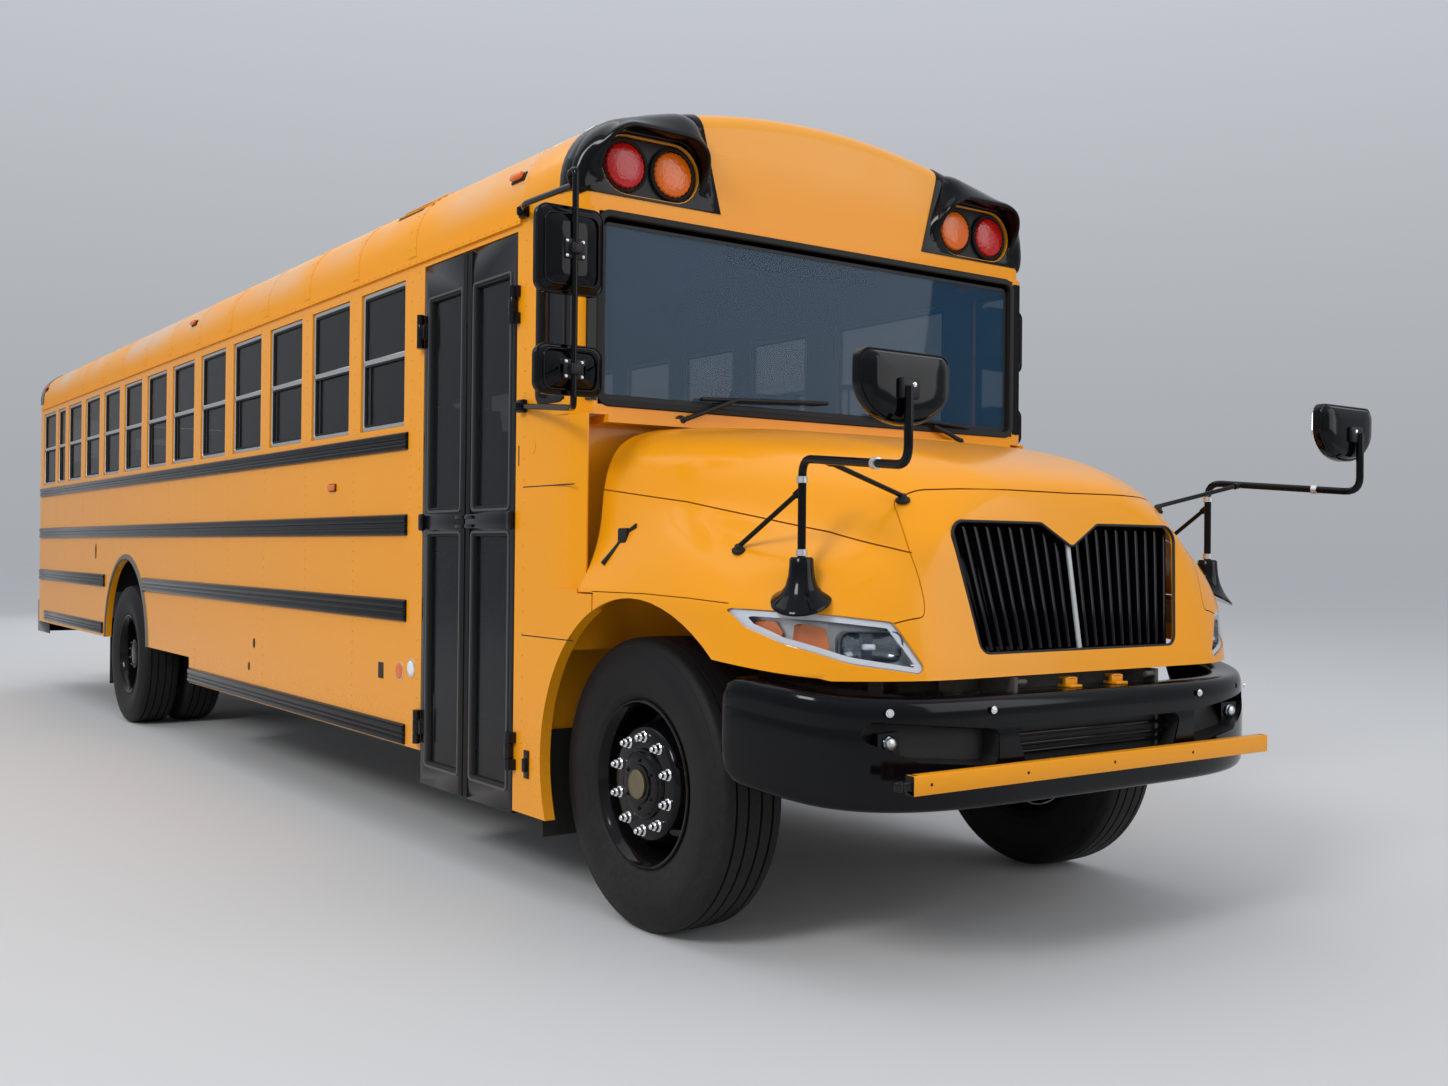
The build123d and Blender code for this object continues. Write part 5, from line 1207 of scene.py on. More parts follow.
def rearWheels(side):
    hand = "left" if side > 0 else "right"
    w = wheelShape
    low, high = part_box("rear_tyres_" + hand)
    x, z = rearAxle, axleHeight
    places = [low.y + w["twinEdge"], high.y - w["twinEdge"]]
    innerY, outerY = places if side > 0 else reversed(places)
    tyres = [buildTyre("rearTyre", (x, y, z)) for y in (innerY, outerY)]
    fitted(joined("rearTyres" + hand.title(), tyres), "rear_wheels_" + hand, "tyre", "rear_tyres_" + hand)
    pieces = buildRim("rearRimOuter", (x, outerY, z), side, "rearDisc")
    pieces += buildRim("rearRimInner", (x, innerY, z), -side, "rearDisc")
    pieces.append(spun("rearHub", acrossWheel(w["rearHub"], side), "glossBlack", 48, (x, outerY, z),
                       closed=False, soft=30))
    pieces.append(nutRing("rearLugs", w["lugs"], w["lugCircle"], (x, outerY - side * 0.098, z), side,
                          "chrome"))
    pieces.append(nutRing("axleBolts", 8, 0.088, (x, outerY + side * 0.079, z), side, "castIron",
                          flange=0.011, hexSize=0.0095, stud=0.005, long=0.014))
    fitted(joined("rearRims" + hand.title(), pieces), "rear_wheels_" + hand, "black_paint",
           "rear_rims_" + hand)


for side in (-1, 1):
    frontWheel(side)
    rearWheels(side)
print("wheels made")

# front bumper: plan run of its outer face, section as (depth behind the face, share of the height)
bumper = {"run": [(0.566, 1.192), (0.720, 1.172), (0.900, 1.120), (1.010, 1.020), (1.090, 0.880),
                  (1.140, 0.700), (1.158, 0.480), (1.160, 0.240), (1.160, 0.0)],
          "section": [(0.055, 0.02), (0.030, 0.0), (0.010, 0.02), (0.002, 0.07), (0.0, 0.16), (0.0, 0.62),
                      (0.004, 0.70), (0.003, 0.78), (0.004, 0.90), (0.014, 0.975), (0.034, 1.0),
                      (0.120, 0.995), (0.120, 0.965), (0.040, 0.955)],
          "ends": (0.622, 0.972), "nose": (0.556, 0.912),
          "intake": [(-0.375, 0.672), (0.375, 0.672), (0.425, 0.806), (-0.425, 0.806)],
          "lampRecess": [(0.500, 0.690), (0.800, 0.716), (0.985, 0.790), (0.955, 0.846), (0.500, 0.808)],
          "trayRows": [(-0.006, 0.080), (-0.006, 0.008), (0.001, 0.007), (0.010, 0.070)],
          "fog": (0.872, 0.772), "fogSink": 0.052, "fogPlate": (0.046, 0.034),
          "fogRows": [(0.027, 0.0, "smokedChrome"), (0.021, 0.009, "aluminium")],
          "bars": [(0.742, 1.118), (0.715, 1.110), (0.772, 1.110)], "barHalf": 0.405, "barThick": 0.012,
          # bolts as (y, height, lead, how much they look aside)
          "bolts": [(0.905, 0.872, 1.082, 0.6), (0.530, 0.868, 1.156, 0)],
          "hooks": (-0.070, 0.170),
          "hookParts": [((1.040, 1.100), 0.030, (0.911, 0.921)), ((1.062, 1.078), 0.030, (0.920, 0.944)),
                        ((1.040, 1.078), 0.022, (0.936, 0.946))]}


def bumperPoint(station, depth, share):
    run = bumper["run"]
    lead, y = run[station]
    before = Vector(run[max(0, station - 1)])
    after = Vector(run[station + 1]) if station + 1 < len(run) else Vector((lead, -run[station - 1][1]))
    along = (after - before).normalized()
    normal = Vector((-along.y, along.x))
    if normal.x < 0:
        normal = -normal
    blend = min(1.0, max(0.0, (lead - run[0][0]) / (run[-1][0] - run[0][0])))
    blend = blend * blend * (3 - 2 * blend)
    low = bumper["ends"][0] * (1 - blend) + bumper["nose"][0] * blend
    high = bumper["ends"][1] * (1 - blend) + bumper["nose"][1] * blend
    spot = Vector((lead, y)) - normal * depth
    return (ahead(spot.x), spot.y, low + (high - low) * share)


def bumperLead(y):
    # lead of the outer face at a distance from the middle
    run = bumper["run"]
    for (lead0, y0), (lead1, y1) in zip(run, run[1:]):
        if y1 <= abs(y) <= y0:
            return lead1 + (lead0 - lead1) * (abs(y) - y1) / (y0 - y1)
    return run[0][0]


def bumperSkin():
    b = bumper
    rings = []
    for station in range(len(b["run"])):
        rings.append([bumperPoint(station, depth, share) for depth, share in b["section"]])
    rings += [[(x, -y, z) for x, y, z in ring] for ring in reversed(rings[:-1])]
    skin = subdivided(loftRings("bumperSkin", rings, "glossBlack"), 2)
    carve(skin, prismX("intake", eased(b["intake"], 0.028), 0.95, 1.3))
    for outline in (b["lampRecess"], mirroredOutline(b["lampRecess"])):
        carve(skin, prismX("lampRecess", eased(outline, 0.03), 0.85, 1.3))
    smooth(skin, 34)
    return skin


def bumperInsets():
    # dark trays behind the openings, a fog lamp in each outer one, and bars across the middle one
    b = bumper
    parts = []
    for outline in (b["intake"], b["lampRecess"], mirroredOutline(b["lampRecess"])):
        ring = eased(outline, 0.03)
        rings = [[(ahead(bumperLead(y) - deep), y, z) for y, z in inset(ring, drawn)]
                 for drawn, deep in b["trayRows"]]
        parts.append(loftRings("recessTray", rings, "blackPlastic", soft=30))
    half, tall = b["fogPlate"]
    for side in (-1, 1):
        y, z = side * b["fog"][0], b["fog"][1]
        x = ahead(bumperLead(y) - b["fogSink"])
        for radius, deep, finish in b["fogRows"]:
            parts.append(lensPiece("fogLamp", (x + deep, y, z), 1, radius, finish, 0, 0.014))
        parts.append(slab("fogPlate", "glossBlack", (x - 0.020, x + 0.002), near(y, half), near(z, tall)))
    for z, front in b["bars"]:
        parts.append(slab("intakeBar", "glossBlack", between(front - b["barThick"], front),
                          (-b["barHalf"], b["barHalf"]), near(z, b["barThick"] / 2), 0.003))
    return parts


def buildBumper():
    b = bumper
    whole = joined("frontBumper", [bumperSkin()] + bumperInsets())
    fitted(whole, "bus", "gloss_black_plastic", "front_bumper")
    places = []
    for y, z, lead, aside in b["bolts"]:
        for side in (-1, 1):
            places.append(((ahead(lead), side * y, z), tuple(Vector((1, side * aside, 0)).normalized())))
    bolts = studs("bumperBolts", places, "chrome", flange=0.013, hexSize=0.010, stud=0.004, long=0.008)
    fitted(bolts, "bus", "aluminium")
    hooks = []
    for y in b["hooks"]:
        for leads, half, heights in b["hookParts"]:
            hooks.append(slab("catchHook", "busYellow", between(*leads), near(y, half), heights, 0.003))
    fitted(joined("hoodCatches", hooks), "bus", "body_paint")


buildBumper()
print("bumper made")

# roof section, shared by the cap, its lamp pods and the roof bows
roofShape = {"radius": 3.4, "eave": 0.28, "low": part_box("front_cap")[0].z,
             "capRear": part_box("front_cap")[0].x,
             "capFace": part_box("front_cap")[1].x, "capRound": 0.075, "capSkin": 0.018}


def roofCentres():
    # middle and angle of the eave's arc, and the height of the crown arc's middle
    r = roofShape
    crownZ = roofCrown - r["radius"]
    eaveY = bodyHalf - r["eave"]
    reach = r["radius"] - r["eave"]
    return crownZ, eaveY, crownZ + sqrt(reach * reach - eaveY * eaveY)


def roofHalf(drop=0.0, low=None, side=1):
    # half of the roof section drawn in by drop, from the eave up to the crown
    r = roofShape
    crownZ, eaveY, eaveZ = roofCentres()
    meet = atan2(eaveZ - crownZ, eaveY)
    points = [(bodyHalf - drop, r["low"] if low is None else low)]
    for step in range(11):
        turn = meet * step / 10
        points.append((eaveY + (r["eave"] - drop) * cos(turn), eaveZ + (r["eave"] - drop) * sin(turn)))
    for step in range(1, 13):
        turn = meet + (pi / 2 - meet) * step / 12
        points.append(((r["radius"] - drop) * cos(turn), crownZ + (r["radius"] - drop) * sin(turn)))
    return [(side * y, z) for y, z in points]


def roofRing(x, drop=0.0, low=None):
    right = roofHalf(drop, low, -1)
    left = roofHalf(drop, low, 1)
    return [(x, y, z) for y, z in right] + [(x, y, z) for y, z in reversed(left[:-1])]


def capSkin(name, lift, finish, back):
    # open skin of the front cap with its rounded front edge, lifted a little off the real one
    r = roofShape
    face = r["capFace"] + lift
    rings = [roofRing(back, -lift)]
    for step in range(8):
        turn = pi / 2 * step / 7
        rings.append(roofRing(face - r["capRound"] * (1 - sin(turn)), r["capRound"] * (1 - cos(turn)) - lift))
    count = len(rings[0])
    points = [p for ring in rings for p in ring]
    faces = []
    for row in range(len(rings) - 1):
        for col in range(count - 1):
            a = row * count + col
            faces.append((a, a + 1, a + count + 1, a + count))
    last = (len(rings) - 1) * count
    for col in range(count // 2):
        a, b = last + col, last + count - 1 - col
        faces.append((a, a + 1, b - 1, b) if b - 1 != a + 1 else (a, a + 1, b))
    obj = makeMesh(name, points, faces, finish)
    outward(obj)
    return obj


def faceForward(cap):
    # turns the cap's skin so that its front looks ahead
    front = Vector((roofShape["capFace"], 0, 2.9))
    if min(cap.data.polygons, key=lambda face: (face.center - front).length).normal.x < 0:
        cap.data.flip_normals()


def podHole(side, radius):
    return [(side * y, z) for y, z in stadium(radius)]


def buildCap():
    r = roofShape
    cap = capSkin("frontCapSkin", 0.0, "busYellow", r["capRear"])
    faceForward(cap)
    walled(cap, r["capSkin"])
    for side in (-1, 1):
        carve(cap, prismX("lampRoom", podHole(side, pod["ring"] - 0.004), -0.45, -0.2))
    smooth(cap, 32)
    fitted(cap, "bus", "body_paint", "front_cap")


# warning lamp pods: black skin over the cap corners, a deep brow round each pair of lamps
pod = {"lift": 0.004, "wrap": 0.110, "innerLow": 0.552, "innerHigh": 0.672, "high": 3.16, "low": 2.706,
       "lampZ": 2.831, "lampSides": (0.774, 0.994), "ring": 0.116, "floor": 0.030, "reach": 0.088,
       "lensRadius": 0.088, "scallops": 24, "wall": 0.034,
       "rubber": [(0.104, -0.010), (0.104, 0.010), (0.098, 0.016), (0.091, 0.010), (0.091, -0.010)]}


def podOutline():
    p = pod
    return [(p["innerLow"], p["low"]), (p["innerHigh"], p["high"]), (1.4, p["high"]), (1.4, p["low"])]


def stadium(radius, steps=14):
    # outline round both lamps of one side, drawn as (out, up)
    inner, outer = pod["lampSides"]
    points = []
    for step in range(steps + 1):
        turn = -pi / 2 + pi * step / steps
        points.append((outer + radius * cos(turn), pod["lampZ"] + radius * sin(turn)))
    for step in range(steps + 1):
        turn = pi / 2 + pi * step / steps
        points.append((inner + radius * cos(turn), pod["lampZ"] + radius * sin(turn)))
    return points


def podEdgeReach(spot, way):
    # how far a pod reaches from a spot in one direction before it meets its own edge
    edge = [(pod["innerLow"], pod["low"]), (pod["innerHigh"], 3.05)] + list(reversed(roofHalf(-pod["lift"])))
    edge = [q for q in edge if q[0] > 0.55]
    best = 0.14
    for a, b in zip(edge, edge[1:] + edge[:1]):
        a, b = Vector(a), Vector(b)
        run = b - a
        cross = way.x * run.y - way.y * run.x
        if abs(cross) < 1e-9:
            continue
        gap = a - spot
        reach = (gap.x * run.y - gap.y * run.x) / cross
        share = (gap.x * way.y - gap.y * way.x) / cross
        if 0.01 < reach < best and 0 <= share <= 1:
            best = reach
    return best


def browStations():
    # spots round the upper part of the lamp outline with the direction away from the lamps
    inner, outer = pod["lampSides"]
    stations = []
    for step in range(17):
        turn = radians(-38) + (pi / 2 - radians(-38)) * step / 16
        stations.append((outer, turn))
    for step in range(1, 4):
        stations.append((outer + (inner - outer) * step / 4, pi / 2))
    for step in range(17):
        turn = pi / 2 + (pi + radians(30) - pi / 2) * step / 16
        stations.append((inner, turn))
    return stations


def buildBrow(side):
    p = pod
    face = roofShape["capFace"]
    back = face - 0.030
    stations = browStations()
    rings = []
    for place, (centre, turn) in enumerate(stations):
        share = place / (len(stations) - 1)
        fade = min(1.0, share / 0.34, (1 - share) / 0.30)
        fade = fade * fade * (3 - 2 * fade)
        reach = 0.004 + p["reach"] * fade
        way = Vector((cos(turn), sin(turn)))
        root = Vector((centre, p["lampZ"])) + way * p["ring"]
        wide = podEdgeReach(root, way)
        section = [(back, 0.0), (face + reach * 0.55, 0.002), (face + reach, 0.006),
                   (face + reach + 0.005, 0.012),
                   (face + reach + 0.003, 0.019), (face + reach * 0.93, 0.026 + 0.05 * wide),
                   (face + reach * 0.66, wide * 0.52), (face + reach * 0.30, wide * 0.80),
                   (face - 0.012, wide * 0.95), (face - 0.034, wide), (back - 0.02, wide * 0.9)]
        ring = []
        for x, out in section:
            spot = root + way * out
            ring.append((x, side * spot.x, spot.y))
        rings.append(ring)
    brow = subdivided(loftRings("lampBrow", rings, "glossBlack"), 1)
    smooth(brow, 50)
    return brow


def wheelX(name, centre, facing, profile, finish, sides=40, soft=None):
    # profile of (radius, out) turned about an axis along X
    piece = spun(name, [(r, y * facing) for r, y in profile], finish, sides)
    piece.data.transform(Matrix.Translation(Vector(centre)) @ Matrix.Rotation(-pi / 2, 4, "Z"))
    if soft:
        smooth(piece, soft)
    return piece


def buildPods():
    p = pod
    face = roofShape["capFace"]
    floorLead = face - frontAxle
    black, lenses = [], []
    for side in (-1, 1):
        skin = capSkin("podSkin", p["lift"], "glossBlack", face - p["wrap"])
        faceForward(skin)
        walled(skin, p["wall"])
        carve(skin, prismX("podZone", [(side * y, z) for y, z in podOutline()], -0.6, -0.2), "INTERSECT")
        carve(skin, prismX("lampRoom", podHole(side, p["ring"] - 0.001), -0.6, -0.2))
        bevelled(skin, 0.003, 2, 40)
        floor = prismX("podFloor", podHole(side, p["ring"] + 0.004), floorLead - 0.034, floorLead - 0.026)
        floor.data.materials.append(materials["blackPlastic"])
        black += [skin, floor, buildBrow(side)]
        for out, finish in zip(p["lampSides"], ("lensAmber", "lensRed")):
            y, z = side * out, p["lampZ"]
            black.append(wheelX("lampRubber", (face - 0.022, y, z), 1, p["rubber"], "rubber", 48, 40))
            lenses.append(lensPiece("warningLens", (face - 0.018, y, z), 1, p["lensRadius"], finish,
                                    p["scallops"]))
    return black, lenses


buildCap()
podsFront, lensesFront = buildPods()
print("cap and lamp pods made")


# rear lamps: the same pairs under plain rear brows, and the tail lamps below
tailRows = [(0.930, 1.560, 0.092, "lensRed"), (0.930, 1.330, 0.060, "lensRed"),
            (0.760, 1.560, 0.060, "lensAmber")]


rearRubber = [(0.104, 0.0), (0.104, 0.020), (0.098, 0.026), (0.089, 0.020), (0.089, 0.0)]


def buildRearLamps():
    p = pod
    lenses, black = [], []
    for side in (-1, 1):
        for out, finish in zip(p["lampSides"], ("lensAmber", "lensRed")):
            y, z = side * out, p["lampZ"]
            lenses.append(lensPiece("rearWarning", (bodyRear - 0.026, y, z), -1, p["lensRadius"], finish,
                                    p["scallops"], 0.018))
            black.append(wheelX("rearRubber", (bodyRear - 0.008, y, z), -1, rearRubber, "rubber", 48, 40))
        for out, z, radius, finish in tailRows:
            y, inner = side * out, radius - 0.012
            lenses.append(lensPiece("tailLens", (bodyRear - 0.008, y, z), -1, radius - 0.008, finish, 0,
                                    0.013))
            section = [(radius, -0.001), (radius, 0.010), (radius - 0.006, 0.015), (inner, 0.010),
                       (inner, -0.001)]
            black.append(wheelX("tailRubber", (bodyRear, y, z), -1, section, "rubber", 48, 40))
    return black, lenses


def rearBrows():
    # the rear pods keep the CAD hoods' shape, with eased edges
    whole = dressed("lampVisorCopy", "lamp_visors", "glossBlack")
    work = bmesh.new()
    work.from_mesh(whole.data)
    stray = [v for v in work.verts if v.co.x > 0]
    bmesh.ops.delete(work, geom=stray, context="VERTS")
    work.to_mesh(whole.data)
    work.free()
    smooth(whole, 30)
    return whole


rearBlack, rearLenses = buildRearLamps()
fitted(joined("lampPods", podsFront + [rearBrows()]), "bus", "gloss_black_plastic", "lamp_visors")
fitted(joined("lampRubbers", rearBlack), "bus", "rubber")
fitted(joined("warningLamps", lensesFront + rearLenses), "bus", "lamp_lens", "signal_lamps")
print("lamps made")

# glazing: black gaskets round the windshield and the corner windows
glazing = {"low": 1.908, "high": 2.636, "half": 1.125, "round": 0.045, "gasket": 0.026, "proud": 0.008}


def frameRing(name, outline, thick, base, shoulder, face, place, finish):
    # flat ring along an outline, from its base over the shoulders to its face; place sets a point in the bus
    rings = []
    for part, level in ((2, base), (-2, base), (-2, shoulder), (-3, face), (3, face), (2, shoulder),
                        (2, base)):
        rings.append([place(a, b, level) for a, b in inset(outline, thick / part)])
    return loftRings(name, rings, finish, caps=False, soft=30)


def frameX(name, outline, thick, lead0, lead1, finish):
    # ring that follows an outline seen from the front
    return frameRing(name, outline, thick, lead0, lead1 - 0.003, lead1,
                     lambda y, z, lead: (ahead(lead), y, z), finish)


def frameY(name, outline, thick, y0, y1, finish):
    # the same seen from the side, outline given as (x, z), from the wall y0 out to y1
    return frameRing(name, outline, thick, y0, y0 + (y1 - y0) * 0.7, y1, lambda x, z, y: (x, y, z), finish)


def buildGlazing():
    g = glazing
    front = bodyFront - frontAxle
    half, low, high = g["half"], g["low"], g["high"]
    outline = roundedRect(-half + 0.006, low + 0.006, half - 0.006, high - 0.006, g["round"])
    parts = [frameX("windshieldGasket", outline, g["gasket"], front - 0.024, front + 0.006, "rubber")]
    # black border printed on the glass behind the gasket
    printed = (front - 0.0175, front - 0.0165)
    parts.append(frameX("windshieldBorder", inset(outline, 0.020), 0.030, *printed, "blackPlastic"))
    parts.append(slab("windshieldShade", "blackPlastic", between(*printed), (-half + 0.01, half - 0.01),
                      (high - 0.050, high - 0.01)))
    for side in (-1, 1):
        corner = roundedRect(ahead(-0.600) + 0.004, 1.929, ahead(-0.385) - 0.004, 2.596, 0.035)
        parts.append(frameY("cornerGasket", corner, 0.026, side * (bodyHalf - 0.022),
                            side * (bodyHalf + 0.006),
                            "rubber"))
    fitted(joined("windshieldGaskets", parts), "bus", "rubber")


buildGlazing()
print("glazing made")


def stood(piece, place, turn):
    # turns a piece that is drawn about the origin and moves it to its place
    piece.data.transform(Matrix.Translation(place) @ turn)
    return piece


def laidAlong(direction):
    # the turn that lays the Y axis along a direction
    return direction.to_track_quat("Y", "Z").to_matrix().to_4x4()


quarterX = Matrix.Rotation(pi / 2, 4, "X")


# cross-view mirrors: flared foot on the fender, bent post, two stays and a D-shaped head
crossview = {"foot": (0.822, 1.045), "headLead": 1.352, "headSide": 1.118, "headZ": 1.832, "half": 0.172,
             "top": 0.092, "drop": 0.116, "post": 0.0135, "stay": 0.0085, "arm": (1.404, 1.143, 1.602),
             "postTop": 1.652, "rearStay": (0.540, 1.080, 1.556), "frontStay": (0.868, 0.660, 0.23),
             "bell": [(0.096, 0.0, 0.0), (0.096, 0.008, 0.0), (0.088, 0.015, 0.0), (0.066, 0.028, 0.35),
                      (0.050, 0.050, 0.75), (0.042, 0.080, 1.0), (0.039, 0.112, 1.0), (0.038, 0.132, 1.0),
                      (0.033, 0.138, 1.0), (0.014, 0.139, 1.0)],
             "shoe": [(0.024, -0.004), (0.024, 0.005), (0.016, 0.009), (0.012, 0.020), (0.001, 0.024)],
             "clamp": [(0.0130, -0.011), (0.0180, -0.010), (0.0180, 0.010), (0.0130, 0.011)],
             "dome": [(0.985, -0.020), (1.0, -0.016), (1.0, 0.006), (0.988, 0.012), (0.965, 0.014),
                      (0.935, 0.013),
                      (0.910, 0.018), (0.850, 0.028), (0.70, 0.034), (0.45, 0.036), (0.15, 0.037)],
             "glass": [(0.965, -0.019), (0.90, -0.036), (0.76, -0.050), (0.56, -0.060), (0.32, -0.065),
                       (0.12, -0.066)]}


def treeOf(obj):
    work = bmesh.new()
    work.from_mesh(obj.data)
    tree = BVHTree.FromBMesh(work)
    work.free()
    return tree


hoodTree = treeOf(hoodShell)


def onHood(lead, y):
    # height of the hood's outer skin over a spot
    hit = hoodTree.ray_cast(Vector((ahead(lead), y, 3.0)), Vector((0, 0, -1)))
    return hit[0].z if hit[0] else 1.2


def hoodSlope(lead, y, reach=0.03):
    # fall of the skin along the bus and across it round a spot
    along = (onHood(lead + reach, y) - onHood(lead - reach, y)) / (2 * reach)
    across = (onHood(lead, y + reach) - onHood(lead, y - reach)) / (2 * reach)
    return max(-0.3, min(0.3, along)), max(-0.35, min(0.35, across))


def headOutline():
    c = crossview
    half, top = c["half"], c["top"]
    points = eased([(-half, top), (half, top), (half, 0.0), (-half, 0.0)], [0.035, 0.035, 0, 0])
    points = [p for p in points if p[1] > 0.001]
    for step in range(25):
        turn = -pi * step / 24
        points.append((half * cos(turn), c["drop"] * sin(turn) * (1 if abs(sin(turn)) > 0.02 else 0)))
    return points


def headShell(name, rows, finish, side):
    c = crossview
    centre = Vector((ahead(c["headLead"]), side * c["headSide"], c["headZ"]))
    rings = []
    for share, out in rows:
        rings.append([(centre.x + out, centre.y + y * share, centre.z + (z + 0.01) * share - 0.01)
                      for y, z in headOutline()])
    return loftRings(name, rings, finish, soft=32)


def mirrorBell(lead, y, base):
    # flared foot that leans with the fender at its rim and stands upright at its top
    along, across = hoodSlope(lead, y)
    rings = []
    for radius, rise, level in crossview["bell"]:
        ring = []
        for turn in turns(36):
            lean = (along * radius * cos(turn) + across * radius * sin(turn)) * (1 - level)
            ring.append((ahead(lead + radius * cos(turn)), y + radius * sin(turn),
                         base + rise + lean - 0.006))
        rings.append(ring)
    return loftRings("mirrorFoot", rings, "glossBlack", soft=45)


def mirrorStay(lead, y, top):
    # thin stay from a rubber shoe on the hood up to a collar
    c = crossview
    foot = onHood(lead, y)
    start = Vector((ahead(lead), y, foot + 0.014))
    stay = tube("mirrorStay", [start, top], c["stay"], "glossBlack", 0.01, 12)
    shoe = spun("stayFoot", c["shoe"], "rubber", 20, closed=False)
    along, across = hoodSlope(lead, y)
    stood(shoe, (ahead(lead), y, foot), laidAlong(Vector((-along, -across, 1))))
    collar = [top + (start - top).normalized() * 0.034, top]
    return [stay, shoe, tube("stayCollar", collar, 0.0125, "glossBlack", 0.01, 12)]


def buildCrossview(side):
    c = crossview
    lead, out = c["foot"]
    y = side * out
    base = onHood(lead, y)
    armLead, armSide, armZ = c["arm"]
    corner = Vector((ahead(lead), y, c["postTop"]))
    elbow = Vector((ahead(armLead), side * armSide, armZ))
    run = elbow - corner
    arm = [(ahead(lead), y, base + 0.13), corner, elbow, elbow + Vector((0, 0, c["headZ"] - armZ - 0.012))]
    parts = [mirrorBell(lead, y, base), tube("mirrorPost", arm, c["post"], "glossBlack", 0.055, 16)]
    stayLead, stayOut, height = c["rearStay"]
    parts += mirrorStay(stayLead, side * stayOut, Vector((ahead(lead), y, height)))
    stayLead, stayOut, share = c["frontStay"]
    parts += mirrorStay(stayLead, side * stayOut, corner.lerp(elbow, share))
    silver = []
    for place, turn in (((ahead(lead), y, base + 0.146), quarterX), ((ahead(lead), y, 1.586), quarterX),
                        (corner + run * 0.72, laidAlong(run))):
        silver.append(stood(spun("postClamp", c["clamp"], "aluminium", 20), place, turn))
    parts.append(headShell("headBack", c["dome"], "glossBlack", side))
    x, mid, z = ahead(c["headLead"]), side * (c["headSide"] + 0.014), c["headZ"]
    parts.append(slab("headBracket", "blackPlastic", (x + 0.030, x + 0.052), near(mid, 0.034),
                      (z - 0.046, z + 0.012), 0.006))
    silver.append(lensPiece("bracketPin", (x + 0.050, mid - side * 0.012, z - 0.006), 1, 0.008, "chrome", 0,
                            0.006))
    return parts, silver + [headShell("headGlass", c["glass"], "chrome", side)]


def buildCrossviews():
    dark, bright = [], []
    for side in (-1, 1):
        parts, silver = buildCrossview(side)
        dark += parts
        bright += silver
    fitted(joined("crossviewMirrors", dark + bright), "hood", "gloss_black_plastic", "crossview_mirrors")


buildCrossviews()
print("cross-view mirrors made")

# door-side mirrors: two heads behind a hooked tube, arms to a bracket on the body
sideMirror = {"leads": {-1: -0.120, 1: -0.600}, "side": 1.362, "half": 0.135, "root": -0.700, "tube": 0.012,
              "upper": (2.262, 2.572), "lower": (1.905, 2.082), "front": 0.056, "round": 0.040,
              "roots": (2.690, 1.922), "joint": [(0.020, -0.016), (0.024, -0.012), (0.024, 0.012),
                                                 (0.020, 0.016)],
              "shell": [(1.0, -0.014), (1.0, 0.004), (0.965, 0.010), (0.93, 0.011), (0.90, 0.015),
                        (0.60, 0.036), (0.52, 0.038)],
              "ridges": [(0.985, 0.010), (0.80, 0.024)]}


def mirrorHead(x, y, low, high):
    m = sideMirror
    mid, half = (low + high) / 2, (high - low) / 2
    outline = roundedRect(-m["half"], -half, m["half"], half, m["round"])
    rings = []
    for share, out in m["shell"]:
        drawn = m["half"] * (1 - share)
        rings.append([(x + out, y + (a - drawn if a > 0 else a + drawn) * (1 if share > 0.7 else 0.72),
                       mid + (b - drawn if b > 0 else b + drawn)) for a, b in outline])
    parts = [loftRings("mirrorShell", rings, "glossBlack", soft=24)]
    for share, out in m["ridges"]:
        ridge = [(x + out, y + a * share, mid + b * share) for a, b in outline]
        parts.append(tube("mirrorRidge", ridge, 0.0035, "glossBlack", closed=True, sides=8))
    parts.append(slab("clampPlate", "blackPlastic", (x + 0.036, x + 0.046), near(y, 0.040), near(mid, 0.036),
                      0.004))
    parts.append(slab("clampStrap", "blackPlastic", (x + 0.044, x + 0.069), near(y, 0.021), near(mid, 0.020),
                      0.007, 3))
    glass = [[(x - deep, y + a * 0.94, mid + b * 0.94) for a, b in outline] for deep in (0.0155, 0.012)]
    parts.append(loftRings("mirrorGlass", glass, "chrome"))
    places = [((x + 0.046, y + dy, mid + dz), (1, 0, 0)) for dy in (-0.032, 0.032) for dz in (-0.026, 0.026)]
    parts.append(studs("clampBolts", places, "aluminium", flange=0.006, hexSize=0.005, stud=0.002,
                       long=0.005))
    return parts


def buildSideMirror(side):
    m = sideMirror
    x = ahead(m["leads"][side]) + 0.012
    y = side * m["side"]
    root = ahead(m["root"])
    wall = side * (bodyHalf + 0.012)
    front = x + m["front"] - 0.012
    top, foot = m["roots"]
    path = [(root, wall, top), (root + 0.10, wall + side * 0.055, top),
            (front - 0.055, y - side * 0.02, top - 0.035),
            (front - 0.050, y, top - 0.002), (front, y, top + 0.012), (front, y, top - 0.10),
            (front, y, foot + 0.02),
            (front, y, foot - 0.055), (front - 0.06, y - side * 0.03, foot - 0.058), (root, wall, foot)]
    parts = [tube("mirrorTube", path, m["tube"], "glossBlack", 0.045, 16)]
    for low, high in (m["upper"], m["lower"]):
        parts += mirrorHead(x, y, low, high)
    for z in m["roots"]:
        parts.append(slab("mirrorRoot", "glossBlack", near(root, 0.026),
                          (side * bodyHalf, wall + side * 0.013),
                          near(z, 0.026), 0.006))
        joint = spun("mirrorJoint", m["joint"], "glossBlack", 24)
        parts.append(stood(joint, (root, wall + side * 0.006, z), quarterX))
    return parts


fitted(joined("sideMirrors", buildSideMirror(-1) + buildSideMirror(1)), "bus", "gloss_black_plastic",
       "side_mirrors")
print("side mirrors made")

wiperPivot = [(0.020, 0.0), (0.020, 0.012), (0.013, 0.020), (0.013, 0.030), (0.001, 0.031)]


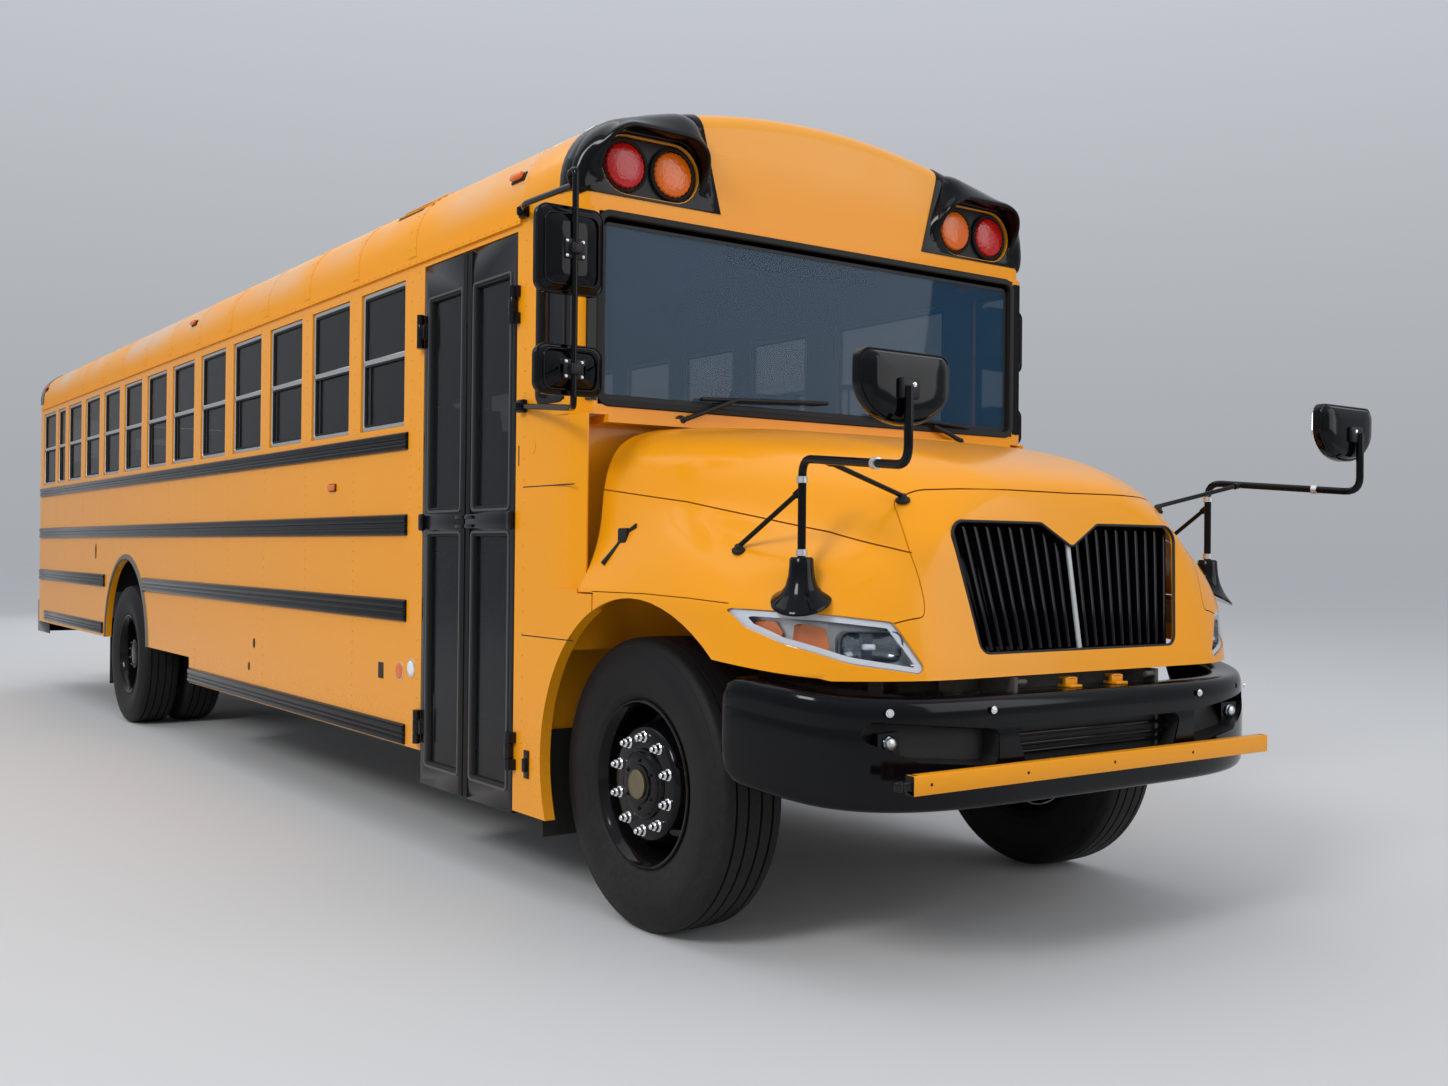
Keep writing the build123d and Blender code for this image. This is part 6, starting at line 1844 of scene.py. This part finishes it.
# wipers: pivot, arm and blade, one row for each
wiperRows = [{"pivot": (-0.752, 1.868), "elbow": (-0.50, 1.962), "blade": ((-0.655, 1.958), (-0.010, 1.985))},
             {"pivot": (0.769, 1.868), "elbow": (0.60, 1.925), "blade": ((0.830, 1.935), (0.240, 1.955))}]


def buildWipers():
    parts = []
    face = bodyFront + 0.002
    for wiper in wiperRows:
        (py, pz), (ey, ez) = wiper["pivot"], wiper["elbow"]
        parts.append(wheelX("wiperPivot", (face - 0.004, py, pz), 1, wiperPivot, "blackPlastic", 20))
        arm = [(face + 0.022, py, pz), (face + 0.030, (py + ey) / 2, (pz + ez) / 2), (face + 0.020, ey, ez)]
        parts.append(tube("wiperArm", arm, 0.0095, "blackPlastic", 0.03, 12))
        (ay, az), (by, bz) = wiper["blade"]
        tilt = (bz - az) / (by - ay)
        spine = []
        for step in range(13):
            share = step / 12
            bulge = 0.010 * (1 - (2 * share - 1) ** 2)
            spine.append((face + 0.006 + bulge, ay + (by - ay) * share, az + tilt * (by - ay) * share))
        parts.append(tube("wiperHolder", spine, 0.0085, "blackPlastic", 0.01, 12))
        edge = slab("wiperEdge", "rubber", (face - 0.008, face + 0.004), (ay, by), (-0.006, 0.004))
        for vert in edge.data.vertices:
            vert.co.z += az + tilt * (vert.co.y - ay)
        parts.append(edge)
    fitted(joined("wipers", parts), "bus", "black_plastic")


buildWipers()
print("wipers made")


# catches, bare ovals, dark strips of painted seam shade, posts and hood straps on the front corner, the same on
# both sides, as leads, distances from the middle and heights
cornerShape = {"catch": (-0.650, 0.520), "oval": (-0.627, 1.762, 0.021, 0.030),
               "seams": [((-0.706, -0.305), (1.602, 1.606)), ((-0.706, -0.305), (1.020, 1.024)),
                         ((-0.748, -0.740), (1.690, 1.770))],
               "posts": [((-0.404, -0.345), (bodyHalf - 0.002, bodyHalf + 0.0014), (1.942, 2.583)),
                         ((-0.310, -0.2988), (1.128, bodyHalf - 0.047), (1.920, 2.624))],
               "strap": [(-0.020, 1.122, 1.448), (-0.079, 1.126, 1.420), (-0.115, 1.146, 1.370),
                         (-0.160, 1.178, 1.310)]}


def buildFrontFittings():
    c = cornerShape
    catches, ovals, seams, straps = [], [], [], []
    lead, z = c["catch"]
    ovalLead, ovalZ, long, tall = c["oval"]
    for side in (-1, 1):
        wall = side * bodyHalf
        catches.append(slab("catchPlate", "blackPaint", between(*near(lead, 0.020)),
                            (wall, wall + side * 0.006),
                            near(z, 0.055), 0.004))
        catches.append(slab("catchHook", "blackPaint", between(*near(lead, 0.012)),
                            (wall, wall + side * 0.020),
                            (z - 0.030, z + 0.025), 0.006))
        oval = [(ahead(ovalLead) + long * cos(turn), ovalZ + tall * sin(turn)) for turn in turns(28)]
        ovals.append(prismY("bareOval", oval, wall, side * (bodyHalf + 0.002), "busYellow"))
        bevelled(ovals[-1], 0.0008, 1)
        # thin dark rubber strips along the seams stand in for the shadow in the panel gaps: painted seam shade
        for leads, heights in c["seams"]:
            seams.append(slab("paintedSeamShade", "rubber", between(*leads),
                              (side * (bodyHalf - 0.002), side * (bodyHalf + 0.0006)), heights))
        for leads, (y0, y1), heights in c["posts"]:
            seams.append(slab("cornerPost", "glossBlack", between(*leads), (side * y0, side * y1), heights))
        strap = [(ahead(at), side * y, height) for at, y, height in c["strap"]]
        straps.append(tube("hoodStrap", strap, 0.010, "rubber", 0.03, 12))
        straps.append(slab("strapBlock", "rubber", between(-0.110, -0.055), near(side * 1.135, 0.014),
                           (1.385, 1.440), 0.007, 3))
    fitted(joined("bodyCatches", catches), "bus", "black_paint")
    fitted(joined("bareOvals", ovals), "bus", "body_paint")
    fitted(joined("seamShadesAndPosts", seams), "bus", "black_plastic")
    fitted(joined("hoodStraps", straps), "hood", "rubber")


buildFrontFittings()
print("front fittings made")

# side windows: one row for each opening, middle lead and width; the left side has the driver's window too
windowShape = {"first": -2.152, "pitch": 0.6955, "count": 11, "width": 0.540, "low": 1.925, "high": 2.600,
               "bar": 2.2625, "frame": 0.024, "inset": 0.008}
windowRows = [(windowShape["first"] - k * windowShape["pitch"],
               windowShape["width"]) for k in range(windowShape["count"])]
windowRows += [(-9.668, 0.325), (-10.219, 0.560)]
driverWindow = (-1.220, 0.840)


def sashPieces(lead, width, side):
    w = windowShape
    x0, x1 = between(*near(lead, width / 2))
    wall = side * (bodyHalf - w["inset"])
    under = w["bar"] - 0.013
    outline = roundedRect(x0 + 0.012, w["low"] + 0.012, x1 - 0.012, w["high"] - 0.012, 0.020, 4)
    frame = frameY("sashFrame", outline, w["frame"], wall - side * 0.026, wall, "aluminium")
    seal = frameY("sashSeal", inset(outline, 0.016), 0.012, wall - side * 0.020, wall - side * 0.003,
                  "rubber")
    bar = slab("sashBar", "aluminium", (x0 + 0.012, x1 - 0.012), (wall, wall - side * 0.014),
               near(w["bar"], 0.013), 0.003, 1)
    lip = slab("sashLip", "rubber", (x0 + 0.030, x1 - 0.030), (wall, wall - side * 0.010),
               (w["bar"] - 0.022, under))
    track = slab("sashTrack", "blackPlastic", (x0 + 0.084, x0 + 0.096),
                 (wall - side * 0.006, wall - side * 0.013),
                 (w["low"] + 0.024, under))
    return [frame, seal, bar, lip, track]


def buildSashes():
    parts = []
    for side in (-1, 1):
        rows = windowRows + ([driverWindow] if side > 0 else [])
        for lead, width in rows:
            parts += sashPieces(lead, width, side)
    fitted(joined("windowSashes", parts), "bus", "aluminium", "window_sashes")


buildSashes()
print("sashes made")

# rub rails, one row each: rear lead, front lead, low edge, high edge
railRows = [(-10.600, -1.830, 1.810, 1.895), (-10.600, -1.830, 1.415, 1.516), (-6.660, -1.830, 1.019, 1.123),
            (-10.600, -7.880, 1.019, 1.123), (-5.400, -1.830, 0.456, 0.552), (-10.350, -7.930, 0.640, 0.735)]
railShape = {"proud": 0.017, "leftFront": -0.750,
             "profile": [(0.0, 0.0), (0.03, 0.55), (0.08, 0.90), (0.13, 1.0), (0.27, 1.0), (0.31, 0.88),
                         (0.33, 0.55),
                         (0.37, 0.55), (0.39, 0.86), (0.42, 0.94), (0.50, 0.94), (0.53, 0.86), (0.55, 0.55),
                         (0.59, 0.55), (0.62, 0.86), (0.68, 1.0), (0.86, 1.0), (0.93, 0.86), (0.98, 0.50),
                         (1.0, 0.0)]}
archLip = {"wide": 0.040, "proud": 0.012, "height": 0.592, "radius": 0.660, "foot": 0.620}


def railPiece(row, side):
    rear, front, low, high = row
    if side > 0 and front == -1.830:
        front = railShape["leftFront"]
    rings = []
    for lead, out, drawn in ((rear, 0.25, 0.10), (rear + 0.004, 0.85, 0.02), (rear + 0.016, 1.0, 0.0),
                             (front - 0.016, 1.0, 0.0), (front - 0.004, 0.85, 0.02), (front, 0.25, 0.10)):
        ring = []
        for share, depth in railShape["profile"]:
            z = low + (high - low) * (0.5 + (share - 0.5) * (1 - drawn))
            ring.append((ahead(lead), side * (bodyHalf - 0.0005 + railShape["proud"] * depth * out), z))
        rings.append(ring)
    rail = loftRings("rubRail", rings, "glossBlack")
    smooth(rail, 28)
    return rail


def archLipPiece(side):
    a = archLip
    start = atan2(a["foot"] - a["height"], a["radius"] + a["wide"] / 2)
    section = [(0.0, 0.0), (0.0, 0.6), (0.10, 0.95), (0.25, 1.0), (0.45, 0.80), (0.70, 0.72), (0.90, 0.55),
               (1.0, 0.0)]
    rings = []
    for step in range(57):
        turn = start + (pi - 2 * start) * step / 56
        rings.append([(rearAxle + (a["radius"] + a["wide"] * share) * cos(turn),
                       side * (bodyHalf - 0.001 + (a["proud"] + 0.001) * out),
                       a["height"] + (a["radius"] + a["wide"] * share) * sin(turn)) for share,
                      out in section])
    lip = loftRings("archLip", rings, "archRubber")
    smooth(lip, 40)
    return lip


rails = [railPiece(row, side) for side in (-1, 1) for row in railRows]
fitted(joined("rubRails", rails), "bus", "black_paint", "rub_rails")
fitted(joined("archLips", [archLipPiece(-1), archLipPiece(1)]), "bus", "rubber")
print("rub rails made")

# roof bows between the windows, and rivets along every seam of the body
bowLeads = [windowShape["first"] + windowShape["pitch"] / 2 - k * windowShape["pitch"] for k in range(12)]
bow = {"half": 0.042, "lift": 0.0028, "hatches": [(-3.858, -3.180), (-8.708, -8.030)]}


def bowPieces():
    parts = []
    for lead in bowLeads:
        rings = []
        for shift, lift in ((-bow["half"], -0.002), (-bow["half"] + 0.0015, bow["lift"]),
                            (bow["half"] - 0.0015, bow["lift"]), (bow["half"], -0.002)):
            rings.append(roofRing(ahead(lead + shift), -lift, low=2.690))
        strip = loftRings("roofBow", rings, "roofYellow", closed=False)
        outward(strip)
        top = max(strip.data.polygons, key=lambda p: p.center.z)
        if top.normal.z < 0:
            strip.data.flip_normals()
        smooth(strip, 40)
        parts.append(strip)
    return parts


def makeRivetTree():
    # one low round head at every given point
    add, _, given, out = pieceGroup("rivetRow", ("Radius", "Rise"))
    ball = add("GeometryNodeMeshIcoSphere", {"Radius": 1, "Subdivisions": 2})
    size = add("ShaderNodeCombineXYZ", {0: given["Radius"], 1: given["Radius"], 2: given["Rise"]})
    squash = add("GeometryNodeTransform", {"Geometry": ball.outputs[0], "Scale": size.outputs[0]})
    softened = add("GeometryNodeSetShadeSmooth", {"Geometry": squash.outputs[0]})
    setFacing(add, given, out, softened.outputs[0])
    return out.id_data


rivetTree = makeRivetTree()


def rivets(name, places, finish, radius=0.0058, rise=0.0030):
    return grown(name, rivetTree, {"Radius": radius, "Rise": rise, "Finish": materials[finish]},
                 [p for p, n in places], {"facing": [n for p, n in places]})


def column(x, low, high, gap, side, out=0.0):
    count = max(1, round((high - low) / gap))
    return [((x, side * (bodyHalf + out), low + (high - low) * k / count),
             (0, side, 0)) for k in range(count + 1)]


def row(x0, x1, z, gap, side, out=0.0):
    count = max(1, round((x1 - x0) / gap))
    return [((x0 + (x1 - x0) * k / count, side * (bodyHalf + out), z),
             (0, side, 0)) for k in range(count + 1)]


def roofPath(gap, lift):
    # evenly spaced spots over the roof from eave to eave with their directions
    outline = [spot[1:] for spot in roofRing(0, -lift, low=2.69)]
    spots = []
    travelled, nextAt = 0.0, 0.04
    for a, b in zip(outline, outline[1:]):
        a, b = Vector(a), Vector(b)
        run = (b - a).length
        while nextAt <= travelled + run:
            spot = a.lerp(b, (nextAt - travelled) / run)
            normal = Vector((-(b - a).y, (b - a).x)).normalized()
            if normal.y < 0 and spot.y > 2.8 or normal.x * spot.x < 0:
                normal = -normal
            spots.append((spot, normal))
            nextAt += gap
        travelled += run
    return spots


def bodyRivets():
    places = []
    posts = bowLeads + [-9.470, -9.870, -10.545]
    for side in (-1, 1):
        places += row(ahead(-10.55), ahead(-0.76), 2.661, 0.070, side, 0.0122)
        places += row(ahead(-10.55), ahead(-1.72 if side < 0 else -0.70), 2.612, 0.14, side)
        for lead in posts:
            x = ahead(lead)
            places += column(x, 1.950, 2.580, 0.09, side)
            places += column(x, 1.540, 1.785, 0.049, side)
            if side > 0 or lead < -1.9:
                places += column(x, 1.145, 1.390, 0.049, side)
        for lead in bowLeads[1::2]:
            if not -7.95 < lead < -6.45:
                places += column(ahead(lead), 0.640 if lead < -5.4 else 0.575, 0.995, 0.055, side)
        for lead in (-0.700, -1.705) if side < 0 else (-0.700,):
            places += column(ahead(lead), 0.60, 2.580, 0.085, side)
    for lead in bowLeads:
        inHatch = any(a < lead < b for a, b in bow["hatches"])
        for spot, normal in roofPath(0.085, bow["lift"]):
            if inHatch and abs(spot.x) < 0.34:
                continue
            for shift in (-0.030, 0.030):
                places.append(((ahead(lead + shift), spot.x, spot.y), (0, normal.x, normal.y)))
    for spot, normal in roofPath(0.085, 0.0):
        places.append(((ahead(-0.745), spot.x, spot.y), (0, normal.x, normal.y)))
    return rivets("bodyRivets", places, "busYellow")


fitted(joined("roofBows", bowPieces()), "bus", "body_paint")
riveted = bodyRivets()
fitted(riveted, "bus", "body_paint")
print("bows and rivets made", len(riveted.data.polygons))


# fittings on the roof curve and the side walls
def onEave(side, turn):
    # spot on the eave curve at an angle up from level, with that angle
    eaveY, eaveZ = roofCentres()[1:]
    angle = radians(turn)
    eave = roofShape["eave"]
    return Vector((0, side * (eaveY + eave * cos(angle)), eaveZ + eave * sin(angle))), angle


def standEave(piece, lead, side, turn):
    # moves a piece, drawn about the origin with +Y outward, onto the eave curve
    place, angle = onEave(side, turn)
    spin = Matrix.Rotation(angle, 4, "X")
    if side < 0:
        spin = Matrix.Rotation(pi, 4, "Z") @ spin
    return stood(piece, (ahead(lead), place.y, place.z), spin)


def markerLamp(lead, side, turn, finish):
    foot = slab("markerFoot", "blackPlastic", (-0.055, 0.055), (-0.004, 0.006), (-0.020, 0.020), 0.003, 1)
    lens = slab("markerLens", finish, (-0.047, 0.047), (0.004, 0.026), (-0.015, 0.015), 0.010, 3)
    return [standEave(piece, lead, side, turn) for piece in (foot, lens)]


roofMarkers = [(-0.800, "lensAmber"), (-5.430, "lensAmber"), (-10.480, "lensRed")]


# side vent in the roof curve: slots and lids in rows up the curve, angles from level
roofVent = {"lead": -1.955, "rows": 5, "lowest": 44, "apart": 8, "second": 0.205}


def buildRoofFittings():
    v = roofVent
    dark, amber = [], []
    for side in (-1, 1):
        for lead, finish in roofMarkers:
            foot, lens = markerLamp(lead, side, 22, finish)
            dark.append(foot)
            amber.append(lens)
    vents = []
    for k in range(v["rows"]):
        for shift in (0, v["second"]):
            slot = slab("ventSlot", "blackPlastic", (-0.200 + shift, -0.005 + shift), (-0.004, 0.0012),
                        (-0.008, 0.008))
            lid = slab("ventHood", "busYellow", (-0.203 + shift, -0.002 + shift), (-0.004, 0.008),
                       (0.006, 0.011), 0.002, 1)
            vents += [standEave(piece, v["lead"], -1, v["lowest"] + v["apart"] * k) for piece in (slot, lid)]
    fitted(joined("roofMarkerFeet", dark), "bus", "black_plastic")
    fitted(joined("roofMarkers", amber), "bus", "lamp_lens")
    fitted(joined("roofVent", vents), "bus", "body_paint")


buildRoofFittings()


def wallDisc(name, lead, z, radius, side, out, finish, tall=1.0):
    rings = []
    for share, rise in ((1.0, -0.001), (1.0, 0.55), (0.90, 0.85), (0.60, 0.97), (0.20, 1.0)):
        rings.append([(ahead(lead) + radius * share * cos(turn), side * (bodyHalf + out * rise),
                       z + radius * tall * share * sin(turn)) for turn in turns(28)])
    return loftRings(name, rings, finish, soft=40)


# small fittings on the side walls, as leads and heights
wallShape = {"marker": ((-2.835, -2.735), (1.645, 1.685)), "glow": ((-2.828, -2.742), (1.649, 1.681)),
             "square": ((-2.154, -2.094), (0.740, 0.816)), "amber": (-1.900, 0.790), "clear": (-1.770, 0.813),
             # ovals as lead, height, radius and how much taller than wide
             "ovals": [(-4.040, 0.793, 0.017, 1.7), (-4.130, 0.652, 0.014, 1.8), (-8.215, 1.308, 0.016, 4.0)]}


def buildSideFittings():
    w = wallShape
    lens, dark, silver = [], [], []
    for side in (-1, 1):
        leads, heights = w["marker"]
        dark.append(slab("markerBase", "blackPlastic", between(*leads),
                         (side * bodyHalf, side * (bodyHalf + 0.005)),
                         heights, 0.004, 1))
        leads, heights = w["glow"]
        lens.append(slab("markerGlow", "lensAmber", between(*leads),
                         (side * bodyHalf, side * (bodyHalf + 0.017)),
                         heights, 0.007, 3))
        lens += [wallDisc("sideAmber", *w["amber"], 0.037, side, 0.008, "lensAmber"),
                 wallDisc("sideClear", *w["clear"], 0.034, side, 0.010, "lensWhite")]
        silver += [wallDisc("sideRing", *w["clear"], 0.043, side, 0.006, "chrome"),
                   wallDisc("sideAmberRing", *w["amber"], 0.042, side, 0.004, "chrome")]
        for lead, z, radius, tall in w["ovals"]:
            dark.append(wallDisc("sideOval", lead, z, radius, side, 0.004, "blackPlastic", tall))
        leads, heights = w["square"]
        dark.append(slab("sideSquare", "blackPlastic", between(*leads),
                         (side * (bodyHalf - 0.01), side * (bodyHalf + 0.003)), heights, 0.002, 1))
    fitted(joined("sideLenses", lens), "bus", "lamp_lens")
    fitted(joined("sideFittings", dark), "bus", "black_plastic")
    fitted(joined("sideRings", silver), "bus", "aluminium")


buildSideFittings()
print("roof and side fittings made")

# entrance door: leaves with eased edges, pane frames lightened by painted sheen, a ribbed seal in the middle
# and belt hinges
doorShape = {"mid": -1.217, "gap": 0.014, "frame": 0.052, "low": (0.398, 1.425), "high": (1.525, 2.468),
             "edges": {"front": -0.775, "rear": -1.659}, "ribs": 3, "ribPitch": 0.012,
             "ribHeights": (0.312, 2.614),
             "tabs": (1.448, 1.486), "tabTall": 0.014, "lugHeights": (1.437, 1.513)}


def buildDoorLeaf(name):
    d = doorShape
    way = 1 if name == "front" else -1
    meet = d["mid"] + way * d["gap"] / 2
    edge = d["edges"][name]
    rear, front = sorted((meet, edge))
    wall = -bodyHalf
    parts = [dressed("doorLeaf" + name.title(), "door_leaf_" + name, "blackPaint", 0.0022)]
    for low, high in (d["low"], d["high"]):
        outline = roundedRect(ahead(rear + d["frame"]) - 0.004, low - 0.004,
                              ahead(front - d["frame"]) + 0.004,
                              high + 0.004, 0.018, 4)
        # pane frames in the grey that carries painted sheen
        parts.append(frameY("paneFrame", outline, 0.014, wall + 0.012, wall - 0.0045, "frameGreyAndSheen"))
        parts.append(frameY("paneSeal", inset(outline, 0.012), 0.012, wall + 0.020, wall + 0.002, "rubber"))
    for k in range(d["ribs"]):
        x = ahead(meet + way * (0.006 + d["ribPitch"] * k))
        parts.append(slab("doorRib", "rubber", near(x, 0.004), (wall - 0.0055, wall + 0.002), d["ribHeights"],
                          0.0025))
    for z in d["tabs"]:
        parts.append(slab("beltTab", "blackPaint", between(meet + way * 0.002, meet + way * 0.075),
                          (wall - 0.014, wall - 0.006), (z, z + d["tabTall"]), 0.003))
    parts.append(slab("beltLug", "blackPaint", (ahead(edge) - way * 0.034, ahead(edge) + way * 0.004),
                      (wall - 0.024, wall - 0.004), d["lugHeights"], 0.008, 3))
    fitted(joined("doorLeaf" + name.title(), parts), "door_leaf_" + name, "black_paint", "door_leaf_" + name)


buildDoorLeaf("front")
buildDoorLeaf("rear")
print("entrance door made")


def paintWhere(mesh, finish, test):
    # gives the faces that pass a test a second finish
    mesh.materials.append(materials[finish])
    for face in mesh.polygons:
        if test(face):
            face.material_index = 1


# inside: pale lining on the inner faces of the shell
def facesIn(face):
    centre, normal = face.center, face.normal
    inside = abs(centre.y) < bodyHalf - 0.030 and bodyRear + 0.030 < centre.x
    towardMiddle = normal.y * centre.y < -0.001 or normal.z < -0.2
    return inside and towardMiddle and centre.x < bodyFront - 0.040


for name in ("side_wall_right_front", "side_wall_right_rear", "side_wall_left_front", "side_wall_left_rear",
             "roof", "front_wall"):
    paintWhere(nodes[name].data, "liningGrey", facesIn)
paintWhere(nodes["rear_wall"].data, "liningGrey",
           lambda face: face.normal.x > 0.5 and face.center.x > bodyRear + 0.030)
paintWhere(nodes["cowl"].data, "liningGrey",
           lambda face: face.normal.x < -0.5 and face.center.z > 0.9 and abs(face.center.y) < bodyHalf - 0.05)

# seats: one cushion and one back are simulated, then set out in rows
seatShape = {"rows": 11, "pitch": 0.695, "first": -2.350, "deep": 0.390, "sides": (0.230, 1.149),
             "sit": (1.350, 1.480), "back": (1.350, 2.150), "voxel": 0.024, "swell": 0.012, "steps": 20,
             "floor": 1.021, "driver": (-1.250, 0.620), "driverSit": (1.400, 1.520),
             "driverBack": (1.400, 2.200)}


def padBlock(name, outline, y0, y1, shrink=0.008):
    # soft block drawn from a side outline (x, z), a little small because it swells
    ring = inset(eased(outline, 0.028, 3), shrink)
    block = prismY(name, ring, y0 + shrink, y1 - shrink, "vinyl")
    remesh = block.modifiers.new("even", "REMESH")
    remesh.mode = "VOXEL"
    remesh.voxel_size = seatShape["voxel"]
    remesh.use_smooth_shade = True
    settle(block)
    return block


def swollen(block):
    # air pressure rounds the block, held within a few millimetres of where it started
    scene = bpy.context.scene
    start = [vert.co.copy() for vert in block.data.vertices]
    cloth = block.modifiers.new("cloth", "CLOTH")
    cloth.settings.use_pressure = True
    cloth.settings.uniform_pressure_force = 4
    cloth.settings.quality = 5
    cloth.settings.effector_weights.gravity = 0
    cloth.point_cache.frame_start = 1
    cloth.point_cache.frame_end = seatShape["steps"]
    for step in range(1, seatShape["steps"] + 1):
        scene.frame_set(step)
    settle(block)
    scene.frame_set(1)
    for vert, before in zip(block.data.vertices, start):
        moved = vert.co - before
        if moved.length > seatShape["swell"]:
            vert.co = before + moved.normalized() * seatShape["swell"]
    smooth(block, 60)
    return block


def copies(block, shifts, mirrorY=False):
    # the same mesh set out again at each shift along the bus, on one side or on both
    out = []
    for shift in shifts:
        for side in ((1, -1) if mirrorY else (1,)):
            mesh = block.data.copy()
            mesh.transform(Matrix.Translation((shift, 0, 0)))
            if side < 0:
                mesh.transform(Matrix.Diagonal((1, -1, 1, 1)))
                mesh.flip_normals()
            out.append(linked(block.name, mesh))
    bpy.data.objects.remove(block)
    return out


def pad(name, low, high, footRear, footFront, topFront, topRear, y0, y1):
    # swollen pad from its heights and the x of its four corners seen from the side
    corners = [(footRear, low), (footFront, low), (topFront, high), (topRear, high)]
    return swollen(padBlock(name, corners, y0, y1))


def buildSeats():
    t = seatShape
    y0, y1 = t["sides"]
    x1 = ahead(t["first"])
    x0 = x1 - t["deep"]
    shifts = [-k * t["pitch"] for k in range(t["rows"])]
    sit = pad("seatCushion", *t["sit"], x0, x1, x1, x0, y0, y1)
    back = pad("seatBack", *t["back"], x0 - 0.060, x0 + 0.060, x0 - 0.080, x0 - 0.150, y0, y1)
    cushions = copies(sit, shifts, True)
    backs = copies(back, shifts, True)
    x, y = ahead(t["driver"][0]), t["driver"][1]
    cushions.append(pad("driverCushion", *t["driverSit"], x - 0.230, x + 0.240, x + 0.240, x - 0.230,
                        *near(y, 0.240)))
    backs.append(pad("driverBack", *t["driverBack"], x - 0.260, x - 0.150, x - 0.260, x - 0.340,
                     *near(y, 0.230)))
    padded = [joined("seatCushions", cushions), joined("seatBacks", backs)]
    floor, inner, under = t["floor"], y0 + 0.06, t["sit"][0] - 0.005
    legs = [(x1 - 0.06, inner, floor), (x1 - 0.06, inner, under), (x0 + 0.04, inner, under),
            (x0 + 0.04, inner, floor)]
    frame = [tube("seatLeg", legs, 0.013, "castIron", 0.04, 8),
             slab("seatPlate", "blackPlastic", (x0 + 0.010, x1 - 0.010), (y0 + 0.010, y1 - 0.010),
                  (1.338, 1.350))]
    frames = copies(joined("seatFrame", frame), shifts, True)
    frames.append(slab("driverPost", "blackPlastic", near(x, 0.130), near(y, 0.130),
                       (floor - 0.0005, t["driverSit"][0]), 0.020))
    framePiece = joined("seatFrames", frames)
    for piece in padded:
        fitted(piece, "bus", "vinyl_seat")
    fitted(framePiece, "bus", "cast_metal", "seats")


buildSeats()
print("seats made")

# dashboard, steering wheel and an inside mirror
wheelShade = dressed("steeringWheelRim", "steering_wheel", "blackPlastic", 0.0, 62)
fitted(wheelShade, "steering_wheel", "black_plastic", "steering_wheel")
dash = dressed("dashboardShell", "dashboard", "blackPlastic", 0.012)
fitted(dash, "bus", "black_plastic", "dashboard")
insideMirror = [slab("insideMirror", "blackPlastic", between(-0.480, -0.465), (-0.420, 0.420), (2.545, 2.625),
                     0.005),
                slab("insideMirrorFace", "chrome", between(-0.4815, -0.480), (-0.405, 0.405), (2.556, 2.614))]
insideMirror += [slab("insideMirrorArm", "blackPlastic", between(-0.475, -0.465), near(y, 0.012),
                      (2.615, 2.660))
                 for y in (-0.3, 0.3)]
fitted(joined("insideMirror", insideMirror), "bus", "black_plastic")
print("cab inside made")


# rear end: window gaskets, the door with eased edges, bumper and roof lids
rearShape = {"sill": 1.990, "top": 2.600, "inner": 0.620, "outer": 1.090, "door": 0.370,
             "doorPanes": [(1.930, 2.450), (1.140, 1.730)]}


def frameRear(outline, thick, out):
    # ring that follows an outline on the rear wall
    return frameRing("rearGasket", outline, thick, 0.010, -out * 0.7, -out,
                     lambda y, z, shift: (bodyRear + shift, y, z), "rubber")


def buildRear():
    r = rearShape
    gaskets = []
    for side in (-1, 1):
        y0, y1 = sorted((side * r["inner"], side * r["outer"]))
        gaskets.append(frameRear(roundedRect(y0, r["sill"], y1, r["top"], 0.04), 0.026, 0.007))
    fitted(joined("rearGaskets", gaskets), "bus", "rubber")
    door = dressed("rearDoorLeaf", "rear_door", "busYellow", 0.004)
    paintWhere(door.data, "blackPaint", lambda face: face.center.x < bodyRear - 0.004)
    parts = [door]
    for low, high in r["doorPanes"]:
        parts.append(frameRear(roundedRect(-r["door"], low, r["door"], high, 0.04), 0.026, 0.006))
    fitted(joined("rearDoorLeaf", parts), "rear_door", "body_paint", "rear_door")
    fitted(dressed("rearBumper", "rear_bumper", "blackPaint", 0.008), "bus", "black_paint", "rear_bumper")
    for node in ("roof_hatch_front", "roof_hatch_rear"):
        fitted(dressed(node.replace("_", "") + "Lid", node, "hatchWhite", 0.010), node, "body_paint", node)


buildRear()


def buildArms():
    low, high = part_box("crossing_arm")
    arm = dressed("crossingBar", "crossing_arm", "armYellow", 0.0035)
    paintWhere(arm.data, "blackPaint", lambda face: face.center.y < low.y + 0.070)
    parts = [arm]
    for y in (low.y + 0.075, high.y - 0.012):
        parts.append(slab("armCap", "blackPlastic", (low.x, high.x - 0.002), near(y, 0.010), (low.z, high.z),
                          0.004))
    spots = [((high.x, low.y + 0.13 + 0.42 * k, (low.z + high.z) / 2), (1, 0, 0)) for k in range(4)]
    parts.append(rivets("armRivets", spots, "blackPaint", 0.0055, 0.0022))
    fitted(joined("crossingBar", parts), "crossing_arm", "body_paint", "crossing_arm")
    fitted(dressed("stopBlade", "stop_arm", "signRed", 0.002), "stop_arm", "sign_red", "stop_arm")


buildArms()
print("rear end and arms made")
